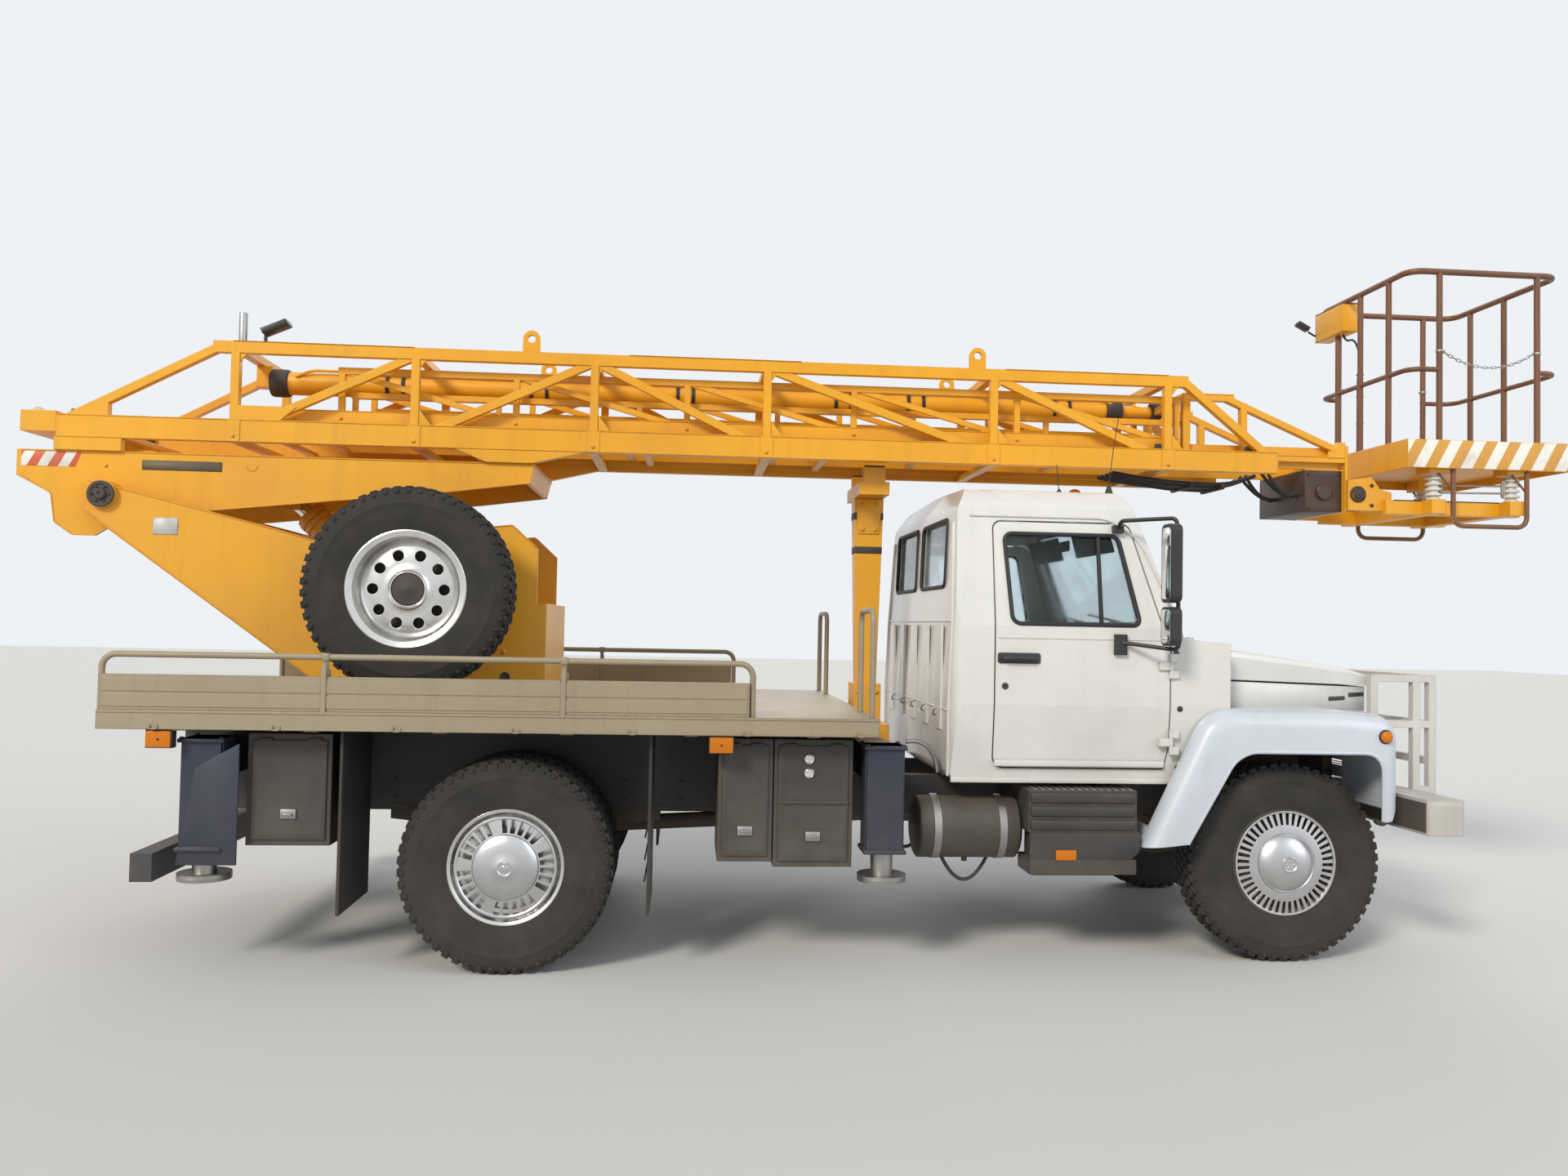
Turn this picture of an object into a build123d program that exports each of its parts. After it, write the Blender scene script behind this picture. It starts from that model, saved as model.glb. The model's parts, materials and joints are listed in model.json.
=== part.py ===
"""Cherry picker truck: a bonneted 4x2 lorry with a slewing turret and a telescopic lattice boom."""
import os
from math import atan2, cos, degrees, hypot, radians, sin

from build123d import *

os.makedirs("parts", exist_ok=True)

# Overall stations, millimetres. X runs forward, Y to the truck's left, Z up from the ground.
arm_rear_reach = 6340
platform_front_reach = 1840
front_axle_x = (arm_rear_reach - platform_front_reach) / 2
wheelbase = 3770
rear_axle_x = front_axle_x - wheelbase
fit_gap = 0.3
free_gap = 6

# Wheels
tyre_radius = 487
tyre_width = 236
rim_radius = 254
rim_width = 200
rim_flange = 9
front_track = 1630
kingpin_span = 1400
dual_centre = 845
dual_half = 135
hub_bore = 46
axle_z = tyre_radius

# Chassis
rail_outer_y = 400
rail_flange = 65
rail_wall = 9
rail_bottom_z = 640
rail_top_z = 840
rail_rear_x = rear_axle_x - 1680
rail_front_x = front_axle_x + 610
subframe_top_z = 1100
subframe_width = 80
spring_width = 70

# Deck
deck_rear_x = rear_axle_x - 1760
deck_front_x = front_axle_x - 2080
deck_half = 1190
deck_top_z = 1190
deck_edge = 85
deck_plate = 40
board_front_x = front_axle_x - 2680
board_top_z = 1345
board_wall = 28
rail_tube = 14
rail_top = 1432

# Cab
cab_back_x = front_axle_x - 1695
cab_front_x = front_axle_x - 310
cab_bottom_z = 870
cab_half = 970
cab_wall = 45
hinge_radius = 9
cowl_z = 1575
screen_foot_x = front_axle_x - 545
screen_head_x = front_axle_x - 785
roof_edge_z = 2235
roof_top_z = 2345
roof_half = 870
door_back_x = front_axle_x - 1490
door_front_x = front_axle_x - 610
door_bottom_z = 942
door_top_z = 2150
belt_z = 1632
door_gap = 7
glass = 6
roof_round = 60
rear_corner = 60
window_round = 42

# Nose
hood_front_x = front_axle_x + 625
hood_rear_half = 840
hood_front_half = 620
hood_seam_rear_z = 1385
hood_seam_front_z = 1355
fender_half = 1060
fender_wall = 25
fender_top_z = 1248
grille_x = front_axle_x + 600
bumper_front_x = front_axle_x + 827
bumper_half = 1085
bumper_round = 28

# Turret and boom
slew_x = front_axle_x - 4280
base_radius = 520
base_top_z = deck_top_z + 45
turret_half = 450
turret_plate = 20
turret_floor_z = 1275
turret_floor = 15
pin_x = front_axle_x - 5885
pin_z = 2200
arm_half = 380
arm_wall = 16
arm_top_z = pin_z + 225
arm_front_x = front_axle_x - 3776
boom_half = 400
chord = 40
boom_bottom_z = arm_top_z + 65
chord_tall = 115
boom_top_z = boom_bottom_z + 515
top_chord_tall = 60
boom_front_x = front_axle_x + 218
boom_top_front_x = front_axle_x - 290
boom_top_rear_x = front_axle_x - 5400
middle_half = 325
middle_front_x = front_axle_x - 300
middle_rear_x = front_axle_x - 5150
inner_half = 255
head_half = 290
tip_x = front_axle_x + 680
basket_pin_x = front_axle_x + 720
basket_pin_z = boom_bottom_z - 90
cylinder_foot_x = front_axle_x - 4100
cylinder_foot_z = 1370
cylinder_head_x = front_axle_x - 5120
cylinder_head_z = pin_z + 50
barrel_radius = 80
rod_radius = 42

# Basket
platform_rear_x = front_axle_x + 900
platform_front_x = front_axle_x + platform_front_reach
platform_half = 490
platform_bottom_z = basket_pin_z + 135
platform_skirt_z = platform_bottom_z + 155
platform_floor_z = platform_bottom_z + 65
basket_rail_z = platform_floor_z + 1020
basket_mid_z = platform_floor_z + 480
basket_tube = 16
basket_bend = 80


def block(x0, x1, y0, y1, z0, z1, mode=Mode.ADD):
    """Box between two corners."""
    with Locations(((x0 + x1) / 2, (y0 + y1) / 2, (z0 + z1) / 2)):
        Box(abs(x1 - x0), abs(y1 - y0), abs(z1 - z0), mode=mode)


def round_corners(sketch, corners):
    """Round corners of the sketch in hand; corners lists (nearest point in the sketch's plane, radius)."""
    for spot, radius in corners:
        fillet(sketch.vertices().sort_by_distance((*spot, 0))[0], radius)


def side_plate(points, y0, y1, inset=0, mode=Mode.ADD, corners=()):
    """Plate with an outline of (X, Z) points moved in by inset, between two Y planes."""
    with BuildSketch(Plane.XZ.offset(-max(y0, y1))) as outline:
        with BuildLine():
            Polyline(*points, close=True)
        make_face()
        round_corners(outline, corners)
        if inset:
            offset(amount=-inset, mode=Mode.REPLACE)
    extrude(outline.sketch, amount=abs(y1 - y0), mode=mode)


def cross_plate(points, x0, x1, mode=Mode.ADD, corners=()):
    """Plate with an outline of (Y, Z) points, between two X planes."""
    with BuildSketch(Plane.YZ.offset(min(x0, x1))) as outline:
        with BuildLine():
            Polyline(*points, close=True)
        make_face()
        round_corners(outline, corners)
    extrude(outline.sketch, amount=abs(x1 - x0), mode=mode)


def window_cut(low_y, high_y, low_z, high_z, x0, x1, radius, mode=Mode.ADD):
    """Window shape with round corners, between two X planes."""
    points = [(low_y, low_z), (high_y, low_z), (high_y, high_z), (low_y, high_z)]
    cross_plate(points, x0, x1, mode=mode, corners=[(point, radius) for point in points])


def line_plane(start, end):
    """Plane at a line's start, square to it, with its x direction level."""
    run = Vector(*end) - Vector(*start)
    level = Vector(0, 0, 1).cross(run)
    if level.length < 1e-6:
        level = Vector(0, 1, 0)
    return Plane(origin=start, x_dir=level, z_dir=run), run.length


def bar(start, end, wide, tall, mode=Mode.ADD):
    """Rectangular bar from one point to another; wide is level."""
    plane, length = line_plane(start, end)
    with BuildSketch(plane) as section:
        Rectangle(wide, tall)
    extrude(section.sketch, amount=length, mode=mode)


def rod(start, end, radius, mode=Mode.ADD):
    """Round bar from one point to another."""
    plane, length = line_plane(start, end)
    with BuildSketch(plane) as section:
        Circle(radius)
    extrude(section.sketch, amount=length, mode=mode)


def bent_tube(points, radius, bend):
    """Round tube through points, bent to one radius at each corner."""
    with BuildLine() as path:
        FilletPolyline(*points, radius=bend)
    with BuildSketch(Plane(origin=path.line @ 0, z_dir=path.line % 0)) as section:
        Circle(radius)
    sweep(section.sketch, path=path.line)


def ring(x, y, z, profile):
    """Solid of revolution about a Y axis; profile points are (outward distance, radius)."""
    with BuildSketch(Plane(origin=(x, y, z), x_dir=(0, 1, 0), z_dir=(1, 0, 0))) as section:
        with BuildLine():
            Polyline(*profile, close=True)
        make_face()
    revolve(section.sketch, axis=Axis((x, y, z), (0, 1, 0)))


def save(name, piece):
    """Label a finished sub-part and write its file."""
    piece.part.label = name
    export_step(piece.part, f"parts/{name}.step")


sides = {"left": 1, "right": -1}

# Chassis frame: two channel rails, cross-members, the subframe under the deck and the rear bumper
cross_members = [
    # middle x, bottom z, top z
    (front_axle_x + 560, 660, 780),
    (front_axle_x - 1250, 660, 780),
    (front_axle_x - 2400, 660, 780),
    (rear_axle_x + 570, 660, 780),
    (rear_axle_x - 530, 660, 780),
    (rear_axle_x - 1630, 660, 820),
]
with BuildPart() as chassis_frame:
    for s in sides.values():
        block(rail_rear_x, rail_front_x, s * rail_outer_y, s * (rail_outer_y - rail_wall),
              rail_bottom_z, rail_top_z)
        for flange_z in (rail_bottom_z, rail_top_z - rail_wall):
            block(rail_rear_x, rail_front_x, s * rail_outer_y, s * (rail_outer_y - rail_flange),
                  flange_z, flange_z + rail_wall)
        block(deck_rear_x + 60, deck_front_x - 20, s * rail_outer_y, s * (rail_outer_y - subframe_width),
              rail_top_z, subframe_top_z)
    for member_x, low, high in cross_members:
        block(member_x - 40, member_x + 40, -rail_outer_y + rail_wall, rail_outer_y - rail_wall, low, high)
    block(rear_axle_x - 1635, rear_axle_x - 1540, -deck_half + 90, deck_half - 90, 423, 548)
    for s in sides.values():
        block(rear_axle_x - 1620, rear_axle_x - 1550, s * 330, s * (rail_outer_y - 5), 540,
              rail_bottom_z + 5)
save("chassis_frame", chassis_frame)

# Engine, gearbox, propeller shaft, radiator and silencer
engine_half = 290
gearbox_rear_x = front_axle_x - 1080
pinion_x = rear_axle_x + 195
with BuildPart() as powertrain:
    block(cab_front_x + 15, front_axle_x + 400, -engine_half, engine_half, 785, 1215)
    block(gearbox_rear_x, cab_front_x + 20, -170, 170, 560, cab_bottom_z - 15)
    rod((gearbox_rear_x + 5, 0, 620), (pinion_x + 2 + fit_gap, 0, 500), 42)
    block(front_axle_x + 522, front_axle_x + 576, -320, 320, 780 + fit_gap, 1230)
    rod((front_axle_x - 1750, 290, 560), (front_axle_x - 1150, 290, 560), 75)
    for s in sides.values():
        block(front_axle_x - 20, front_axle_x + 60, s * engine_half,
              s * (rail_outer_y - rail_wall - fit_gap),
              785, 825)
    for hanger_x in (front_axle_x - 1680, front_axle_x - 1260):
        block(hanger_x, hanger_x + 40, 290, rail_outer_y - 20, 600, rail_bottom_z - fit_gap)
save("powertrain", powertrain)

# Front axle beam with its king-pin bosses and leaf springs
boss_radius = 42
boss_half = 57
kingpin_y = kingpin_span / 2
beam_half = 40
beam_low_z = 400
beam_top_z = 470
with BuildPart() as front_axle:
    block(front_axle_x - beam_half, front_axle_x + beam_half, -540, 540, beam_low_z, beam_top_z)
    for s in sides.values():
        cross_plate([(s * 540, beam_low_z), (s * 540, beam_top_z), (s * kingpin_y, axle_z + 35),
                     (s * kingpin_y, axle_z - 35)], front_axle_x - beam_half, front_axle_x + beam_half)
        rod((front_axle_x, s * kingpin_y, axle_z - boss_half),
            (front_axle_x, s * kingpin_y, axle_z + boss_half),
            boss_radius)
        spring_low = beam_top_z
        side_plate([(front_axle_x - 600, rail_bottom_z), (front_axle_x - 600, rail_bottom_z - 35),
                    (front_axle_x - 150, spring_low), (front_axle_x + 150, spring_low),
                    (front_axle_x + 560, rail_bottom_z - 35), (front_axle_x + 560, rail_bottom_z),
                    (front_axle_x + 500, rail_bottom_z), (front_axle_x + 140, spring_low + 62),
                    (front_axle_x - 140, spring_low + 62), (front_axle_x - 540, rail_bottom_z)],
                   s * (rail_outer_y - spring_width), s * rail_outer_y)
save("front_axle", front_axle)

# Rear axle tube, differential and leaf springs
rear_tube = 62
rear_hub_y = dual_centre - dual_half - tyre_width / 2 - 10
with BuildPart() as rear_axle:
    rod((rear_axle_x, -rear_hub_y, axle_z), (rear_axle_x, rear_hub_y, axle_z), rear_tube)
    with Locations((rear_axle_x, 0, axle_z)):
        Sphere(165)
    rod((rear_axle_x + 100, 0, axle_z), (pinion_x, 0, axle_z), 60)
    for s in sides.values():
        spring_low = axle_z + rear_tube - 12
        side_plate([(rear_axle_x - 680, rail_bottom_z), (rear_axle_x - 680, rail_bottom_z - 45),
                    (rear_axle_x - 150, spring_low), (rear_axle_x + 150, spring_low),
                    (rear_axle_x + 680, rail_bottom_z - 45), (rear_axle_x + 680, rail_bottom_z)],
                   s * (rail_outer_y - spring_width), s * rail_outer_y)
save("rear_axle", rear_axle)

# Steering knuckles: a yoke round the king-pin boss, a spindle and a steering arm
ear = 36
yoke_y = kingpin_y + boss_radius + 10
spindle_end_y = front_track / 2 + 45
for side, s in sides.items():
    with BuildPart() as knuckle:
        for low in (axle_z - boss_half - fit_gap - ear, axle_z + boss_half + fit_gap):
            rod((front_axle_x, s * kingpin_y, low), (front_axle_x, s * kingpin_y, low + ear), boss_radius)
            block(front_axle_x - 38, front_axle_x + 38, s * kingpin_y, s * (yoke_y + 26), low, low + ear)
        block(front_axle_x - 38, front_axle_x + 38, s * yoke_y, s * (yoke_y + 26),
              axle_z - boss_half - fit_gap - ear, axle_z + boss_half + fit_gap + ear)
        rod((front_axle_x, s * (yoke_y + 20), axle_z), (front_axle_x, s * spindle_end_y, axle_z),
            hub_bore - fit_gap)
        bar((front_axle_x - 20, s * (yoke_y + 13), axle_z - boss_half - 24),
            (front_axle_x - 170, s * (kingpin_y - 15), axle_z - boss_half - 24), 30, 24)
    save(f"knuckle_{side}", knuckle)

# Tyre section, as (distance from the tyre's middle, radius)
half_width = tyre_width / 2
tyre_profile = [(-85, rim_radius), (-104, 290), (-half_width, 360), (-half_width + 4, 410), (-104, 462),
                (-86, tyre_radius), (86, tyre_radius), (104, 462), (half_width - 4, 410),
                (half_width, 360), (104, 290), (85, rim_radius)]


def tyre(x, y, z):
    ring(x, y, z, tyre_profile)


barrel = rim_radius - fit_gap
flange = barrel + rim_flange
barrel_profile = [(-rim_width / 2, flange), (-rim_width / 2, barrel - 16), (rim_width / 2, barrel - 16),
                  (rim_width / 2, flange), (rim_width / 2 - 8, flange), (rim_width / 2 - 10, barrel),
                  (-rim_width / 2 + 10, barrel), (-rim_width / 2 + 8, flange)]


def rim(x, y, z, out, cap_radius, cap_rise):
    """Rim barrel, disc and vented cover with its dome; out is +1 or -1, the side that shows."""
    ring(x, y, z, barrel_profile)
    face = out * rim_width / 2
    ring(x, y, z, [(face - out * 55, 0), (face - out * 55, barrel - 16), (face - out * 12, barrel - 16),
                   (face - out * 6, 215), (face + out * 12, cap_radius), (face + out * cap_rise,
                                                                          cap_radius * 0.7),
                   (face + out * (cap_rise + 10), 0)])


# Front wheels
for side, s in sides.items():
    wheel_y = s * front_track / 2
    with BuildPart() as tyre_front:
        tyre(front_axle_x, wheel_y, axle_z)
    save(f"tyre_front_{side}", tyre_front)
    with BuildPart() as rim_front:
        rim(front_axle_x, wheel_y, axle_z, s, 100, 45)
        rod((front_axle_x, wheel_y - s * 20, axle_z), (front_axle_x, wheel_y + s * 60, axle_z), 195)
        rod((front_axle_x, wheel_y - s * 21, axle_z), (front_axle_x, s * (spindle_end_y + 2), axle_z),
            hub_bore,
            mode=Mode.SUBTRACT)
    save(f"rim_front_{side}", rim_front)

# Rear twin wheels
for side, s in sides.items():
    outer_y = s * (dual_centre + dual_half)
    inner_y = s * (dual_centre - dual_half)
    with BuildPart() as tyres_rear:
        tyre(rear_axle_x, outer_y, axle_z)
        tyre(rear_axle_x, inner_y, axle_z)
    save(f"tyres_rear_{side}", tyres_rear)
    with BuildPart() as rims_rear:
        rim(rear_axle_x, outer_y, axle_z, s, 142, 30)
        rim(rear_axle_x, inner_y, axle_z, s, 142, 30)
        rod((rear_axle_x, s * (rear_hub_y + fit_gap), axle_z), (rear_axle_x, outer_y + s * 50, axle_z), 185)
    save(f"rims_rear_{side}", rims_rear)

# Front bumper and the tubular guard that stands on it
guard_half = 690
guard_top_z = 1417
guard_mid_z = 1180
guard_tube = 38
guard_foot_x = grille_x - 25
guard_rear_x = front_axle_x + 805
guard_front_x = front_axle_x + 930
with BuildPart() as front_bumper:
    block(bumper_front_x - 190, bumper_front_x, -bumper_half, bumper_half, 650, 822)
    corner_edges = front_bumper.edges().filter_by(Axis.Z)
    end_edges = front_bumper.edges().filter_by(Axis.X).sort_by(Axis.Z)[-2:]
    fillet(corner_edges + end_edges, bumper_round)
    block(bumper_front_x - 175, bumper_front_x - 15, -bumper_half + 15, bumper_half - 15, 640, 795,
          mode=Mode.SUBTRACT)
    for s in sides.values():
        block(rail_front_x, bumper_front_x - 10, s * rail_outer_y, s * (rail_outer_y - 60), 700, 800)
        for post_x in (guard_rear_x, guard_front_x - guard_tube):
            block(post_x, post_x + guard_tube, s * guard_half, s * (guard_half - guard_tube), 800,
                  guard_top_z)
        for beam_z in (guard_top_z, guard_mid_z):
            block(guard_foot_x, guard_front_x, s * guard_half, s * (guard_half - guard_tube),
                  beam_z - guard_tube, beam_z)
        block(guard_foot_x, guard_foot_x + guard_tube, s * guard_half, s * (guard_half - guard_tube),
              guard_mid_z - guard_tube, guard_top_z)
        block(guard_rear_x, guard_front_x, s * guard_half, s * (guard_half - guard_tube), 800, 840)
    for beam_z in (guard_top_z, guard_mid_z, 990):
        block(guard_front_x - guard_tube, guard_front_x, -guard_half, guard_half, beam_z - guard_tube,
              beam_z)
save("front_bumper", front_bumper)


def cab_envelope(inset):
    """Outside of the cab with its cowl, moved inwards by inset."""
    with BuildPart() as envelope:
        with BuildSketch(Plane.YZ.offset(cab_back_x - 200)) as section:
            with BuildLine():
                Polyline((-cab_half + 40, cab_bottom_z), (-cab_half, 1250), (-cab_half, belt_z),
                         (-roof_half, roof_edge_z), (-roof_half + 110, roof_top_z - 30), (0, roof_top_z),
                         (roof_half - 110, roof_top_z - 30), (roof_half, roof_edge_z), (cab_half, belt_z),
                         (cab_half, 1250), (cab_half - 40, cab_bottom_z), close=True)
            make_face()
            round_corners(section, [((s * roof_half, roof_edge_z), roof_round) for s in (1, -1)]
                          + [((s * (roof_half - 110), roof_top_z - 30), 2 * roof_round) for s in (1, -1)])
            if inset:
                offset(amount=-inset, mode=Mode.REPLACE)
        extrude(section.sketch, amount=cab_front_x - cab_back_x + 400)
        with BuildSketch(Plane.XZ.offset(-cab_half - 100)) as profile:
            with BuildLine():
                Polyline((cab_back_x, cab_bottom_z), (cab_back_x, 1250), (cab_back_x + 35, roof_edge_z - 20),
                         (cab_back_x + 130, roof_top_z + 20), (screen_head_x - 70, roof_top_z + 20),
                         (screen_head_x, roof_edge_z + 20), (screen_foot_x, cowl_z + 8), (cab_front_x,
                                                                                          cowl_z - 10),
                         (cab_front_x, 985), (cab_front_x - 200, cab_bottom_z), close=True)
            make_face()
            round_corners(profile, [((cab_back_x + 35, roof_edge_z - 20), 2 * roof_round),
                                    ((cab_back_x + 130, roof_top_z + 20), roof_round),
                                    ((screen_head_x, roof_edge_z + 20), roof_round),
                                    ((cab_back_x, cab_bottom_z), roof_round)])
            if inset:
                offset(amount=-inset, mode=Mode.REPLACE)
        extrude(profile.sketch, amount=2 * cab_half + 200, mode=Mode.INTERSECT)
        with BuildSketch(Plane.XY.offset(cab_bottom_z - 10)) as plan:
            with Locations(((cab_back_x + cab_front_x) / 2, 0)):
                Rectangle(cab_front_x - cab_back_x, 2 * cab_half)
            round_corners(plan, [((cab_back_x, s * cab_half), rear_corner) for s in (1, -1)])
            if inset:
                offset(amount=-inset, mode=Mode.REPLACE)
        extrude(plan.sketch, amount=roof_top_z - cab_bottom_z + 100, mode=Mode.INTERSECT)
    return envelope.part


# Hinges of the doors and the hood
hinge_length = 40
hinge_x = door_front_x - door_gap / 2
hinge_y = cab_half + 11
door_hinges = (1060, 1430)
hood_hinge_x = cab_front_x + free_gap / 2
hood_hinge_z = cowl_z + 11
hood_hinges = (-420, 380)

cab_outside = cab_envelope(0)
cab_inside = cab_envelope(cab_wall)

# Door and window outlines, as (X, Z)
door_outline = [(door_back_x, door_top_z), (door_front_x - 190, door_top_z), (door_front_x - 55, 1690),
                (door_front_x, 1540), (door_front_x, 1050), (door_front_x - 22, door_bottom_z),
                (door_back_x, door_bottom_z)]
window_outline = [(door_back_x + 58, 2085), (screen_head_x - 75, 2085), (door_front_x - 155, belt_z + 12),
                  (door_back_x + 90, belt_z + 12)]
door_corners = [((door_back_x, door_top_z), 45), ((door_front_x - 190, door_top_z), 60),
                ((door_back_x, door_bottom_z), 60), ((door_front_x - 55, 1690), 150),
                ((door_front_x - 22, door_bottom_z), 20)]
window_corners = [(point, window_round) for point in window_outline]
screen_half = 760
screen_low_z = 1655
screen_high_z = 2190
rear_window_low_z = 1825
rear_window_high_z = 2165
rear_windows = [(70, 690), (-690, -70)]

# Cab shell: walls, roof, floor, ribbed rear wall and bulkhead
rib_count = 5
rib_pitch = 340
rib_half = 60
rib_proud = 9
with BuildPart() as cab_shell:
    add(cab_outside)
    add(cab_inside, mode=Mode.SUBTRACT)
    side_plate(door_outline, -cab_half - 50, cab_half + 50, mode=Mode.SUBTRACT, corners=door_corners)
    window_cut(-screen_half, screen_half, screen_low_z, screen_high_z, screen_head_x - 120,
               cab_front_x - 100,
               window_round, mode=Mode.SUBTRACT)
    for low_y, high_y in rear_windows:
        window_cut(low_y, high_y, rear_window_low_z, rear_window_high_z, cab_back_x - 50, cab_back_x + 120,
                   window_round, mode=Mode.SUBTRACT)
    for index in range(rib_count):
        rib_y = (index - (rib_count - 1) / 2) * rib_pitch
        block(cab_back_x - rib_proud, cab_back_x + 5, rib_y - rib_half, rib_y + rib_half, 1110, 1630)
    for s in sides.values():
        for low in door_hinges:
            for knuckle_z in (low - hinge_length - fit_gap, low + hinge_length + fit_gap):
                rod((hinge_x, s * hinge_y, knuckle_z), (hinge_x, s * hinge_y, knuckle_z + hinge_length),
                    hinge_radius)
                block(hinge_x, hinge_x + 40, s * (cab_half - 30), s * (hinge_y + 3), knuckle_z,
                      knuckle_z + hinge_length)
    for low_y in hood_hinges:
        for knuckle_y in (low_y - hinge_length - fit_gap, low_y + hinge_length + fit_gap):
            rod((hood_hinge_x, knuckle_y, hood_hinge_z),
                (hood_hinge_x, knuckle_y + hinge_length, hood_hinge_z),
                hinge_radius)
            block(hood_hinge_x - 40, hood_hinge_x, knuckle_y, knuckle_y + hinge_length, hood_hinge_z - 24,
                  hood_hinge_z + 3)
    for mount_x in (cab_back_x + 130, cab_front_x - 240):
        for s in sides.values():
            block(mount_x - 50, mount_x + 50, s * (rail_outer_y - 60), s * rail_outer_y, rail_top_z,
                  cab_bottom_z + 5)
save("cab_shell", cab_shell)

# Windscreen and the two rear panes, set in the middle of the wall
pane_depth = 14
pane_outside = cab_envelope(pane_depth)
pane_inside = cab_envelope(pane_depth + glass)
with BuildPart() as pane_region:
    window_cut(-screen_half + fit_gap, screen_half - fit_gap, screen_low_z + fit_gap,
               screen_high_z - fit_gap,
               screen_head_x - 120, cab_front_x - 100, window_round)
    for low_y, high_y in rear_windows:
        window_cut(low_y + fit_gap, high_y - fit_gap, rear_window_low_z + fit_gap,
                   rear_window_high_z - fit_gap,
                   cab_back_x - 50, cab_back_x + 120, window_round)
with BuildPart() as cab_glass:
    add(pane_outside)
    add(pane_inside, mode=Mode.SUBTRACT)
    add(pane_region.part, mode=Mode.INTERSECT)
save("cab_glass", cab_glass)

# Seats, dashboard and steering wheel
floor_z = cab_bottom_z + cab_wall
seat_x = cab_back_x + 170
wheel_centre = (seat_x + 675, 380, 1530)
with BuildPart() as cab_interior:
    for seat_y, seat_half in ((380, 240), (-330, 330)):
        block(seat_x, seat_x + 470, seat_y - seat_half, seat_y + seat_half, floor_z, floor_z + 380)
        side_plate([(seat_x - 100, floor_z + 390), (seat_x + 10, floor_z + 390), (seat_x - 5, floor_z + 900),
                    (seat_x - 90, floor_z + 900)], seat_y - seat_half, seat_y + seat_half)
        side_plate([(seat_x - 100, floor_z + 300), (seat_x + 5, floor_z + 300), (seat_x + 5, floor_z + 395),
                    (seat_x - 100, floor_z + 395)], seat_y - seat_half, seat_y + seat_half)
    side_plate([(cab_front_x - cab_wall, 1190), (cab_front_x - cab_wall, 1500), (cab_front_x - 330, 1500),
                (cab_front_x - 420, 1400), (cab_front_x - 400, 1190)], -cab_half + 140, cab_half - 140)
    with BuildSketch(Plane(origin=wheel_centre, x_dir=(0, 1, 0), z_dir=(-0.5, 0, 0.87))) as wheel_hub:
        Circle(60)
        Rectangle(400, 36)
        Rectangle(36, 400)
    extrude(wheel_hub.sketch, amount=12, both=True)
    with Locations(Plane(origin=wheel_centre, x_dir=(0, 1, 0), z_dir=(-0.5, 0, 0.87))):
        Torus(200, 15)
    rod(wheel_centre, (wheel_centre[0] + 160, wheel_centre[1], 1252), 28)
save("cab_interior", cab_interior)

# Doors, each with its pane and mirrors
door_depth = roof_half - 200
for side, s in sides.items():
    with BuildPart() as door_region:
        side_plate(door_outline, s * door_depth, s * (cab_half + 40), inset=door_gap, corners=door_corners)
        side_plate(window_outline, s * (door_depth - 20), s * (cab_half + 50), mode=Mode.SUBTRACT,
                   corners=window_corners)
    with BuildPart() as door:
        add(cab_outside)
        add(cab_inside, mode=Mode.SUBTRACT)
        add(door_region.part, mode=Mode.INTERSECT)
        for low in door_hinges:
            rod((hinge_x, s * hinge_y, low), (hinge_x, s * hinge_y, low + hinge_length), hinge_radius)
            block(hinge_x - 60, hinge_x, s * (cab_half - 30), s * (hinge_y + 3), low, low + hinge_length)
    save(f"door_{side}", door)
    with BuildPart() as pane_shape:
        side_plate(window_outline, s * door_depth, s * (cab_half + 40), inset=fit_gap,
                   corners=window_corners)
    with BuildPart() as door_glass:
        add(pane_outside)
        add(pane_inside, mode=Mode.SUBTRACT)
        add(pane_shape.part, mode=Mode.INTERSECT)
    save(f"door_glass_{side}", door_glass)

# Mirrors on their tube arms
mirror_x = front_axle_x - 672
mirror_y = 1150
mirror_tube = 10
mirror_bend = 26
bracket_x = front_axle_x - 863
bracket_low_z = 2098
bracket_high_z = 2136


def upper_side(z):
    """Half width of the cab above its belt line."""
    return cab_half - (z - belt_z) * (cab_half - roof_half) / (roof_edge_z - belt_z)


for side, s in sides.items():
    with BuildPart() as mirror:
        block(mirror_x - 30, mirror_x + 25, s * (mirror_y - 90), s * (mirror_y + 38), 1755, 2130)
        block(mirror_x - 30, mirror_x + 25, s * (mirror_y - 90), s * (mirror_y + 38), 1550, 1735)
        fillet(mirror.edges().filter_by(Axis.X), 34)
        fillet(mirror.faces().sort_by(Axis.X)[-2:].edges(), 12)
        cross_plate([(s * (upper_side(bracket_low_z) + fit_gap), bracket_low_z),
                     (s * (upper_side(bracket_low_z) + 34), bracket_low_z),
                     (s * (upper_side(bracket_low_z) + 34), bracket_high_z),
                     (s * (upper_side(bracket_high_z) + fit_gap), bracket_high_z)],
                    bracket_x - 25, bracket_x + 25)
        bent_tube([(bracket_x, s * 912, 2118), (bracket_x, s * 960, 2155),
                   (mirror_x + 20, s * (mirror_y - 30), 2160), (mirror_x + 33, s * (mirror_y - 26), 1530),
                   (front_axle_x - 860, s * 985, 1560)], mirror_tube, mirror_bend)
        block(front_axle_x - 900, front_axle_x - 840, s * (cab_half + fit_gap), s * (cab_half + 22), 1500,
              1600)
    save(f"mirror_{side}", mirror)

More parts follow.
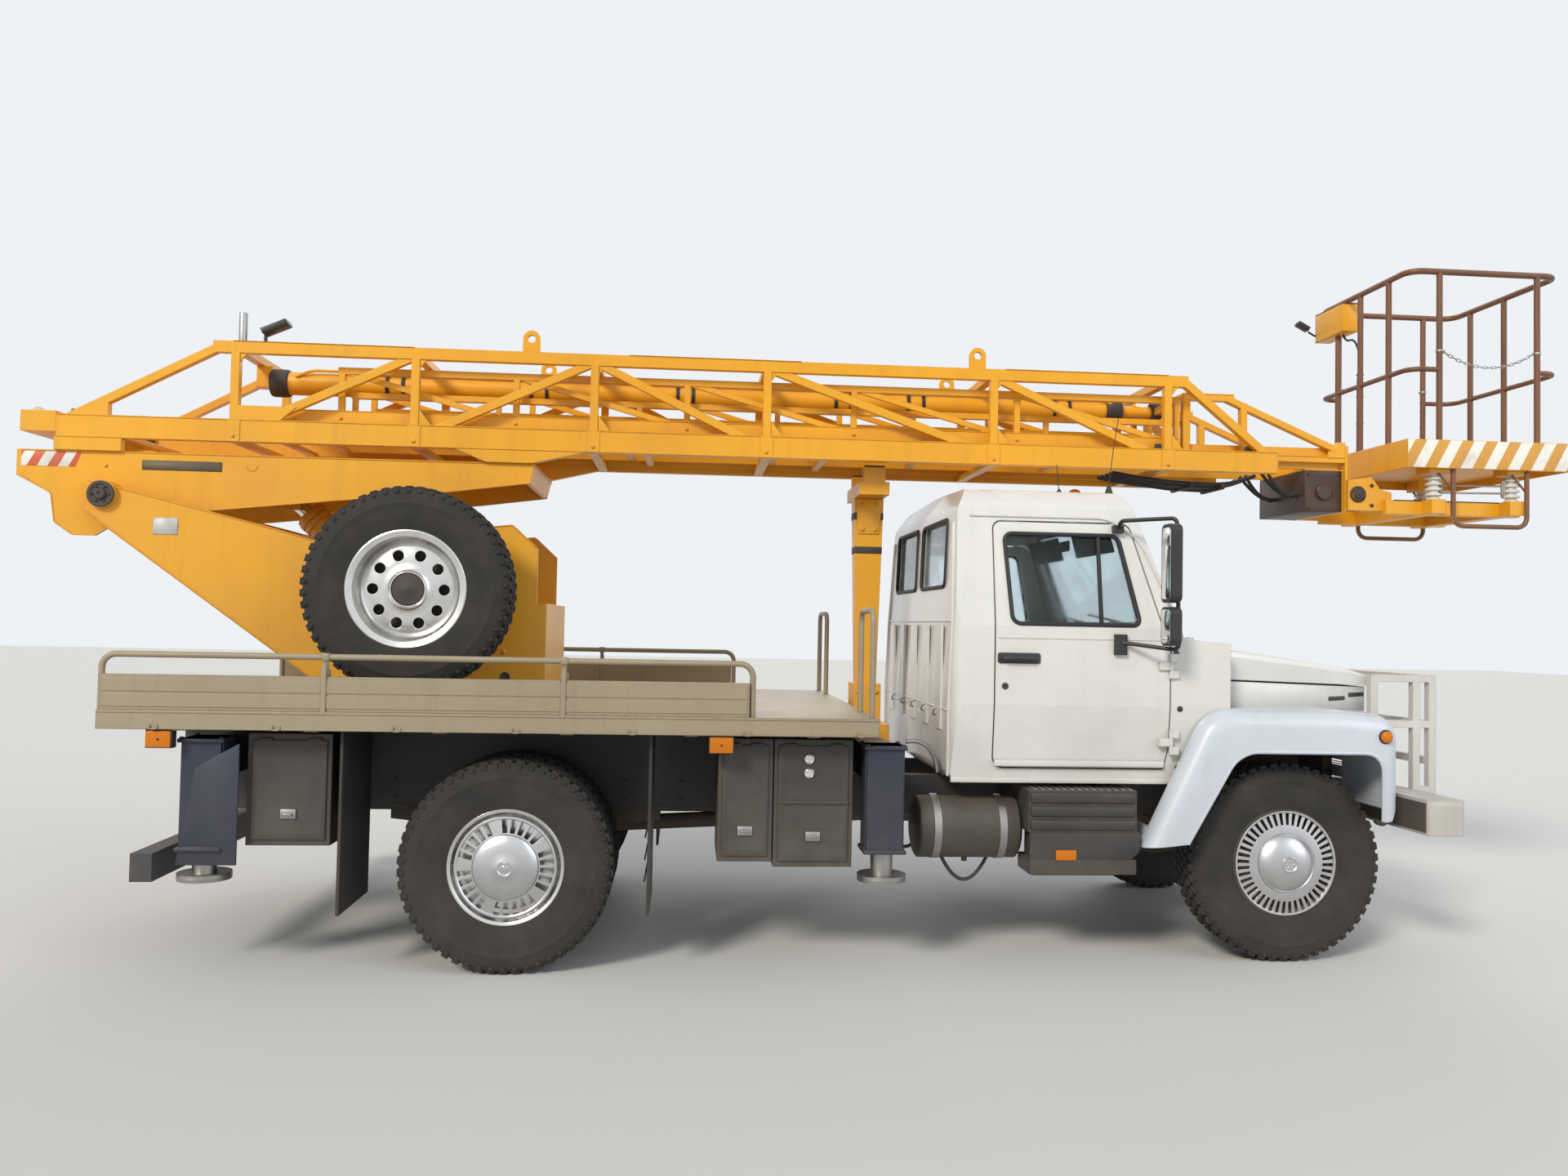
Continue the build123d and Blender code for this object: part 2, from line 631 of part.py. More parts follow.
# Hood: a hollow shell between a rear and a front section
hood_wall = 20
hood_round = 40
hood_sections = [
    # X, half width, seam z, shoulder z, crown z
    (cab_front_x + free_gap, hood_rear_half, hood_seam_rear_z, 1505, 1575),
    (hood_front_x, hood_front_half, hood_seam_front_z, 1405, 1452),
]


def hood_loft(inset, drop, mode=Mode.ADD):
    """Loft of the hood's two sections, moved in by inset, its skirt lowered by drop."""
    faces = []
    for x, half, seam, shoulder, crown in hood_sections:
        station = x - inset if x == hood_front_x else x
        with BuildSketch(Plane.YZ.offset(station)) as section:
            with BuildLine():
                Polyline((half - inset, shoulder - inset), (half - inset, seam - drop),
                         (-half + inset, seam - drop),
                         (-half + inset, shoulder - inset))
                ThreePointArc((-half + inset, shoulder - inset), (0, crown - inset),
                              (half - inset, shoulder - inset))
            make_face()
        faces.append(section.sketch.face())
    loft(faces, ruled=True, mode=mode)


with BuildPart() as hood:
    hood_loft(0, 0)
    hood_front = hood.faces().sort_by(Axis.X)[-1]
    fillet(hood_front.edges().sort_by(Axis.Z)[-1], hood_round)
    hood_loft(hood_wall, 40, mode=Mode.SUBTRACT)
    for low_y in hood_hinges:
        rod((hood_hinge_x, low_y, hood_hinge_z), (hood_hinge_x, low_y + hinge_length, hood_hinge_z),
            hinge_radius)
        block(hood_hinge_x, hood_hinge_x + 50, low_y, low_y + hinge_length, hood_hinge_z - 38,
              hood_hinge_z + 3)
save("hood", hood)

# Front fenders with the panels between them and the hood's seam
fender_rear_top = (front_axle_x - 444, fender_top_z)
fender_front_top = (front_axle_x + 520, fender_top_z - 24)
fender_outline = [
    (front_axle_x - 770, 575), fender_rear_top, (front_axle_x + 230, fender_top_z), fender_front_top,
    (front_axle_x + 520, 800), (front_axle_x + 470, 715)]
fender_corners = [(fender_rear_top, 190), (fender_front_top, 125)]
arch_top_z = 1045
arch_rear_top = (front_axle_x - 301, arch_top_z)
arch_front_top = (front_axle_x + 425, arch_top_z)
arch_outline = [(front_axle_x - 610, 500), arch_rear_top, arch_front_top, (front_axle_x + 425, 500)]
arch_corners = [(arch_rear_top, 140), (arch_front_top, 95)]
cavity_rear_top = (front_axle_x - 433, fender_top_z - fender_wall)
cavity_front_top = (front_axle_x + 520 - fender_wall, fender_top_z - 24 - fender_wall)
cavity_outline = [
    (front_axle_x - 771, 525), cavity_rear_top, (front_axle_x + 230,
                                                 fender_top_z - fender_wall), cavity_front_top,
    (front_axle_x + 520 - fender_wall, 700), (front_axle_x + 520 - fender_wall, 525)]
cavity_corners = [(cavity_rear_top, 165), (cavity_front_top, 100)]
shoulder = 88
fender_inner_y = 560
panel_drop = 40


def outer_edges(piece, y, low_z):
    """Edges round a fender's side at one Y plane, but for those low down."""
    return [edge for edge in piece.edges() if abs(edge.bounding_box().min.Y - y) < 0.1
            and abs(edge.bounding_box().max.Y - y) < 0.1 and edge.center().Z > low_z]


with BuildPart() as front_fenders:
    for s in sides.values():
        with BuildPart(mode=Mode.PRIVATE) as fender:
            side_plate(fender_outline, s * fender_inner_y, s * fender_half, corners=fender_corners)
            fillet(outer_edges(fender, s * fender_half, 820), shoulder)
            with BuildPart(mode=Mode.PRIVATE) as cavity:
                side_plate(cavity_outline, s * (fender_inner_y - 40), s * (fender_half - fender_wall),
                           corners=cavity_corners)
                fillet(outer_edges(cavity, s * (fender_half - fender_wall), 720), shoulder - fender_wall)
            add(cavity.part, mode=Mode.SUBTRACT)
            side_plate(arch_outline, s * (fender_half - 60), s * (fender_half + 20), mode=Mode.SUBTRACT,
                       corners=arch_corners)
        with BuildPart(mode=Mode.PRIVATE) as side_panel:
            with BuildSketch(Plane.XY.offset(fender_top_z - panel_drop)) as strip:
                with BuildLine():
                    Polyline((cab_front_x + 1, s * hood_rear_half), (hood_front_x - 45, s * hood_front_half),
                             (hood_front_x - 45, s * (hood_front_half - hood_wall)),
                             (cab_front_x + 1, s * (hood_rear_half - hood_wall)), close=True)
                make_face()
            extrude(strip.sketch, amount=hood_seam_front_z - free_gap - fender_top_z + panel_drop)
        add(fender.part)
        add(side_panel.part)
    block(cab_back_x, cab_front_x + fit_gap, -cab_half - fit_gap, cab_half + fit_gap, cab_bottom_z - 200,
          2000,
          mode=Mode.SUBTRACT)
save("front_fenders", front_fenders)

# Grille: slotted front panel with cheeks that reach back to the fenders
grille_wall = 22
grille_low_z = 850
grille_high_z = hood_seam_front_z - free_gap
grille_bars = 7
with BuildPart() as grille:
    block(grille_x - grille_wall, grille_x, -hood_front_half + 30, hood_front_half - 30, grille_low_z,
          grille_high_z)
    for s in sides.values():
        block(front_axle_x + 520 + fit_gap, grille_x, s * (hood_front_half - 30),
              s * (hood_front_half - 30 - grille_wall),
              grille_low_z, fender_top_z - panel_drop - fit_gap)
    slot_pitch = (grille_high_z - grille_low_z - 100) / grille_bars
    for index in range(grille_bars):
        slot_z = grille_low_z + 60 + index * slot_pitch
        block(grille_x - 60, grille_x + 20, -430, 430, slot_z, slot_z + slot_pitch * 0.55,
              mode=Mode.SUBTRACT)
save("grille", grille)

# Headlamps, rear lamps, side markers and roof lamps
headlamp_x = front_axle_x + 520 + fit_gap
marker_x = front_axle_x + 430
marker_y = fender_half + fit_gap
with BuildPart() as lamps:
    for s in sides.values():
        rod((headlamp_x, s * 800, 980), (headlamp_x + 45, s * 800, 980), 92)
        rod((marker_x, s * marker_y, 1126), (marker_x, s * (marker_y + 28), 1126), 32)
        block(deck_rear_x - 25, deck_rear_x - fit_gap, s * (deck_half - 370), s * (deck_half - 150),
              deck_top_z - 78, deck_top_z - 10)
        for deck_marker_x in (deck_rear_x + 235, board_front_x - 150):
            block(deck_marker_x, deck_marker_x + 60, s * (deck_half - 70), s * (deck_half - 5),
                  deck_top_z - deck_edge - 55, deck_top_z - deck_edge - fit_gap)
        rod((screen_head_x - 60, s * 190, roof_top_z - 6), (screen_head_x - 60, s * 190, roof_top_z + 55),
            38)
save("lamps", lamps)

# Deck: plate, side beams and cross-bearers
with BuildPart() as deck:
    block(deck_rear_x, deck_front_x, -deck_half, deck_half, deck_top_z - deck_plate, deck_top_z)
    for s in sides.values():
        block(deck_rear_x, deck_front_x, s * deck_half, s * (deck_half - 40), deck_top_z - deck_edge,
              deck_top_z)
    for end_x in (deck_rear_x, deck_front_x - 40):
        block(end_x, end_x + 40, -deck_half, deck_half, deck_top_z - deck_edge, deck_top_z)
    for index in range(6):
        bearer_x = deck_rear_x + 320 + index * 560
        block(bearer_x, bearer_x + 60, -deck_half + 10, deck_half - 10, subframe_top_z, deck_top_z - 10)
save("deck", deck)

# Side boards and their tube rails, and the grab hoops at the deck's front
board_rear_x = deck_rear_x + 12
hoop_out = deck_half - 70
hoop_in = deck_half - 450
hoop_top = deck_top_z + 500
rail_bend = 60
with BuildPart() as deck_sides:
    for s in sides.values():
        block(board_rear_x, board_front_x, s * (deck_half - 5), s * (deck_half - 5 - board_wall),
              deck_top_z, board_top_z)
        rail_y = s * (deck_half - 5 - board_wall / 2 - rail_tube)
        bent_tube([(board_rear_x - 8, rail_y, deck_top_z), (board_rear_x - 8, rail_y, rail_top),
                   (board_front_x + 16, rail_y, rail_top), (board_front_x + 16, rail_y, deck_top_z)],
                  rail_tube, rail_bend)
        for post_x in (board_rear_x + 950, board_rear_x + 2000):
            rod((post_x, rail_y, board_top_z - 120), (post_x, rail_y, rail_top), rail_tube * 0.8)
        hoop_x = deck_front_x - 25
        bent_tube([(hoop_x, s * hoop_out, deck_top_z), (hoop_x, s * hoop_out, hoop_top),
                   (hoop_x, s * hoop_in, hoop_top), (hoop_x, s * hoop_in, deck_top_z)], rail_tube, rail_bend)
save("deck_sides", deck_sides)

# Boom rest: tapered post with a low saddle
rest_x = front_axle_x - 1975
rest_low_half = 55
rest_high_half = 82
saddle_z = boom_bottom_z - 10
yoke_z = saddle_z - 80
rest_head_z = yoke_z - 70
with BuildPart() as rest_post:
    block(rest_x - 75, rest_x + 75, -110, 110, deck_top_z - 200, 1300)
    side_plate([(rest_x - rest_low_half, 1300), (rest_x + rest_low_half, 1300),
                (rest_x + rest_high_half, rest_head_z),
                (rest_x - rest_high_half, rest_head_z)], -60, 60)
    block(rest_x - rest_high_half, rest_x + rest_high_half, -250, 250, rest_head_z, yoke_z)
    for s in sides.values():
        block(rest_x - 60, rest_x + 60, s * 200, s * 250, yoke_z, saddle_z)
    block(deck_front_x - 20 + fit_gap, rest_x + 75, -rail_outer_y, rail_outer_y, deck_top_z - 200,
          deck_top_z - 90)
save("rest_post", rest_post)

# Tool boxes under the deck and the tank beside the frame
boxes = [
    # rear x, front x, bottom z
    (deck_front_x - 730, deck_front_x - 476, 512),
    (deck_front_x - 470, deck_front_x - 100, 488),
    (rear_axle_x - 1160, rear_axle_x - 790, 577),
]
box_out_y = deck_half - 140
box_in_y = 620
box_top_z = deck_top_z - deck_edge - 25
with BuildPart() as toolboxes:
    for rear_x, front_x, low in boxes:
        for s in sides.values():
            block(rear_x, front_x, s * box_in_y, s * box_out_y, low, box_top_z)
            block(rear_x + 60, rear_x + 120, s * 700, s * 900, box_top_z, deck_top_z - deck_plate)
    rod((front_axle_x - 1825, -800, 640), (front_axle_x - 1345, -800, 640), 150)
    block(front_axle_x - 1650, front_axle_x - 1550, -720, -rail_outer_y, 660, 720)
save("toolboxes", toolboxes)

# Cab steps
with BuildPart() as cab_steps:
    for s in sides.values():
        block(front_axle_x - 1330, front_axle_x - 800, s * 720, s * 1030, 650, 850)
        block(front_axle_x - 1320, front_axle_x - 800, s * 820, s * 1030, 450, 520)
        for hanger_x in (front_axle_x - 1300, front_axle_x - 860):
            block(hanger_x, hanger_x + 30, s * 860, s * 990, 500, 660)
            block(hanger_x, hanger_x + 30, s * rail_outer_y, s * 730, 700, 770)
save("cab_steps", cab_steps)

# Mudguards and mudflaps
flap_out_y = deck_half - 80
tyre_front_x = rear_axle_x + tyre_radius
front_flap_x = tyre_front_x + 0.3235 * (deck_front_x - 730 - tyre_front_x)
with BuildPart() as mudguards:
    for s in sides.values():
        for flap_x in (rear_axle_x - 740, front_flap_x):
            block(flap_x, flap_x + 14, s * box_in_y, s * flap_out_y, 275, deck_top_z - deck_edge - 5)
            block(flap_x - 13, flap_x + 27, s * (box_in_y + 20), s * (flap_out_y - 20),
                  deck_top_z - deck_edge - 5, deck_top_z - deck_plate)
save("mudguards", mudguards)

# Outriggers: cross beams with upright boxes, and four jacks that slide down in them
outrigger_x = {"rear": rear_axle_x - 1340, "front": deck_front_x + 45}
outrigger_y = deck_half - 160
leg_half = 85
jack_radius = 52
foot_z = 425
with BuildPart() as outrigger_frames:
    for leg_x in outrigger_x.values():
        for s in sides.values():
            block(leg_x - 75, leg_x + 75, s * rail_outer_y, s * (outrigger_y - leg_half + 20), 880, 1040)
            block(leg_x - leg_half, leg_x + leg_half, s * (outrigger_y - leg_half),
                  s * (outrigger_y + leg_half),
                  560, 1060)
            rod((leg_x, s * outrigger_y, 540), (leg_x, s * outrigger_y, 1040), jack_radius + fit_gap,
                mode=Mode.SUBTRACT)
save("outrigger_frames", outrigger_frames)
for place, leg_x in outrigger_x.items():
    for side, s in sides.items():
        with BuildPart() as jack:
            rod((leg_x, s * outrigger_y, foot_z), (leg_x, s * outrigger_y, 1030), jack_radius)
            rod((leg_x, s * outrigger_y, foot_z), (leg_x, s * outrigger_y, foot_z + 30), 115)
        save(f"jack_{place}_{side}", jack)

# Slewing base on the deck
with BuildPart() as slewing_base:
    rod((slew_x, 0, deck_top_z), (slew_x, 0, base_top_z), base_radius)
save("slewing_base", slewing_base)

# Turret: floor disc, two side plates, front and rear cross plates and the spare wheel's bracket
turret_base_z = turret_floor_z - turret_floor
turret_outline = [
    (pin_x - 90, pin_z + 76), (pin_x - 84, pin_z - 91), (front_axle_x - 4800, turret_base_z),
    (front_axle_x - 3740, turret_base_z), (front_axle_x - 3740, pin_z - 220), (front_axle_x - 3871,
                                                                               pin_z - 102),
    (front_axle_x - 4843, pin_z - 210)]
turret_inner = turret_half - turret_plate
spare_x = front_axle_x - 4287
spare_z = 1748
spare_y = -820
with BuildPart() as turret:
    rod((slew_x, 0, base_top_z + fit_gap), (slew_x, 0, turret_floor_z), base_radius + 30)
    for s in sides.values():
        side_plate(turret_outline, s * turret_half, s * turret_inner)
        rod((pin_x, s * (turret_half + 25), pin_z), (pin_x, s * (arm_half + fit_gap), pin_z), 70)
    block(front_axle_x - 3740, front_axle_x - 3690, -turret_half, turret_half, turret_base_z, 1700)
    side_plate([(front_axle_x - 5150, 1530), (front_axle_x - 4790, turret_base_z),
                (front_axle_x - 4730, turret_base_z),
                (front_axle_x - 4730, turret_floor_z + 10), (front_axle_x - 5130, 1555)],
               -turret_inner, turret_inner)
    block(front_axle_x - 4800, front_axle_x - 3740, -turret_inner, turret_inner, turret_base_z,
          turret_floor_z)
    rod((cylinder_foot_x, -turret_inner, cylinder_foot_z), (cylinder_foot_x, turret_inner, cylinder_foot_z),
        35)
    rod((spare_x, -turret_half, spare_z), (spare_x, spare_y + 96, spare_z), 60)
save("turret", turret)

with BuildPart() as spare_tyre:
    tyre(spare_x, spare_y, spare_z)
save("spare_tyre", spare_tyre)
with BuildPart() as spare_rim:
    ring(spare_x, spare_y, spare_z, barrel_profile)
    ring(spare_x, spare_y, spare_z, [(40, 0), (40, 150), (-30, 240), (-18, 240), (52, 150), (52, 0)])
    rod((spare_x, spare_y + 42, spare_z), (spare_x, spare_y + 96 - fit_gap, spare_z), 75)
    with Locations(Plane.XZ.offset(-spare_y - 45)):
        with Locations((spare_x, spare_z)):
            with PolarLocations(160, 10):
                Cylinder(26, 200, mode=Mode.SUBTRACT)
save("spare_rim", spare_rim)

# Lift cylinder between the turret and the arm
head_run = hypot(cylinder_head_x - cylinder_foot_x, cylinder_head_z - cylinder_foot_z)
head_dir = ((cylinder_head_x - cylinder_foot_x) / head_run, (cylinder_head_z - cylinder_foot_z) / head_run)


def along(distance):
    """Point on the lift cylinder's centre line, measured from its foot pin."""
    return (cylinder_foot_x + head_dir[0] * distance, 0, cylinder_foot_z + head_dir[1] * distance)


eye_half = 50
with BuildPart() as lift_barrel:
    rod((cylinder_foot_x, -70, cylinder_foot_z), (cylinder_foot_x, 70, cylinder_foot_z), 72)
    rod(along(50), along(head_run - 130), barrel_radius)
    rod((cylinder_foot_x, -71, cylinder_foot_z), (cylinder_foot_x, 71, cylinder_foot_z), 35 + fit_gap,
        mode=Mode.SUBTRACT)
    rod(along(200), along(head_run - 100), rod_radius + fit_gap, mode=Mode.SUBTRACT)
save("lift_barrel", lift_barrel)
with BuildPart() as lift_rod:
    rod(along(215), along(head_run), rod_radius)
    rod((cylinder_head_x, -eye_half, cylinder_head_z), (cylinder_head_x, eye_half, cylinder_head_z), 60)
save("lift_rod", lift_rod)

# Lifting arm: an open-bottomed channel with lugs round the turret's pins
arm_rear_x = front_axle_x - arm_rear_reach
arm_outline = [
    (arm_rear_x, arm_top_z), (arm_rear_x, arm_top_z - 131),
    (pin_x - 285, pin_z + 5), (pin_x - 265, pin_z - 140), (pin_x - 175, pin_z - 202),
    (pin_x - 65, pin_z - 202), (pin_x + 75, pin_z - 110), (pin_x + 517, pin_z - 60),
    (pin_x + 1705, arm_top_z - 156), (arm_front_x - 24, arm_top_z - 103), (arm_front_x, arm_top_z)]
with BuildPart() as boom_arm:
    for s in sides.values():
        side_plate(arm_outline, s * arm_half, s * (arm_half - arm_wall))
        block(cylinder_head_x - 75, cylinder_head_x + 75, s * (eye_half + free_gap), s * (eye_half + 34),
              cylinder_head_z - 70, arm_top_z)
    block(arm_rear_x, arm_front_x, -arm_half, arm_half, arm_top_z - arm_wall, arm_top_z)
    block(arm_rear_x, arm_rear_x + 20, -arm_half, arm_half, arm_top_z - 131, arm_top_z)
    side_plate([(arm_front_x - 24, arm_top_z - 103), (arm_front_x, arm_top_z), (arm_front_x - 24, arm_top_z),
                (arm_front_x - 48, arm_top_z - 103)], -arm_half, arm_half)
    rod((pin_x, -arm_half, pin_z), (pin_x, arm_half, pin_z), 75)
save("boom_arm", boom_arm)

# Outer boom section: its two side trusses
posts = [
    # x offset from the front axle
    -5289, -4392, -3478, -2575, -1359, -400]
member = 42
chord_top_z = boom_bottom_z + chord_tall
top_low_z = boom_top_z - top_chord_tall
slide_rear_x = front_axle_x - 6150
with BuildPart() as boom_outer:
    for s in sides.values():
        outer, inner = s * boom_half, s * (boom_half - chord)
        middle_y = (outer + inner) / 2
        block(slide_rear_x, boom_front_x, outer, inner, boom_bottom_z, chord_top_z)
        block(boom_top_rear_x, boom_top_front_x, s * boom_half, s * (boom_half - chord), top_low_z,
              boom_top_z)
        for post in posts:
            block(front_axle_x + post - member / 2, front_axle_x + post + member / 2, outer, inner,
                  chord_top_z, top_low_z)
        bar((boom_top_rear_x + 30, middle_y, boom_top_z - 30),
            (slide_rear_x + 30, middle_y, chord_top_z - 30),
            chord, member)
        bar((boom_top_front_x - 20, middle_y, boom_top_z - 30),
            (boom_front_x - 30, middle_y, chord_top_z - 40),
            chord, member)
        for index, (rear_post, front_post) in enumerate(zip(posts, posts[1:])):
            low_x, high_x = (rear_post, front_post) if index < 2 else (front_post, rear_post)
            lean = 60 if index < 2 else -60
            bar((front_axle_x + low_x + lean, middle_y, chord_top_z - 40),
                (front_axle_x + high_x, middle_y, boom_top_z - 40), chord - 8, member)
        side_plate([(front_axle_x - 5900, chord_top_z), (front_axle_x - 6060, chord_top_z),
                    (front_axle_x - 5960, chord_top_z + 62), (front_axle_x - 5900,
                                                              chord_top_z + 62)], outer, inner)
        side_plate([(front_axle_x - 5270, chord_top_z), (front_axle_x - 5060, chord_top_z),
                    (front_axle_x - 4980, chord_top_z + 72), (front_axle_x - 5270, chord_top_z + 72)],
                   s * boom_half, s * (boom_half - 12))
        block(front_axle_x - 6157, front_axle_x - 5832, outer, inner, arm_top_z, boom_bottom_z)
        side_plate([(front_axle_x - 4185, boom_bottom_z), (front_axle_x - 4023, arm_top_z),
                    (front_axle_x - 3790, arm_top_z), (front_axle_x - 3516, boom_bottom_z)], outer, inner)
save("boom_outer", boom_outer)

# Cross members of the outer section and its rear beam
rung_half = boom_half - chord
rung_tall = 28
with BuildPart() as outer_rungs:
    block(slide_rear_x - 170, slide_rear_x, -boom_half, boom_half, boom_bottom_z + 25, boom_bottom_z + 130)
    for post in posts + [-5850]:
        rung_x = front_axle_x + post
        block(rung_x - 25, rung_x + 25, -rung_half, rung_half, boom_bottom_z, boom_bottom_z + rung_tall)
    for post in posts:
        rung_x = front_axle_x + post
        block(rung_x - 22, rung_x + 22, -rung_half, rung_half, top_low_z + 10, boom_top_z - 8)
save("outer_rungs", outer_rungs)

# Lifting eyes on the top chords
eye_hole = 20
eye_outer = 44
eye_plate = 20
eye_rise = 70
with BuildPart() as lifting_eyes:
    for eye_x in (front_axle_x - 3808, front_axle_x - 1450):
        for s in sides.values():
            eye_y = s * (boom_half - chord / 2)
            rod((eye_x, eye_y - eye_plate / 2, boom_top_z + eye_rise),
                (eye_x, eye_y + eye_plate / 2, boom_top_z + eye_rise),
                eye_outer)
            block(eye_x - eye_outer, eye_x + eye_outer, eye_y - eye_plate / 2, eye_y + eye_plate / 2,
                  boom_top_z, boom_top_z + eye_rise)
            rod((eye_x, eye_y - eye_plate, boom_top_z + eye_rise),
                (eye_x, eye_y + eye_plate, boom_top_z + eye_rise),
                eye_hole, mode=Mode.SUBTRACT)
save("lifting_eyes", lifting_eyes)

# Telescope cylinder, its barrel hung from the outer section
ram_z = boom_bottom_z + 382
ram_radius = 62
ram_rear_x = front_axle_x - 5240
ram_front_x = front_axle_x - 520
ram_rod = 36
with BuildPart() as telescope_barrel:
    rod((ram_rear_x, 0, ram_z), (ram_front_x, 0, ram_z), ram_radius)
    rod((ram_rear_x + 150, 0, ram_z), (ram_front_x + 10, 0, ram_z), ram_rod + fit_gap, mode=Mode.SUBTRACT)
    for offset_x in posts[1:5]:
        block(front_axle_x + offset_x - 20, front_axle_x + offset_x + 20, -30, 30, ram_z + ram_radius - 4,
              top_low_z + 10)
    block(front_axle_x + posts[0] - 22, front_axle_x + posts[0] + 60, -40, 40, ram_z - 30, top_low_z + 10)
save("telescope_barrel", telescope_barrel)

# Middle boom section: its two side trusses
middle_low_z = boom_bottom_z + rung_tall + fit_gap
middle_plate_z = boom_bottom_z + 190
middle_high_z = boom_bottom_z + 415
middle_wall = 24
middle_chord = 36
middle_length = middle_front_x - middle_rear_x
middle_bays = 5
with BuildPart() as boom_middle:
    for s in sides.values():
        outer, inner = s * middle_half, s * (middle_half - middle_wall)
        middle_y = (outer + inner) / 2
        block(middle_rear_x, middle_front_x, outer, inner, middle_low_z, middle_plate_z)
        block(middle_rear_x + 350, middle_front_x, outer, s * (middle_half - middle_chord),
              middle_high_z - middle_chord, middle_high_z)
        for index in range(middle_bays + 1):
            post_x = middle_rear_x + 370 + index * (middle_length - 390) / middle_bays
            block(post_x - 16, post_x + 16, outer, inner, middle_plate_z, middle_high_z - middle_chord)
            if index:
                bar((post_x - 60, middle_y, middle_plate_z - 20),
                    (post_x - (middle_length - 390) / middle_bays + 10, middle_y,
                     middle_high_z - 20), middle_wall - 6, 30)
save("boom_middle", boom_middle)

# Cross members of the middle section and the telescope's rod
middle_rung = 22
with BuildPart() as middle_rungs:
    for index in range(6):
        rung_x = middle_rear_x + 40 + index * (middle_length - 80) / 5
        block(rung_x - 20, rung_x + 20, -middle_half + middle_wall, middle_half - middle_wall,
              middle_low_z, middle_low_z + middle_rung)
    block(middle_front_x - 40, middle_front_x, -middle_half + middle_chord, middle_half - middle_chord,
          ram_z - 20, ram_z + 20)
    rod((front_axle_x - 4250, 0, ram_z), (middle_front_x - 20, 0, ram_z), ram_rod)
save("middle_rungs", middle_rungs)

# Inner boom section: its two sides, each with its side of the head frame
inner_low_z = middle_low_z + middle_rung + fit_gap
inner_plate_z = boom_bottom_z + 170
inner_high_z = boom_bottom_z + 300
head_top_z = boom_bottom_z + 448
head_low_z = boom_bottom_z + 85
tip_low_z = basket_pin_z - 95
head_chord = 40
tip_plate = 18
pin_bolt = 24
inner_wall = 20
inner_rear_x = front_axle_x - 4950
head_rear_x = middle_front_x + 30
with BuildPart() as boom_inner:
    for s in sides.values():
        outer, inner = s * inner_half, s * (inner_half - inner_wall)
        middle_y = (outer + inner) / 2
        block(inner_rear_x, tip_x - 40, outer, inner, inner_low_z, inner_plate_z)
        block(inner_rear_x + 200, head_rear_x + 40, outer, s * (inner_half - 32), inner_high_z - 32,
              inner_high_z)
        for index in range(7):
            post_x = inner_rear_x + 220 + index * 740
            block(post_x - 14, post_x + 14, outer, inner, inner_plate_z, inner_high_z - 32)
        head_out, head_in = s * head_half, s * (head_half - head_chord)
        head_y = (head_out + head_in) / 2
        block(head_rear_x, front_axle_x + 20, head_out, head_in, head_top_z - 40, head_top_z)
        block(head_rear_x, head_rear_x + 40, head_out, head_in, inner_low_z, head_top_z)
        block(head_rear_x, tip_x - 15, head_out, head_in, head_low_z, head_low_z + 35)
        bar((front_axle_x - 20, head_y, head_top_z - 23), (tip_x - 20, head_y, head_low_z + 53), 40, 34)
        block(front_axle_x + 60, front_axle_x + 95, head_out, head_in, head_low_z + 25, head_top_z - 48)
        side_plate([(tip_x - 110, head_low_z + 25), (tip_x - 10, head_low_z + 25),
                    (tip_x - 10, head_low_z + 115),
                    (tip_x - 60, head_low_z + 115)], head_out, head_in)
    block(tip_x - tip_plate, tip_x + 60, -head_half, head_half, tip_low_z, head_top_z, mode=Mode.SUBTRACT)
save("boom_inner", boom_inner)

# Cross members of the inner section and its tip, with the box and the pin that carry the basket
with BuildPart() as inner_rungs:
    for index in range(6):
        rung_x = inner_rear_x + 40 + index * 800
        block(rung_x - 18, rung_x + 18, -inner_half + inner_wall, inner_half - inner_wall,
              inner_low_z, inner_low_z + 20)
    block(head_rear_x, head_rear_x + 40, -head_half + head_chord, head_half - head_chord,
          head_top_z - 40, head_top_z)
    block(tip_x - tip_plate, tip_x, -head_half, head_half, tip_low_z, head_low_z + 97)
    block(tip_x - 235, tip_x - 10, -head_half + 30, head_half - 30, tip_low_z, inner_low_z)
    for s in sides.values():
        side_plate([(tip_x - tip_plate, tip_low_z + 5), (tip_x + 60, basket_pin_z - 50),
                    (tip_x + 85, basket_pin_z),
                    (tip_x + 60, basket_pin_z + 50), (tip_x - tip_plate, basket_pin_z + 100)],
                   s * head_half, s * (head_half - 20))
    rod((basket_pin_x, -head_half - 40, basket_pin_z), (basket_pin_x, head_half + 40, basket_pin_z),
        pin_bolt)
save("inner_rungs", inner_rungs)

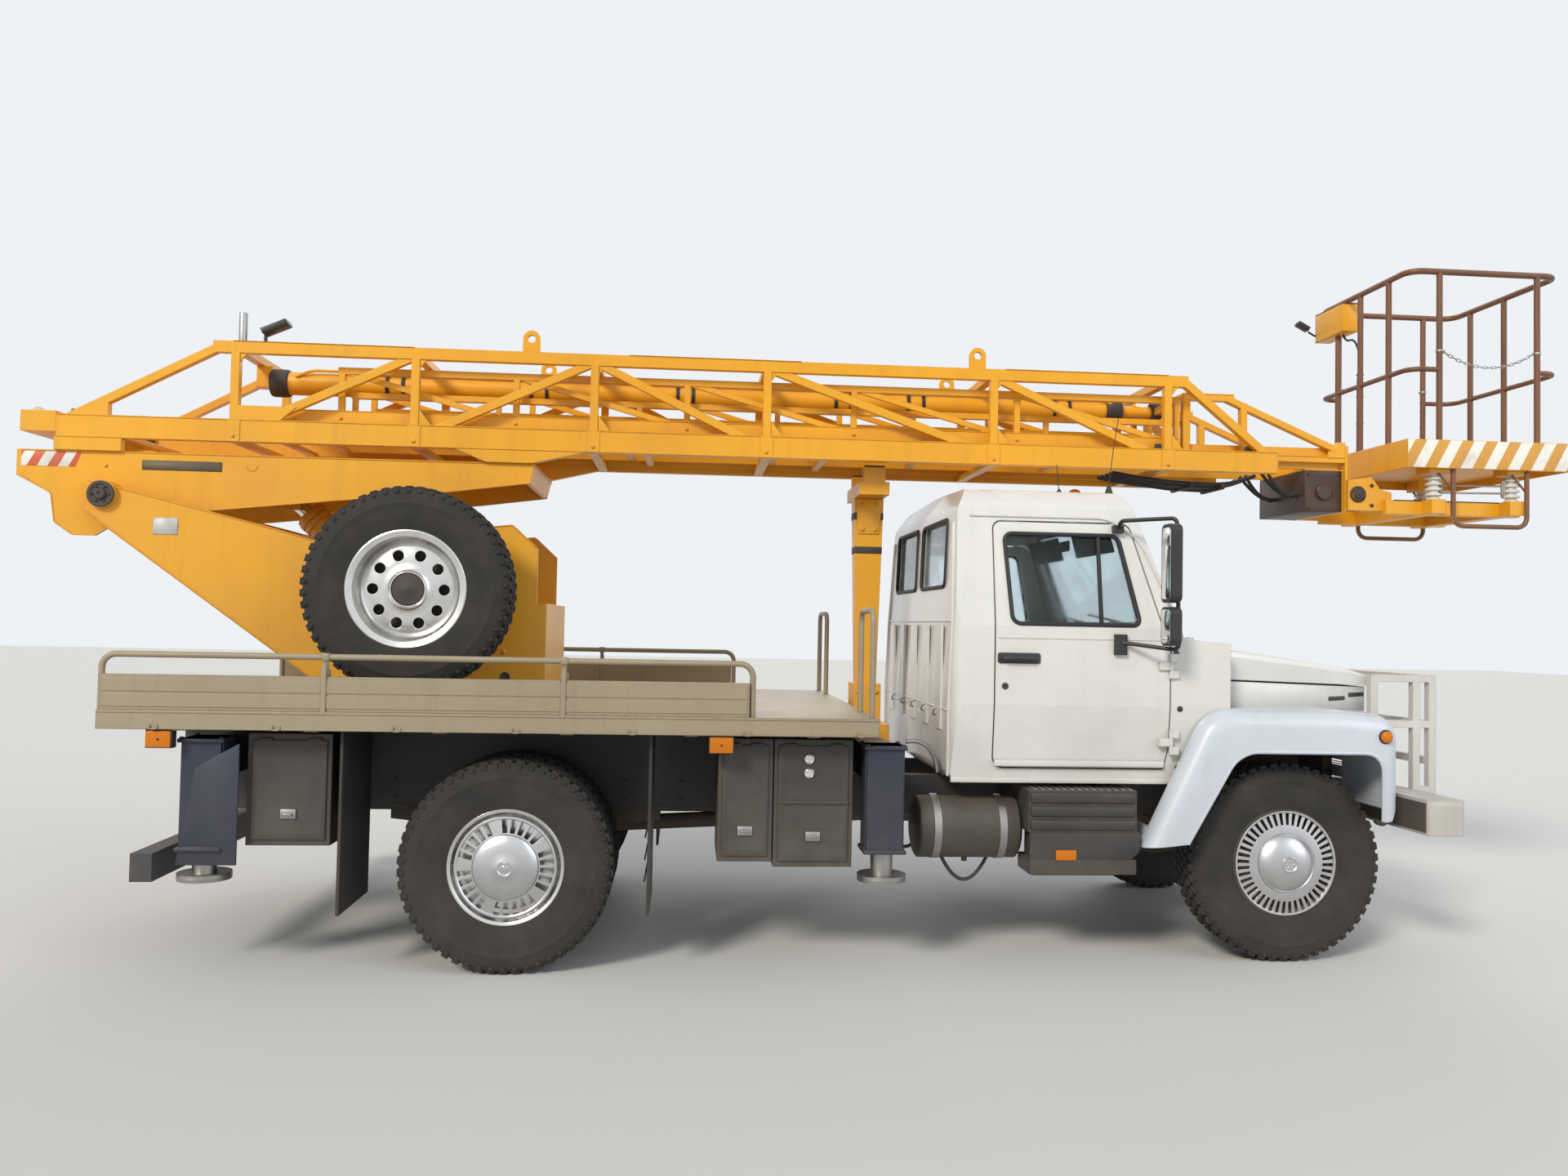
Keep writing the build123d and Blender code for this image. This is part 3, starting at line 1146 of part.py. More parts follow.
# Basket platform: tray, insulator-borne subframe, brackets on the tip pin and two step hoops
skirt_wall = 14
rail_front = platform_front_x - 50
lug_in = head_half + free_gap
lug_out = lug_in + 22
beam_low = basket_pin_z - 108
beam_high = beam_low + 78
hoop_low_z = beam_low - 67
tread_margin = 60
tread_plate = 4
insulator_spots = [(front_axle_x + 1105, 400), (front_axle_x + 1555, 400)]
with BuildPart() as basket_platform:
    block(platform_rear_x, platform_front_x, -platform_half, platform_half, platform_bottom_z,
          platform_skirt_z)
    block(platform_rear_x + skirt_wall, platform_front_x - skirt_wall, -platform_half + skirt_wall,
          platform_half - skirt_wall, platform_floor_z, platform_skirt_z + 10, mode=Mode.SUBTRACT)
    block(platform_rear_x + skirt_wall, platform_front_x - skirt_wall, -platform_half + skirt_wall,
          platform_half - skirt_wall, platform_bottom_z - 10, platform_floor_z - 20, mode=Mode.SUBTRACT)
    block(platform_rear_x + tread_margin, rail_front - tread_margin / 2, -platform_half + tread_margin,
          platform_half - tread_margin, platform_floor_z - 5, platform_floor_z + tread_plate)
    for spot_x, spot_y in insulator_spots:
        for s in sides.values():
            block(spot_x - 60, spot_x + 60, s * (spot_y - 60), s * (spot_y + 60), platform_bottom_z - 20,
                  platform_floor_z - 10)
    for s in sides.values():
        hoop_y = s * 460
        bent_tube([(front_axle_x + 1180, hoop_y, platform_floor_z - 15),
                   (front_axle_x + 1180, hoop_y, hoop_low_z),
                   (front_axle_x + 1604, hoop_y, hoop_low_z), (front_axle_x + 1604, hoop_y,
                                                               platform_floor_z - 15)],
                  12, 55)
save("basket_platform", basket_platform)

with BuildPart() as basket_frame:
    for s in sides.values():
        side_plate([(tip_x - 15, basket_pin_z - 90), (tip_x - 15, basket_pin_z + 80),
                    (tip_x + 120, basket_pin_z + 100),
                    (tip_x + 170, basket_pin_z + 30), (tip_x + 235, basket_pin_z + 15),
                    (tip_x + 235, basket_pin_z - 90)], s * lug_in, s * lug_out)
        rod((basket_pin_x, s * (lug_in - 1), basket_pin_z), (basket_pin_x, s * (lug_out + 1), basket_pin_z),
            pin_bolt + fit_gap, mode=Mode.SUBTRACT)
        block(tip_x + 180, front_axle_x + 1640, s * lug_in, s * (lug_in + 60), beam_low, beam_high)
    for spot_x, spot_y in insulator_spots:
        block(spot_x - 40, spot_x + 40, -spot_y - 50, spot_y + 50, beam_low, beam_high)
save("basket_frame", basket_frame)

# Insulators between the subframe and the platform
insulator_core = 26
shed_radius = 44
with BuildPart() as insulators:
    for spot_x, spot_y in insulator_spots:
        for s in sides.values():
            low = beam_high
            high = platform_bottom_z - 20
            rod((spot_x, s * spot_y, low), (spot_x, s * spot_y, high), insulator_core)
            for index in range(4):
                shed_z = low + 22 + index * 32
                rod((spot_x, s * spot_y, shed_z), (spot_x, s * spot_y, shed_z + 14), shed_radius)
save("insulators", insulators)

# Basket rails: the top loop, the middle rails beside the two entrances, the posts and the control box
post_inset = skirt_wall + basket_tube + 1 + fit_gap
rail_rear = platform_rear_x + post_inset
rail_half = platform_half - post_inset
entrances = {"left": (front_axle_x + 1050, front_axle_x + 1600),
             "right": (front_axle_x + 1100, front_axle_x + 1665)}
end_posts = [(rail_rear, -260), (rail_rear, 260), (rail_front, -20), (rail_front, 280)]
with BuildPart() as basket_rails:
    for side, s in sides.items():
        for post_x in entrances[side]:
            rod((post_x, s * rail_half, platform_floor_z), (post_x, s * rail_half, basket_rail_z),
                basket_tube)
        bent_tube([(rail_front, 0, basket_rail_z), (rail_front, s * rail_half, basket_rail_z),
                   (rail_rear, s * rail_half, basket_rail_z), (rail_rear, 0, basket_rail_z)],
                  basket_tube + 1, basket_bend)
    for post_x, post_y in end_posts:
        rod((post_x, post_y, platform_floor_z), (post_x, post_y, basket_rail_z), basket_tube)
    for index, end_x in enumerate((rail_rear, rail_front)):
        bent_tube([(entrances["right"][index], -rail_half, basket_mid_z), (end_x, -rail_half, basket_mid_z),
                   (end_x, rail_half, basket_mid_z), (entrances["left"][index], rail_half, basket_mid_z)],
                  basket_tube - 2, basket_bend)
    block(rail_rear - 35, rail_rear + 60, 150, rail_half, basket_rail_z - 185, basket_rail_z - 10)
save("basket_rails", basket_rails)

lift_top = radians(75)
arm_x = cylinder_head_x - pin_x
arm_z = cylinder_head_z - pin_z
top_x = pin_x + arm_x * cos(lift_top) - arm_z * sin(lift_top)
top_z = pin_z + arm_x * sin(lift_top) + arm_z * cos(lift_top)
rest_angle = degrees(atan2(cylinder_head_z - cylinder_foot_z, cylinder_head_x - cylinder_foot_x))
top_angle = degrees(atan2(top_z - cylinder_foot_z, top_x - cylinder_foot_x))
stroke = hypot(top_x - cylinder_foot_x, top_z - cylinder_foot_z) - head_run
print(f"lift cylinder turns {top_angle - rest_angle:.3f} degrees and grows {stroke:.2f} mm over the lift")
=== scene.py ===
import json
import math

import bpy
from mathutils import Matrix, Vector


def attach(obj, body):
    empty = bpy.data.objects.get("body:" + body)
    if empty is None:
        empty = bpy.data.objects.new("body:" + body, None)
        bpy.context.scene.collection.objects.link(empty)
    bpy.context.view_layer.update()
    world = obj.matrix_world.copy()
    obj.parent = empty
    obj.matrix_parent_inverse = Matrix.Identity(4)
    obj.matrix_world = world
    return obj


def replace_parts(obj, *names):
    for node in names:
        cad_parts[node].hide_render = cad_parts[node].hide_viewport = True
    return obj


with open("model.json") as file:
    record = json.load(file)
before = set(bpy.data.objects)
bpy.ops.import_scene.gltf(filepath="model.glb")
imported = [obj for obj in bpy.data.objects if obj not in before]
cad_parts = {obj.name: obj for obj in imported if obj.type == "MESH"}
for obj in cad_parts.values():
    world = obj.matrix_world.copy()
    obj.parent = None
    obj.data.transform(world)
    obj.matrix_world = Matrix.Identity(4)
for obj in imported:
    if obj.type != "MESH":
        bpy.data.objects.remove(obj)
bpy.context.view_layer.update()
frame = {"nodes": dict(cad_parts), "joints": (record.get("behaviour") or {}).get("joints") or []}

# Driving places, in metres, taken from the frame
FRONT_AXLE_X = next(joint["pos_m"][0] for joint in frame["joints"] if joint["name"] == "steer_left")
REAR_AXLE_X = next(joint["pos_m"][0] for joint in frame["joints"] if joint["name"] == "roll_rear_left")
WHEEL_Z = next(joint["pos_m"][2] for joint in frame["joints"] if joint["name"] == "roll_rear_left")
TYRE_RADIUS = 0.487
SIDES = {"left": 1, "right": -1}

# Places that several pieces share: X from the front axle, and heights
REAR_SPRING_X = -3.77
FRONT_OUTRIGGER_X = -2.035
REAR_OUTRIGGER_X = -5.110
REST_POST_X = -1.975
SLEW_X = -4.28
LIFT_PIN_X = -5.885
LIFT_PIN_Z = 2.200
TELESCOPE_Z = 2.872


def forward(x):
    """X of a place measured from the front axle."""
    return FRONT_AXLE_X + x


def at(x, y, z):
    """Place with its X measured from the front axle."""
    return FRONT_AXLE_X + x, y, z


# Camera at the photograph's viewing angle
CAMERA_PLACE = at(-2.964, -6.576, 1.613)
CAMERA_YAW = 0.0800
CAMERA_PITCH = 0.0315
CAMERA_ROLL = 0.0193
CAMERA_LENS = 27.13


def add_camera():
    look = Vector((math.sin(CAMERA_YAW) * math.cos(CAMERA_PITCH),
                math.cos(CAMERA_YAW) * math.cos(CAMERA_PITCH), math.sin(CAMERA_PITCH)))
    level_right = Vector((math.cos(CAMERA_YAW), -math.sin(CAMERA_YAW), 0))
    level_up = level_right.cross(look)
    right = math.cos(CAMERA_ROLL) * level_right + math.sin(CAMERA_ROLL) * level_up
    up = -math.sin(CAMERA_ROLL) * level_right + math.cos(CAMERA_ROLL) * level_up
    turn = Matrix((right, up, -look)).transposed().to_4x4()
    data = bpy.data.cameras.new("photo_camera")
    data.lens = CAMERA_LENS
    data.sensor_width = 36
    camera = bpy.data.objects.new("photo_camera", data)
    camera.matrix_world = Matrix.Translation(CAMERA_PLACE) @ turn
    bpy.context.scene.collection.objects.link(camera)
    bpy.context.scene.camera = camera


add_camera()

# Modelling helpers


def only(*pieces):
    """Leave edit mode and select just these pieces, the first one active."""
    if bpy.context.object and bpy.context.object.mode != "OBJECT":
        bpy.ops.object.mode_set(mode="OBJECT")
    bpy.ops.object.select_all(action="DESELECT")
    for piece in pieces:
        piece.select_set(True)
    if pieces:
        bpy.context.view_layer.objects.active = pieces[0]


def seat(piece):
    """Put a piece's place into its mesh, so that its object stands unturned at the origin."""
    only(piece)
    bpy.ops.object.transform_apply(location=True, rotation=True, scale=True)
    return piece


def cuboid(low, high, round_edge=0.0, segments=2):
    """Box between two corners, its edges rounded."""
    only()
    low, high = Vector(low), Vector(high)
    bpy.ops.mesh.primitive_cube_add(size=1, location=(low + high) / 2, scale=[abs(v) for v in (high - low)])
    piece = seat(bpy.context.object)
    if round_edge:
        bevel(piece, round_edge, segments)
    return piece


def bevel(piece, width, segments=2, limit=35):
    """Round a piece's edges with an applied bevel."""
    only(piece)
    edges = piece.modifiers.new("round", "BEVEL")
    edges.width = width
    edges.segments = segments
    edges.limit_method = "ANGLE"
    edges.angle_limit = math.radians(limit)
    bpy.ops.object.modifier_apply(modifier=edges.name)
    return piece


def cylinder(start, end, radius, sides=24, round_edge=0.0, end_radius=None):
    """Round bar or cone between two points."""
    only()
    start, end = Vector(start), Vector(end)
    turn = (end - start).to_track_quat("Z", "Y").to_euler()
    middle = (start + end) / 2
    depth = (end - start).length
    if end_radius is None:
        bpy.ops.mesh.primitive_cylinder_add(vertices=sides, radius=radius, depth=depth, location=middle,
                    rotation=turn)
    else:
        bpy.ops.mesh.primitive_cone_add(vertices=sides, radius1=radius, radius2=end_radius, depth=depth,
                    location=middle, rotation=turn)
    piece = seat(bpy.context.object)
    if round_edge:
        bevel(piece, round_edge, 2, 50)
    return piece


def pick(piece, kind, test):
    """Go into edit mode with just those parts selected whose middle and direction pass a test."""
    only(piece)
    bpy.ops.object.mode_set(mode="EDIT")
    bpy.ops.mesh.select_mode(type=kind)
    bpy.ops.mesh.select_all(action="DESELECT")
    bpy.ops.object.mode_set(mode="OBJECT")
    data = piece.data
    if kind == "FACE":
        for face in data.polygons:
            face.select = test(face.center, face.normal)
    elif kind == "EDGE":
        for edge in data.edges:
            start, end = (data.vertices[index].co for index in edge.vertices)
            edge.select = test((start + end) / 2, end - start)
    else:
        for vertex in data.vertices:
            vertex.select = test(vertex.co, vertex.normal)
    bpy.ops.object.mode_set(mode="EDIT")


def leave(piece):
    """Back to object mode."""
    bpy.ops.object.mode_set(mode="OBJECT")
    return piece


def chain(points, closed=False):
    """Line of edges drawn out from its first point."""
    only()
    bpy.ops.mesh.primitive_plane_add(size=0.01, location=points[0])
    piece = seat(bpy.context.object)
    bpy.ops.object.mode_set(mode="EDIT")
    bpy.ops.mesh.select_mode(type="VERT")
    bpy.ops.mesh.select_all(action="SELECT")
    bpy.ops.mesh.merge(type="CENTER")
    for here, there in zip(points, points[1:]):
        bpy.ops.mesh.extrude_vertices_move(TRANSFORM_OT_translate={"value": Vector(there) - Vector(here)})
    leave(piece)
    if closed:
        ends = (Vector(points[0]), Vector(points[-1]))
        pick(piece, "VERT", lambda place, normal: min((place - end).length for end in ends) < 0.00001)
        bpy.ops.mesh.edge_face_add()
        leave(piece)
    return piece


def bend_corners(piece, spots, radius, segments=5):
    """Round the corners of a drawn line that stand at these spots."""
    spots = [Vector(spot) for spot in spots]
    pick(piece, "VERT", lambda place, normal: min((place - spot).length for spot in spots) < 0.0001)
    bpy.ops.mesh.bevel(offset=radius, segments=segments, affect="VERTICES")
    return leave(piece)


def tube(points, radius, bend=0.0, sides=8, closed=False):
    """Round tube along points, its corners bent."""
    piece = chain(points, closed)
    if bend:
        bend_corners(piece, points if closed else points[1:-1], bend)
    only(piece)
    bpy.ops.object.convert(target="CURVE")
    piece = bpy.context.object
    piece.data.dimensions = "3D"
    piece.data.bevel_depth = radius
    piece.data.bevel_resolution = max(0, sides // 2 - 2)
    piece.data.use_fill_caps = True
    bpy.ops.object.convert(target="MESH")
    return bpy.context.object


def plate(outline, thickness, round_edge=0.0, corner=0.0, spots=None):
    """Flat plate: a drawn outline, its corners rounded, filled and drawn out by the vector thickness."""
    piece = chain(outline, closed=True)
    if corner:
        bend_corners(piece, spots or outline, corner)
    only(piece)
    bpy.ops.object.mode_set(mode="EDIT")
    bpy.ops.mesh.select_mode(type="VERT")
    bpy.ops.mesh.select_all(action="SELECT")
    bpy.ops.mesh.edge_face_add()
    bpy.ops.mesh.extrude_region_move(TRANSFORM_OT_translate={"value": Vector(thickness)})
    bpy.ops.mesh.select_all(action="SELECT")
    bpy.ops.mesh.normals_make_consistent(inside=False)
    leave(piece)
    if round_edge:
        bevel(piece, round_edge, 2)
    return piece


def spun(profile, centre=(0, 0, 0), axis=(0, 1, 0), steps=64):
    """Turned piece, drawn out ring by ring; profile points are (distance along the axis, radius)."""
    only()
    along, radius = profile[0]
    bpy.ops.mesh.primitive_circle_add(vertices=steps, radius=max(radius, 0.0002), location=(0, 0, along))
    piece = seat(bpy.context.object)
    bpy.ops.object.mode_set(mode="EDIT")
    bpy.ops.mesh.select_mode(type="VERT")
    bpy.ops.mesh.select_all(action="SELECT")
    for (here, radius), (there, next_radius) in zip(profile, profile[1:]):
        grow = max(next_radius, 0.0002) / max(radius, 0.0002)
        bpy.ops.mesh.extrude_region_move(TRANSFORM_OT_translate={"value": (0, 0, there - here)})
        bpy.ops.transform.resize(value=(grow, grow, 1), center_override=(0, 0, there))
    bpy.ops.mesh.select_all(action="SELECT")
    bpy.ops.mesh.remove_doubles(threshold=0.0003)
    bpy.ops.mesh.normals_make_consistent(inside=False)
    leave(piece)
    turn = Vector((0, 0, 1)).rotation_difference(Vector(axis)).to_matrix().to_4x4()
    piece.data.transform(Matrix.Translation(centre) @ turn)
    return piece


def thicken(piece, thickness, offset=-1):
    """Give a sheet its thickness."""
    only(piece)
    sheet = piece.modifiers.new("sheet", "SOLIDIFY")
    sheet.thickness = thickness
    sheet.offset = offset
    bpy.ops.object.modifier_apply(modifier=sheet.name)
    return piece


def cut(piece, cutter):
    """Cut one closed piece out of another."""
    only(piece)
    knife = piece.modifiers.new("cut", "BOOLEAN")
    knife.operation = "DIFFERENCE"
    knife.solver = "EXACT"
    knife.object = cutter
    bpy.ops.object.modifier_apply(modifier=knife.name)
    bpy.data.objects.remove(cutter)
    return piece


def joined(pieces):
    """Several pieces as one."""
    only(*pieces)
    if len(pieces) > 1:
        bpy.ops.object.join()
    return bpy.context.object


def copy_of(piece, change):
    """Copy with its own mesh, moved by a matrix."""
    twin = piece.copy()
    twin.data = piece.data.copy()
    twin.data.transform(change)
    if change.determinant() < 0:
        twin.data.flip_normals()
    bpy.context.scene.collection.objects.link(twin)
    return twin


def moved(piece, offset):
    return copy_of(piece, Matrix.Translation(offset))


def other_side(piece):
    """Mirror image of a piece on the truck's other side."""
    return copy_of(piece, Matrix.Scale(-1, 4, (0, 1, 0)))


def around(piece, centre, axis, count):
    """A piece repeated round an axis, joined into one."""
    centre = Vector(centre)
    copies = [piece]
    for index in range(1, count):
        turn = Matrix.Rotation(2 * math.pi * index / count, 4, axis)
        copies.append(copy_of(piece, Matrix.Translation(centre) @ turn @ Matrix.Translation(-centre)))
    return joined(copies)


def done(piece, name, paint, body, smooth=35):
    """Name a finished piece, smooth it, paint it and let it ride on a body."""
    piece.name = name
    piece.data.name = name
    only(piece)
    bpy.ops.object.transform_apply(location=True, rotation=True, scale=True)
    bpy.ops.object.shade_smooth_by_angle(angle=math.radians(smooth))
    piece.data.materials.clear()
    piece.data.materials.append(paint)
    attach(piece, body)
    return piece


# The basket's control cable

CABLE_ROUTE = [(0.953, 0.060, 2.606), (0.953, 0.060, 3.180), (0.952, 0.064, 3.290), (0.950, 0.120, 3.385),
            (0.946, 0.205, 3.385), (0.944, 0.225, 3.434)]


def lay_cable():
    """Cable that climbs the rear post from the floor and bends over into the control box."""
    data = bpy.data.curves.new("control_cable", "CURVE")
    data.dimensions = "3D"
    data.bevel_depth = 0.006
    data.bevel_resolution = 3
    data.resolution_u = 10
    line = data.splines.new("NURBS")
    line.points.add(len(CABLE_ROUTE) - 1)
    for point, (x, y, z) in zip(line.points, CABLE_ROUTE):
        point.co = (forward(x), y, z, 1)
    line.order_u = 3
    line.use_endpoint_u = True
    piece = bpy.data.objects.new("control_cable", data)
    bpy.context.scene.collection.objects.link(piece)
    return piece


control_cable = lay_cable()


def finish_cable():
    """Paint the cable, wrap its straight run and tie it to the post."""
    sleeve = spun([(0.0, 0.0085), (0.004, 0.0150), (0.020, 0.0185), (0.500, 0.0180), (0.560, 0.0140),
                (0.600, 0.0085)], at(0.953, 0.060, 2.612), (0, 0, 1), 20)
    wraps = [sleeve]
    for z in (2.700, 2.860, 3.020, 3.150):
        wraps.append(spun([(0.0, 0.0186), (0.001, 0.0200), (0.009, 0.0200), (0.010, 0.0186)],
                    at(0.953, 0.060, z), (0, 0, 1), 20))
        wraps.append(cuboid(at(0.932, 0.030, z), at(0.953, 0.062, z + 0.009), 0.002, 1))
    sleeve = done(joined(wraps), "control_cable_sleeve", RUBBER, "basket")
    control_cable.data.materials.append(RUBBER)
    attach(control_cable, "basket")


# Shader groups that several finishes share


def group_of(name, inputs, outputs):
    """Empty node group with named sockets; inputs map a name to (type, default)."""
    group = bpy.data.node_groups.new(name, "ShaderNodeTree")
    for socket, (kind, default) in inputs.items():
        made = group.interface.new_socket(socket, in_out="INPUT", socket_type="NodeSocket" + kind)
        made.default_value = default
    for socket, kind in outputs.items():
        group.interface.new_socket(socket, in_out="OUTPUT", socket_type="NodeSocket" + kind)
    return group, group.nodes.new("NodeGroupInput"), group.nodes.new("NodeGroupOutput")


def add_node(tree, kind, values=None, links=None, **settings):
    """Node with its settings, plain values and incoming links given by socket name or number."""
    node = tree.nodes.new("ShaderNode" + kind)
    for key, value in settings.items():
        setattr(node, key, value)
    for socket, value in (values or {}).items():
        node.inputs[socket].default_value = value
    for socket, source in (links or {}).items():
        tree.links.new(source, node.inputs[socket])
    return node


def clouds_group():
    """Soft blotches between 0 and 1 over the surface."""
    group, given, result = group_of("clouds",
                {"Scale": ("Float", 3.0), "Low": ("Float", 0.4), "High": ("Float", 0.6),
                "Detail": ("Float", 5.0)}, {"Mask": "Float"})
    place = add_node(group, "TexCoord")
    noise = add_node(group, "TexNoise", {"Roughness": 0.62},
                {"Vector": place.outputs["Object"], "Scale": given.outputs["Scale"],
                "Detail": given.outputs["Detail"]})
    ramp = add_node(group, "MapRange", None,
                {"Value": noise.outputs["Fac"], "From Min": given.outputs["Low"],
                "From Max": given.outputs["High"]}, clamp=True)
    group.links.new(ramp.outputs["Result"], result.inputs["Mask"])
    return group


def edges_group():
    """Rounded normal for hard edges, and a mask of where those edges are."""
    group, given, result = group_of("edges", {"Width": ("Float", 0.006)},
                {"Mask": "Float", "Normal": "Vector"})
    rounded = add_node(group, "Bevel", None, {"Radius": given.outputs["Width"]}, samples=4)
    plain = add_node(group, "NewGeometry")
    match = add_node(group, "VectorMath", None, {0: rounded.outputs["Normal"], 1: plain.outputs["Normal"]},
                operation="DOT_PRODUCT")
    mask = add_node(group, "MapRange", {"From Min": 0.995, "From Max": 0.86},
                {"Value": match.outputs["Value"]}, clamp=True)
    group.links.new(mask.outputs["Result"], result.inputs["Mask"])
    group.links.new(rounded.outputs["Normal"], result.inputs["Normal"])
    return group


def dust_group():
    """Road dust: thick low down, thin higher up, more on faces that look up."""
    group, given, result = group_of(
        "dust", {"Floor": ("Float", 0.2), "Top": ("Float", 1.4), "Amount": ("Float", 0.6)},
        {"Mask": "Float"})
    place = add_node(group, "TexCoord")
    split = add_node(group, "SeparateXYZ", None, {"Vector": place.outputs["Object"]})
    height = add_node(group, "MapRange", {"To Min": 1.0, "To Max": 0.12},
                {"Value": split.outputs["Z"], "From Min": given.outputs["Floor"],
                "From Max": given.outputs["Top"]}, clamp=True)
    noise = add_node(group, "TexNoise", {"Scale": 2.3, "Detail": 7.0, "Roughness": 0.68},
                {"Vector": place.outputs["Object"]})
    cloud = add_node(group, "MapRange", {"From Min": 0.30, "From Max": 0.68, "To Min": 0.25},
                {"Value": noise.outputs["Fac"]}, clamp=True)
    face = add_node(group, "NewGeometry")
    face_split = add_node(group, "SeparateXYZ", None, {"Vector": face.outputs["Normal"]})
    upward = add_node(group, "MapRange", {"From Min": 0.3, "From Max": 1.0, "To Min": 1.0, "To Max": 1.7},
                {"Value": face_split.outputs["Z"]}, clamp=True)
    both = add_node(group, "Math", None, {0: height.outputs["Result"], 1: cloud.outputs["Result"]},
                operation="MULTIPLY")
    lifted = add_node(group, "Math", None, {0: both.outputs["Value"], 1: upward.outputs["Result"]},
                operation="MULTIPLY")
    final = add_node(group, "Math", None, {0: lifted.outputs["Value"], 1: given.outputs["Amount"]},
                operation="MULTIPLY", use_clamp=True)
    group.links.new(final.outputs["Value"], result.inputs["Mask"])
    return group


def streaks_group():
    """Upright run marks, as rain leaves them on a painted side."""
    group, given, result = group_of("streaks", {"Scale": ("Float", 14.0), "Amount": ("Float", 0.5)},
                {"Mask": "Float"})
    place = add_node(group, "TexCoord")
    squeeze = add_node(group, "Mapping", {"Scale": (1.0, 1.0, 0.07)}, {"Vector": place.outputs["Object"]})
    noise = add_node(group, "TexNoise", {"Detail": 5.0, "Roughness": 0.6},
                {"Vector": squeeze.outputs["Vector"], "Scale": given.outputs["Scale"]})
    mask = add_node(group, "MapRange", {"From Min": 0.52, "From Max": 0.78}, {"Value": noise.outputs["Fac"]},
                clamp=True)
    scaled = add_node(group, "Math", None, {0: mask.outputs["Result"], 1: given.outputs["Amount"]},
                operation="MULTIPLY", use_clamp=True)
    group.links.new(scaled.outputs["Value"], result.inputs["Mask"])
    return group


CLOUDS = clouds_group()
EDGES = edges_group()
DUST = dust_group()
STREAKS = streaks_group()


def new_material(name):
    """Material with just a Principled BSDF and its output."""
    material = bpy.data.materials.new(name)
    material.use_nodes = True
    return material, material.node_tree, material.node_tree.nodes["Principled BSDF"]


def use(tree, group, values=None):
    """A shared group placed in a material with its own values."""
    node = tree.nodes.new("ShaderNodeGroup")
    node.node_tree = group
    for socket, value in (values or {}).items():
        node.inputs[socket].default_value = value
    return node


def blend_colour(tree, factor, under, over):
    """Mix of two colours by a mask; each is a socket or a plain colour."""
    mix = tree.nodes.new("ShaderNodeMix")
    mix.data_type = "RGBA"
    tree.links.new(factor, mix.inputs["Factor"])
    for socket, colour in (("A", under), ("B", over)):
        target = next(s for s in mix.inputs if s.name == socket and s.type == "RGBA")
        if isinstance(colour, bpy.types.NodeSocket):
            tree.links.new(colour, target)
        else:
            target.default_value = (*colour, 1)
    return next(s for s in mix.outputs if s.type == "RGBA")


def ease(tree, factor, low, high):
    """A mask stretched between two values, for roughness."""
    return add_node(tree, "MapRange", {"To Min": low, "To Max": high}, {"Value": factor}).outputs["Result"]


DUST_COLOUR = (0.30, 0.25, 0.19)
RUST_COLOUR = (0.13, 0.045, 0.015)


def paint_finish(name, colour, shade, rough=0.35, metal=0.0, chip=0.35, chip_colour=RUST_COLOUR, dust=0.5,
            dust_floor=0.3, dust_top=1.6, blotch=1.1, streak=0.35, coat=0.0, edge=0.006):
    """Old paint: two close shades, run marks, chipped edges and road dust."""
    material, tree, shader = new_material(name)
    tone = use(tree, CLOUDS, {"Scale": blotch, "Low": 0.30, "High": 0.72})
    base = blend_colour(tree, tone.outputs["Mask"], colour, shade)
    runs = use(tree, STREAKS, {"Scale": 11.0, "Amount": streak})
    base = blend_colour(tree, runs.outputs["Mask"], base, tuple(0.62 * c for c in shade))
    edges = use(tree, EDGES, {"Width": edge})
    wear = use(tree, CLOUDS, {"Scale": 26.0, "Low": 0.50, "High": 0.58, "Detail": 8.0})
    chips = add_node(tree, "Math", None, {0: edges.outputs["Mask"], 1: wear.outputs["Mask"]},
                operation="MULTIPLY")
    chips = add_node(tree, "Math", {1: chip}, {0: chips.outputs["Value"]}, operation="MULTIPLY",
                use_clamp=True)
    base = blend_colour(tree, chips.outputs["Value"], base, chip_colour)
    dirt = use(tree, DUST, {"Floor": dust_floor, "Top": dust_top, "Amount": dust})
    base = blend_colour(tree, dirt.outputs["Mask"], base, DUST_COLOUR)
    tree.links.new(base, shader.inputs["Base Color"])
    tree.links.new(ease(tree, dirt.outputs["Mask"], rough, 0.85), shader.inputs["Roughness"])
    ripple = add_node(tree, "TexNoise", {"Scale": 38.0, "Detail": 4.0},
                {"Vector": add_node(tree, "TexCoord").outputs["Object"]})
    bump = add_node(tree, "Bump", {"Strength": 0.05, "Distance": 0.004},
                {"Height": ripple.outputs["Fac"], "Normal": edges.outputs["Normal"]})
    tree.links.new(bump.outputs["Normal"], shader.inputs["Normal"])
    shader.inputs["Metallic"].default_value = metal
    shader.inputs["Coat Weight"].default_value = coat
    shader.inputs["Coat Roughness"].default_value = 0.12
    return material


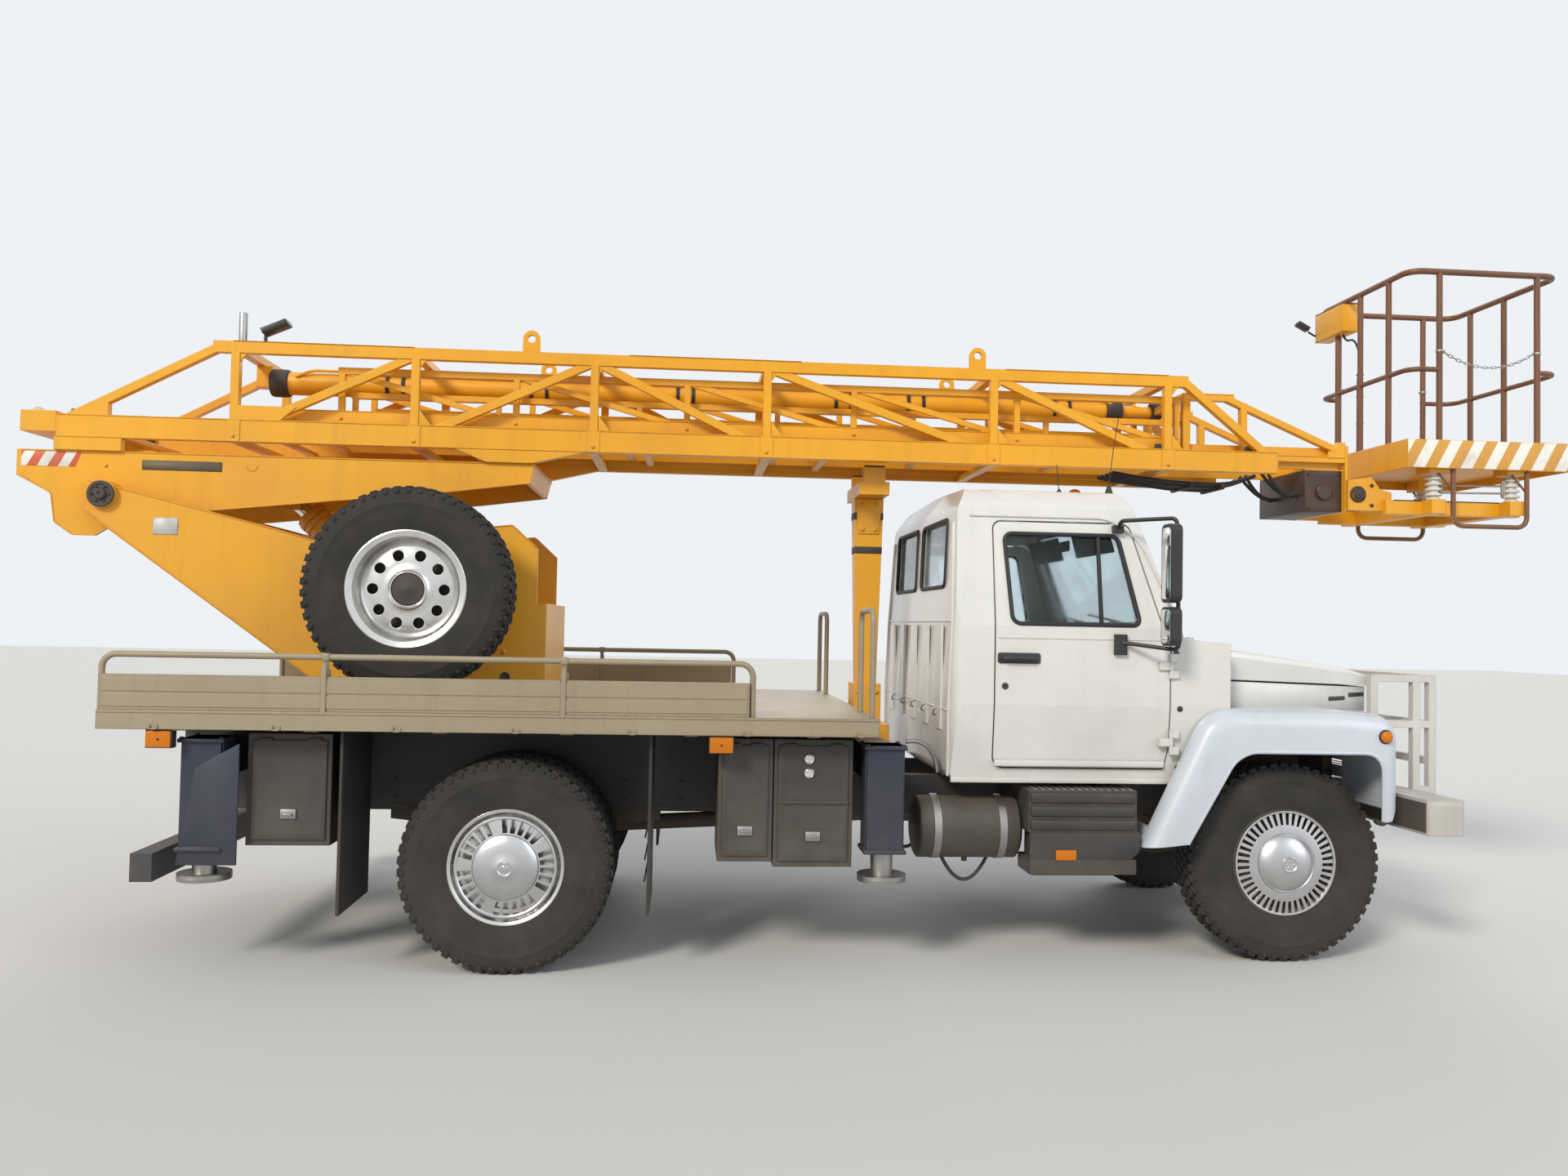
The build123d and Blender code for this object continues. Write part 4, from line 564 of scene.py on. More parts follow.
def metal_finish(name, colour, rough=0.3, smear=0.2, grain=90.0, dust=0.25):
    """Bare or plated metal with smears and fine brushing."""
    material, tree, shader = new_material(name)
    tone = use(tree, CLOUDS, {"Scale": 5.0, "Low": 0.35, "High": 0.7})
    base = blend_colour(tree, tone.outputs["Mask"], colour, tuple(0.72 * c for c in colour))
    dirt = use(tree, DUST, {"Floor": 0.1, "Top": 1.2, "Amount": dust})
    base = blend_colour(tree, dirt.outputs["Mask"], base, DUST_COLOUR)
    tree.links.new(base, shader.inputs["Base Color"])
    tree.links.new(ease(tree, tone.outputs["Mask"], rough, rough + smear), shader.inputs["Roughness"])
    edges = use(tree, EDGES, {"Width": 0.003})
    scratches = add_node(tree, "TexNoise", {"Scale": grain, "Detail": 3.0},
                {"Vector": add_node(tree, "TexCoord").outputs["Object"]})
    bump = add_node(tree, "Bump", {"Strength": 0.04, "Distance": 0.001},
                {"Height": scratches.outputs["Fac"], "Normal": edges.outputs["Normal"]})
    tree.links.new(bump.outputs["Normal"], shader.inputs["Normal"])
    shader.inputs["Metallic"].default_value = 1.0
    return material


def plastic_finish(name, colour, rough=0.55, grain=220.0, dust=0.16, strength=0.12):
    """Moulded plastic or rubber with a fine grain and dust."""
    material, tree, shader = new_material(name)
    dirt = use(tree, DUST, {"Floor": 0.2, "Top": 1.8, "Amount": dust})
    base = blend_colour(tree, dirt.outputs["Mask"], colour, DUST_COLOUR)
    tree.links.new(base, shader.inputs["Base Color"])
    tree.links.new(ease(tree, dirt.outputs["Mask"], rough, 0.9), shader.inputs["Roughness"])
    edges = use(tree, EDGES, {"Width": 0.004})
    noise = add_node(tree, "TexNoise", {"Scale": grain, "Detail": 3.0},
                {"Vector": add_node(tree, "TexCoord").outputs["Object"]})
    bump = add_node(tree, "Bump", {"Strength": strength, "Distance": 0.002},
                {"Height": noise.outputs["Fac"], "Normal": edges.outputs["Normal"]})
    tree.links.new(bump.outputs["Normal"], shader.inputs["Normal"])
    return material


def tyre_finish():
    """Worn black rubber with dust in its sidewall and tread; its base is darkened further as painted shade.
    """
    material, tree, shader = new_material("tyre_rubber")
    tone = use(tree, CLOUDS, {"Scale": 6.0, "Low": 0.3, "High": 0.75, "Detail": 7.0})
    # Rubber base darkened beyond its own black as painted shade.
    base = blend_colour(tree, tone.outputs["Mask"], (0.011, 0.0105, 0.010), (0.034, 0.029, 0.024))
    dirt = use(tree, DUST, {"Floor": 0.0, "Top": 0.9, "Amount": 0.16})
    base = blend_colour(tree, dirt.outputs["Mask"], base, (0.16, 0.13, 0.10))
    tree.links.new(base, shader.inputs["Base Color"])
    shader.inputs["Roughness"].default_value = 0.82
    noise = add_node(tree, "TexNoise", {"Scale": 120.0, "Detail": 5.0},
                {"Vector": add_node(tree, "TexCoord").outputs["Object"]})
    bump = add_node(tree, "Bump", {"Strength": 0.25, "Distance": 0.002}, {"Height": noise.outputs["Fac"]})
    tree.links.new(bump.outputs["Normal"], shader.inputs["Normal"])
    return material


def glass_finish(name, colour, rough=0.04, transmission=1.0, dust=0.25):
    """Window glass with a film of dust that is thicker in blotches."""
    material, tree, shader = new_material(name)
    film = use(tree, CLOUDS, {"Scale": 4.0, "Low": 0.42, "High": 0.9, "Detail": 6.0})
    tree.links.new(blend_colour(tree, film.outputs["Mask"], colour, tuple(0.8 * c for c in colour)),
                shader.inputs["Base Color"])
    tree.links.new(ease(tree, film.outputs["Mask"], rough, rough + dust), shader.inputs["Roughness"])
    shader.inputs["Transmission Weight"].default_value = transmission
    shader.inputs["IOR"].default_value = 1.25
    return material


def stripe_finish(name, first, second, pitch, lean, start=0.0, axis="X", rough=0.45):
    """Slanting warning stripes over worn paint; pitch and start are along X or Y, lean follows Z."""
    material, tree, shader = new_material(name)
    place = add_node(tree, "TexCoord")
    split = add_node(tree, "SeparateXYZ", None, {"Vector": place.outputs["Object"]})
    slant = add_node(tree, "Math", {1: lean}, {0: split.outputs["Z"]}, operation="MULTIPLY")
    along = add_node(tree, "Math", None, {0: split.outputs[axis], 1: slant.outputs["Value"]},
                operation="ADD")
    shifted = add_node(tree, "Math", {1: start}, {0: along.outputs["Value"]}, operation="SUBTRACT")
    phase = add_node(tree, "Math", {1: pitch}, {0: shifted.outputs["Value"]}, operation="DIVIDE")
    part = add_node(tree, "Math", None, {0: phase.outputs["Value"]}, operation="FRACT")
    band = add_node(tree, "MapRange", {"From Min": 0.49, "From Max": 0.51}, {"Value": part.outputs["Value"]},
                clamp=True)
    colour = blend_colour(tree, band.outputs["Result"], first, second)
    wear = use(tree, CLOUDS, {"Scale": 7.0, "Low": 0.48, "High": 0.78, "Detail": 8.0})
    colour = blend_colour(tree, ease(tree, wear.outputs["Mask"], 0.0, 0.45), colour, DUST_COLOUR)
    tree.links.new(colour, shader.inputs["Base Color"])
    tree.links.new(ease(tree, wear.outputs["Mask"], rough, 0.8), shader.inputs["Roughness"])
    return material


YELLOW = paint_finish("boom_yellow_paint", (0.84, 0.400, 0.006), (0.74, 0.325, 0.005), rough=0.36, dust=0.20,
            dust_floor=1.0, dust_top=3.2, streak=0.26)
CAB_WHITE = paint_finish("cab_white_paint", (0.74, 0.73, 0.69), (0.64, 0.63, 0.60), rough=0.22, chip=0.25,
            dust=0.42, dust_floor=0.7, dust_top=1.7, coat=0.5, blotch=0.7, streak=0.16)
# Fender paint: its blue tint is partly the fender's own colour and partly a painted reflection of the sky.
FENDER_WHITE = paint_finish("fender_blue_white_paint", (0.62, 0.67, 0.74), (0.54, 0.59, 0.66), rough=0.24,
            chip=0.25, dust=0.40, dust_floor=0.5, dust_top=1.4, coat=0.45, blotch=0.8, streak=0.16)
DECK_BEIGE = paint_finish("deck_beige_paint", (0.34, 0.28, 0.18), (0.27, 0.22, 0.14), rough=0.45, dust=0.30,
            dust_floor=0.9, dust_top=1.8, chip=0.5)
FRAME_DARK = paint_finish("frame_dark_paint", (0.022, 0.026, 0.036), (0.014, 0.016, 0.022), rough=0.5,
            dust=0.40, dust_floor=0.1, dust_top=1.4, chip=0.5)
# Near-black for boxes, steps and tank: their dark paint, darkened further as painted shade under the deck.
BOX_DARK_AND_SHADE = paint_finish("box_dark_paint", (0.030, 0.027, 0.025), (0.019, 0.017, 0.016), rough=0.46,
            dust=0.32, dust_floor=0.2, dust_top=1.4, chip=0.6)
BUMPER_WHITE = paint_finish("bumper_white_paint", (0.62, 0.61, 0.57), (0.50, 0.49, 0.46), rough=0.42,
            dust=0.55, dust_floor=0.3, dust_top=1.5, chip=0.7)
OUTRIGGER_NAVY = paint_finish("outrigger_navy_paint", (0.012, 0.020, 0.050), (0.008, 0.013, 0.032),
            rough=0.42, dust=0.20, dust_floor=0.1, dust_top=1.4, chip=0.5)
RAIL_BRONZE = paint_finish("basket_rail_paint", (0.22, 0.085, 0.032), (0.12, 0.050, 0.022), rough=0.42,
            dust=0.15,
            dust_floor=1.0, dust_top=3.0, chip=0.6, chip_colour=(0.30, 0.28, 0.26))
IRON = paint_finish("chassis_iron", (0.030, 0.027, 0.025), (0.050, 0.036, 0.026), rough=0.65, dust=0.50,
            dust_floor=0.1, dust_top=1.3, chip=0.5)
JACK_STEEL = metal_finish("jack_steel", (0.42, 0.41, 0.40), 0.32, 0.3)
CHROME = metal_finish("chrome", (0.86, 0.86, 0.87), 0.07, 0.10, dust=0.12)
ALLOY = metal_finish("polished_alloy", (0.78, 0.77, 0.75), 0.16, 0.22, dust=0.15)
CAP_SILVER = metal_finish("cap_silver", (0.66, 0.66, 0.67), 0.26, 0.2, dust=0.2)
RUBBER = plastic_finish("black_rubber", (0.012, 0.012, 0.013), 0.6)
BLACK_PLASTIC = plastic_finish("black_plastic", (0.018, 0.018, 0.020), 0.45)
TRIM_GREY = plastic_finish("cab_trim", (0.10, 0.095, 0.09), 0.6)
CERAMIC = plastic_finish("insulator_glaze", (0.70, 0.68, 0.62), 0.22, dust=0.12, strength=0.03)
TYRE_RUBBER = tyre_finish()
WINDOW = glass_finish("window_glass", (0.80, 0.88, 0.90))
AMBER = glass_finish("amber_lens", (0.90, 0.26, 0.02), 0.15, 0.35)
RED_LENS = glass_finish("red_lens", (0.60, 0.02, 0.01), 0.15, 0.35)
CLEAR_LENS = glass_finish("clear_lens", (0.86, 0.88, 0.90), 0.08, 0.75)

NODE_PAINT = {
    "chassis_frame": FRAME_DARK, "powertrain": IRON, "front_axle": IRON, "rear_axle": IRON,
    "front_bumper": BUMPER_WHITE, "cab_shell": CAB_WHITE, "cab_glass": WINDOW, "cab_interior": TRIM_GREY,
    "front_fenders": FENDER_WHITE, "grille": FENDER_WHITE, "lamps": AMBER, "deck": DECK_BEIGE,
    "deck_sides": DECK_BEIGE, "rest_post": YELLOW, "toolboxes": BOX_DARK_AND_SHADE,
    "cab_steps": BOX_DARK_AND_SHADE, "mudguards": RUBBER, "outrigger_frames": OUTRIGGER_NAVY,
    "slewing_base": IRON, "knuckle_left": IRON, "knuckle_right": IRON,
    "jack_front_left": JACK_STEEL, "jack_front_right": JACK_STEEL, "jack_rear_left": JACK_STEEL,
    "jack_rear_right": JACK_STEEL, "door_left": CAB_WHITE, "door_right": CAB_WHITE,
    "door_glass_left": WINDOW,
    "door_glass_right": WINDOW, "mirror_left": BLACK_PLASTIC, "mirror_right": BLACK_PLASTIC,
    "hood": CAB_WHITE,
    "turret": YELLOW, "spare_tyre": TYRE_RUBBER, "spare_rim": ALLOY, "lift_barrel": YELLOW,
    "lift_rod": CHROME,
    "boom_arm": YELLOW, "boom_outer": YELLOW, "outer_rungs": YELLOW,
    "middle_rungs": YELLOW, "inner_rungs": YELLOW, "lifting_eyes": YELLOW, "telescope_barrel": YELLOW,
    "boom_middle": YELLOW, "boom_inner": YELLOW, "basket_platform": YELLOW, "basket_frame": YELLOW,
    "insulators": CERAMIC, "basket_rails": RAIL_BRONZE,
    "tyre_front_left": TYRE_RUBBER, "tyre_front_right": TYRE_RUBBER, "tyres_rear_left": TYRE_RUBBER,
    "tyres_rear_right": TYRE_RUBBER, "rim_front_left": CAP_SILVER, "rim_front_right": CAP_SILVER,
    "rims_rear_left": CAP_SILVER, "rims_rear_right": CAP_SILVER,
}


def paint_nodes():
    """Give every CAD node its finish."""
    for name, node in frame["nodes"].items():
        for slot in node.material_slots:
            slot.material = NODE_PAINT[name]


paint_nodes()

# Wheels: tyres with lugs, rims, and vented covers with a dome

TREAD_PITCHES = 54
TREAD_ROWS = [
    # place across the tyre, width, lean in degrees, turn within the pitch
    (-0.080, 0.030, 0, 0.0), (-0.036, 0.034, 24, 0.5), (0.0, 0.026, -24, 0.0),
    (0.036, 0.034, 24, 0.5), (0.080, 0.030, 0, 0.0), ]


def make_tyre():
    """Tyre about the origin, turning about Y."""
    half = [(0.086, 0.2545), (0.097, 0.262), (0.104, 0.282), (0.111, 0.312), (0.1155, 0.340),
            (0.1165, 0.346),
            (0.1165, 0.352), (0.118, 0.376), (0.1175, 0.398), (0.1188, 0.402), (0.1188, 0.407),
            (0.1170, 0.411),
            (0.1140, 0.430), (0.1085, 0.450), (0.1010, 0.465), (0.0930, 0.4730), (0.0560, 0.4750),
            (0.0530, 0.4710), (0.0495, 0.4750), (0.0180, 0.4765)]
    profile = [(-along, radius) for along, radius in half] + half[::-1] + [(0.080, 0.250), (-0.080, 0.250)]
    parts = [spun(profile + profile[:1], steps=96)]
    pitch = 2 * math.pi / TREAD_PITCHES
    for place, width, lean, phase in TREAD_ROWS:
        lug = cuboid((-0.020, place - width / 2, 0.464), (0.020, place + width / 2, TYRE_RADIUS))
        pick(lug, "FACE", lambda middle, normal: normal.z > 0.9)
        bpy.ops.transform.resize(value=(0.86, 0.90, 1), center_override=(0, place, TYRE_RADIUS))
        leave(lug)
        bevel(lug, 0.0025, 1)
        lug.data.transform(Matrix.Translation((0, place, 0)) @ Matrix.Rotation(math.radians(lean), 4, "Z")
                    @ Matrix.Translation((0, -place, 0)))
        lug.data.transform(Matrix.Rotation(pitch * phase, 4, "Y"))
        parts.append(around(lug, (0, 0, 0), "Y", TREAD_PITCHES))
    for side in (-1, 1):
        nib = cuboid((-0.011, side * 0.1000, 0.452), (0.011, side * 0.1125, 0.474))
        pick(nib, "FACE", lambda middle, normal: normal.y * side > 0.9)
        bpy.ops.transform.resize(value=(0.8, 1, 0.6), center_override=(0, side * 0.1125, 0.452))
        leave(nib)
        bevel(nib, 0.002, 1)
        parts.append(around(nib, (0, 0, 0), "Y", TREAD_PITCHES))
    return joined(parts)


def make_barrel():
    """Rim with its flanges, drop centre and wheel disc; it turns about Y, its outside at plus."""
    barrel = spun([(-0.100, 0.263), (-0.097, 0.2655), (-0.092, 0.2640), (-0.090, 0.2545), (-0.060, 0.2520),
                (-0.045, 0.2380), (0.020, 0.2380), (0.040, 0.2520), (0.090, 0.2545), (0.092, 0.2640),
                (0.097, 0.2655), (0.100, 0.263), (0.098, 0.2560), (0.094, 0.2480), (0.045, 0.2440),
                (0.022, 0.2300), (-0.047, 0.2300), (-0.094, 0.2480), (-0.098, 0.2560), (-0.100, 0.263)],
                steps=96)
    disc = thicken(spun([(0.020, 0.231), (0.034, 0.222), (0.040, 0.190), (0.034, 0.150), (0.034, 0.0)],
                steps=64), 0.010)
    return joined([barrel, disc])


def vented(profile, slot_low, slot_high, pitches, skip=0, slot_share=2, pitch_steps=4, sheet=0.003):
    """Pressed cover with radial slots through it; every skip-th slot is left out."""
    steps = pitches * pitch_steps
    cover = spun(profile, steps=steps)

    def in_slot(middle, normal):
        radius = math.hypot(middle.x, middle.z)
        step = int((math.atan2(middle.z, middle.x) / (2 * math.pi) % 1) * steps + 0.001)
        if skip and (step // pitch_steps) % skip == 0:
            return False
        return slot_low < radius < slot_high and step % pitch_steps < slot_share

    pick(cover, "FACE", in_slot)
    bpy.ops.mesh.delete(type="FACE")
    leave(cover)
    return thicken(cover, sheet)


def make_front_cover():
    cover = vented([(0.094, 0.250), (0.104, 0.2585), (0.109, 0.2560), (0.108, 0.2470), (0.103, 0.2440),
                (0.105, 0.2200), (0.110, 0.1880), (0.113, 0.1700), (0.114, 0.1460), (0.110, 0.1430)],
                0.190, 0.243, 44, slot_share=2, pitch_steps=4)
    dome = spun([(0.108, 0.1440), (0.117, 0.1430), (0.119, 0.1395), (0.116, 0.1360), (0.126, 0.1250),
                (0.137, 0.1050),
                (0.146, 0.0780), (0.150, 0.0500), (0.151, 0.0400), (0.155, 0.0370), (0.1555, 0.0340),
                (0.152, 0.0300), (0.151, 0.0)], steps=72)
    nuts = [cylinder((math.cos(a) * 0.017, 0.150, math.sin(a) * 0.017),
                (math.cos(a) * 0.017, 0.1545, math.sin(a) * 0.017),
                0.004, 8, 0.001) for a in (index * math.pi / 3 for index in range(6))]
    return joined([cover, dome] + nuts)


def make_rear_cover():
    cover = vented([(0.090, 0.226), (0.098, 0.2330), (0.103, 0.2310), (0.104, 0.2230), (0.100, 0.2170),
                (0.103, 0.1900), (0.106, 0.1570), (0.107, 0.1500), (0.103, 0.1480)],
                0.1575, 0.2165, 30, skip=6, slot_share=5, pitch_steps=8)
    dome = spun([(0.102, 0.1480), (0.110, 0.1470), (0.117, 0.1350), (0.124, 0.1100), (0.129, 0.0800),
                (0.131, 0.0420), (0.134, 0.0360), (0.134, 0.0320), (0.131, 0.0280), (0.131, 0.0150),
                (0.136, 0.0130), (0.136, 0.0)], steps=72)
    return joined([cover, dome])


def make_spare_disc():
    """Bright disc with ten round holes; outside at plus Y."""
    disc = spun([(0.020, 0.232), (0.030, 0.2280), (0.040, 0.2150), (0.046, 0.2060), (0.048, 0.1300),
                (0.052, 0.1000),
                (0.060, 0.0880), (0.066, 0.0840), (0.066, 0.0790), (0.060, 0.0760), (0.040, 0.0740),
                (0.036, 0.1300),
                (0.034, 0.2020), (0.020, 0.2200), (0.010, 0.2300), (0.020, 0.232)], steps=80)
    drill = cylinder((0.166, 0.0, 0), (0.166, 0.10, 0), 0.026, 24)
    return cut(disc, around(drill, (0, 0, 0), "Y", 10))


def make_spare_cap():
    cap = spun([(0.035, 0.0755), (0.061, 0.0755), (0.064, 0.0720), (0.065, 0.0300), (0.068, 0.0240),
                (0.069, 0.0120), (0.072, 0.0090), (0.072, 0.0)], steps=48)
    return cap


def turned_out(side, place):
    """Matrix that stands a wheel piece at its place, its outside to this side."""
    turn = Matrix.Rotation(math.pi if side < 0 else 0, 4, "Z")
    return Matrix.Translation(place) @ turn


def build_wheels():
    tyre_model = make_tyre()
    barrel_model = make_barrel()
    front_cover = make_front_cover()
    rear_cover = make_rear_cover()
    for name, side in SIDES.items():
        hub = Vector((FRONT_AXLE_X, side * 0.815, WHEEL_Z))
        place = turned_out(side, hub)
        body = "wheel_front_" + name
        tyre = done(copy_of(tyre_model, place), "front_tyre_tread_" + name, TYRE_RUBBER, body)
        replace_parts(tyre, "tyre_front_" + name)
        rim = done(copy_of(barrel_model, place), "front_rim_" + name, IRON, body)
        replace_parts(rim, "rim_front_" + name)
        done(copy_of(front_cover, place), "front_wheel_cover_" + name, CAP_SILVER, body)
        drum = spun([(-0.110, 0.06), (-0.110, 0.150), (-0.105, 0.176), (-0.015, 0.180), (0.020, 0.100),
                    (0.020, 0.0)], steps=48)
        done(copy_of(drum, place), "front_drum_" + name, IRON, body)
        bpy.data.objects.remove(drum)
        body = "wheels_rear_" + name
        outer = turned_out(side, Vector((REAR_AXLE_X, side * 0.980, WHEEL_Z)))
        inner = turned_out(-side, Vector((REAR_AXLE_X, side * 0.710, WHEEL_Z)))
        tyre = done(joined([copy_of(tyre_model, outer), copy_of(tyre_model, inner)]), "twin_tyres_" + name,
                    TYRE_RUBBER, body)
        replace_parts(tyre, "tyres_rear_" + name)
        rim = done(joined([copy_of(barrel_model, outer), copy_of(barrel_model, inner)]), "twin_rims_" + name,
                   ALLOY, body)
        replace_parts(rim, "rims_rear_" + name)
        done(copy_of(rear_cover, outer), "rear_wheel_cover_" + name, CAP_SILVER, body)
        drum = spun([(-0.365, 0.070), (-0.365, 0.170), (-0.355, 0.200), (-0.150, 0.204), (-0.140, 0.120),
                    (0.020, 0.118), (0.020, 0.0)], steps=48)
        done(copy_of(drum, outer), "rear_drum_" + name, IRON, body)
        bpy.data.objects.remove(drum)
    spare = turned_out(-1, at(-4.287, -0.820, 1.748))
    tyre = done(copy_of(tyre_model, spare), "spare_tyre_tread", TYRE_RUBBER, "turret_body")
    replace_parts(tyre, "spare_tyre")
    disc = make_spare_disc()
    rim_ring = spun([(-0.100, 0.263), (-0.097, 0.2655), (-0.090, 0.2545), (-0.045, 0.2400), (0.020, 0.2400),
                (0.090, 0.2545), (0.096, 0.2780), (0.104, 0.2800), (0.106, 0.2740), (0.098, 0.2480),
                (0.045, 0.2440),
                (0.022, 0.2300), (-0.047, 0.2320), (-0.094, 0.2480), (-0.100, 0.263)], steps=96)
    rim = done(copy_of(joined([disc, rim_ring]), spare), "spare_rim_disc", ALLOY, "turret_body")
    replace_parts(rim, "spare_rim")
    cap = make_spare_cap()
    done(copy_of(cap, spare), "spare_cap", IRON, "turret_body")
    # Dark plate behind the spare disc's holes: painted shade seen through them.
    shade = spun([(-0.020, 0.060), (-0.020, 0.205), (-0.026, 0.212), (-0.030, 0.205), (-0.030, 0.060),
                (-0.020, 0.060)], steps=48)
    done(copy_of(shade, spare), "spare_drum_plate", IRON, "turret_body")
    hanger = spun([(-0.096, 0.075), (0.034, 0.075)], steps=32)
    done(copy_of(thicken(hanger, 0.010), spare), "spare_hanger", YELLOW, "turret_body")
    for model in (tyre_model, barrel_model, front_cover, rear_cover, disc, cap, hanger, shade):
        bpy.data.objects.remove(model)


build_wheels()

# Cab


def wall_x(z):
    """X of the cab's rear wall at a height."""
    return forward(-1.695 + 0.035 * max(0.0, z - 1.25) / 0.965)


def screen_x(z):
    """X of the windscreen's outside at a height."""
    return forward(-0.545 - 0.24 * (z - 1.583) / 0.672)


def side_y(z):
    """Half width of the cab at a height above its belt."""
    return 0.97 - max(0.0, z - 1.632) * 0.1 / 0.603


def on_side(y, *spots):
    """Places on a side plate, given as X from the front axle and height."""
    return [at(x, y, z) for x, z in spots]


def both_sides(piece, name, paint, body, smooth=35):
    """Finish a left-hand piece and its mirror image; body may hold the word SIDE."""
    twin = other_side(piece)
    left = done(piece, name + "_left", paint, body.replace("SIDE", "left"), smooth)
    right = done(twin, name + "_right", paint, body.replace("SIDE", "right"), smooth)
    return left, right


def seal(points, radius=0.011, corner=0.040):
    """Rubber seal round a window, laid on the corners of its opening."""
    return tube(points, radius, corner, 8, closed=True)


def bolt(place, out, radius=0.012, rise=0.008):
    """Six-sided bolt head on a washer."""
    place, out = Vector(place), Vector(out).normalized()
    washer = cylinder(place - out * 0.002, place + out * 0.003, radius * 1.35, 16, 0.0008)
    head = cylinder(place + out * 0.002, place + out * rise, radius, 6, 0.0015)
    return joined([washer, head])


def build_windows():
    z0, z1 = 1.825, 2.165
    frames = [seal([(wall_x(z) - 0.001, y, z) for y, z in ((a, z0), (b, z0), (b, z1), (a, z1))])
              for a, b in ((0.07, 0.69), (-0.69, -0.07))]
    z0, z1 = 1.655, 2.190
    frames.append(seal([(screen_x(z) + 0.001, y, z)
                for y, z in ((-0.76, z0), (0.76, z0), (0.76, z1), (-0.76, z1))], 0.013, 0.045))
    done(joined(frames), "window_seals", RUBBER, "chassis")
    corners = [(-1.432, 2.085), (-0.860, 2.085), (-0.765, 1.644), (-1.400, 1.644)]
    frame_seal = seal([at(x, side_y(z) + 0.001, z) for x, z in corners])
    divider = plate([at(x, side_y(z) + 0.004, z) for x, z in
                ((-0.968, 1.646), (-0.950, 1.646), (-0.950, 2.083), (-0.968, 2.083))], (0, -0.018, 0), 0.003)
    both_sides(joined([frame_seal, divider]), "door_window_seal", RUBBER, "SIDE_door")


def build_door_fittings():
    base = plate([at(x, 0.968, z)
                for x, z in ((-1.474, 1.450), (-1.264, 1.450), (-1.264, 1.502), (-1.474, 1.502))],
                (0, 0.010, 0), 0.003, 0.012)
    grip = tube([at(-1.452, 0.974, 1.476), at(-1.448, 1.000, 1.476), at(-1.300, 1.002, 1.476),
                at(-1.290, 0.974, 1.476)], 0.010, 0.012, 10)
    lock = spun([(0.0, 0.016), (0.006, 0.016), (0.009, 0.013), (0.009, 0.006), (0.006, 0.004), (0.006, 0.0)],
                at(-1.436, 0.968, 1.341), (0, 1, 0), 24)
    both_sides(joined([base, grip, lock]), "door_handle", BLACK_PLASTIC, "SIDE_door")
    strip = plate([at(x, 0.946, z)
                for x, z in ((-1.482, 0.955), (-0.640, 0.955), (-0.640, 0.985), (-1.482, 0.985))],
                (0, 0.020, 0), 0.004)
    press = tube([at(-1.470, 0.968, 1.575), at(-0.660, 0.968, 1.575)], 0.006, 0, 8)
    both_sides(joined([strip, press]), "door_skirt_strip", CAB_WHITE, "SIDE_door")


def build_cab_trim():
    corner = tube([(wall_x(z) - 0.003, side_y(z) - 0.058, z) for z in (0.900, 1.250, 1.632, 2.140)], 0.009,
                0, 8)
    gutter = tube([at(-1.600, side_y(2.172) + 0.003, 2.172), at(-0.905, side_y(2.172) + 0.003, 2.172),
                at(-0.745, side_y(2.060) + 0.003, 2.060), at(-0.572, side_y(1.655) + 0.003, 1.655)],
                0.007, 0.05, 8)
    sill = plate([at(x, 0.926, z)
                for x, z in ((-1.690, 0.872), (-0.360, 0.872), (-0.360, 0.900), (-1.690, 0.900))],
                (0, 0.018, 0), 0.005)
    both_sides(joined([corner, gutter, sill]), "cab_side_trim", CAB_WHITE, "chassis")
    bead = tube([(wall_x(1.652) - 0.001, -0.900, 1.652), (wall_x(1.652) - 0.001, 0.900, 1.652)], 0.007, 0, 8)
    low_bead = tube([(wall_x(1.215) - 0.001, -0.900, 1.215), (wall_x(1.215) - 0.001, 0.900, 1.215)], 0.005,
                0, 8)
    crown = [tube([at(-1.50, y, 2.335 - 0.03 * abs(y) / 0.76), at(-0.95, y, 2.335 - 0.03 * abs(y) / 0.76)],
                0.009, 0, 8) for y in (-0.52, -0.26, 0.0, 0.26, 0.52)]
    done(joined([bead, low_bead] + crown), "cab_rear_beads", CAB_WHITE, "chassis")
    hooks = []
    for index in range(5):
        y = -0.66 + index * 0.30
        hooks.append(tube([(wall_x(1.20) - 0.001, y, 1.215), (wall_x(1.20) - 0.022, y, 1.205),
                    (wall_x(1.20) - 0.026, y + 0.018, 1.180), (wall_x(1.20) - 0.010, y + 0.030, 1.172)],
                    0.004, 0.008, 6))
    done(joined(hooks), "cab_rear_hooks", JACK_STEEL, "chassis")
    bolts = [bolt(at(x, s * 0.968, z), (0, s, 0), 0.011) for s in (1, -1)
             for x, z in ((-0.585, 1.513), (-0.565, 1.242), (-0.575, 0.957))]
    done(joined(bolts), "cowl_bolts", BLACK_PLASTIC, "chassis")


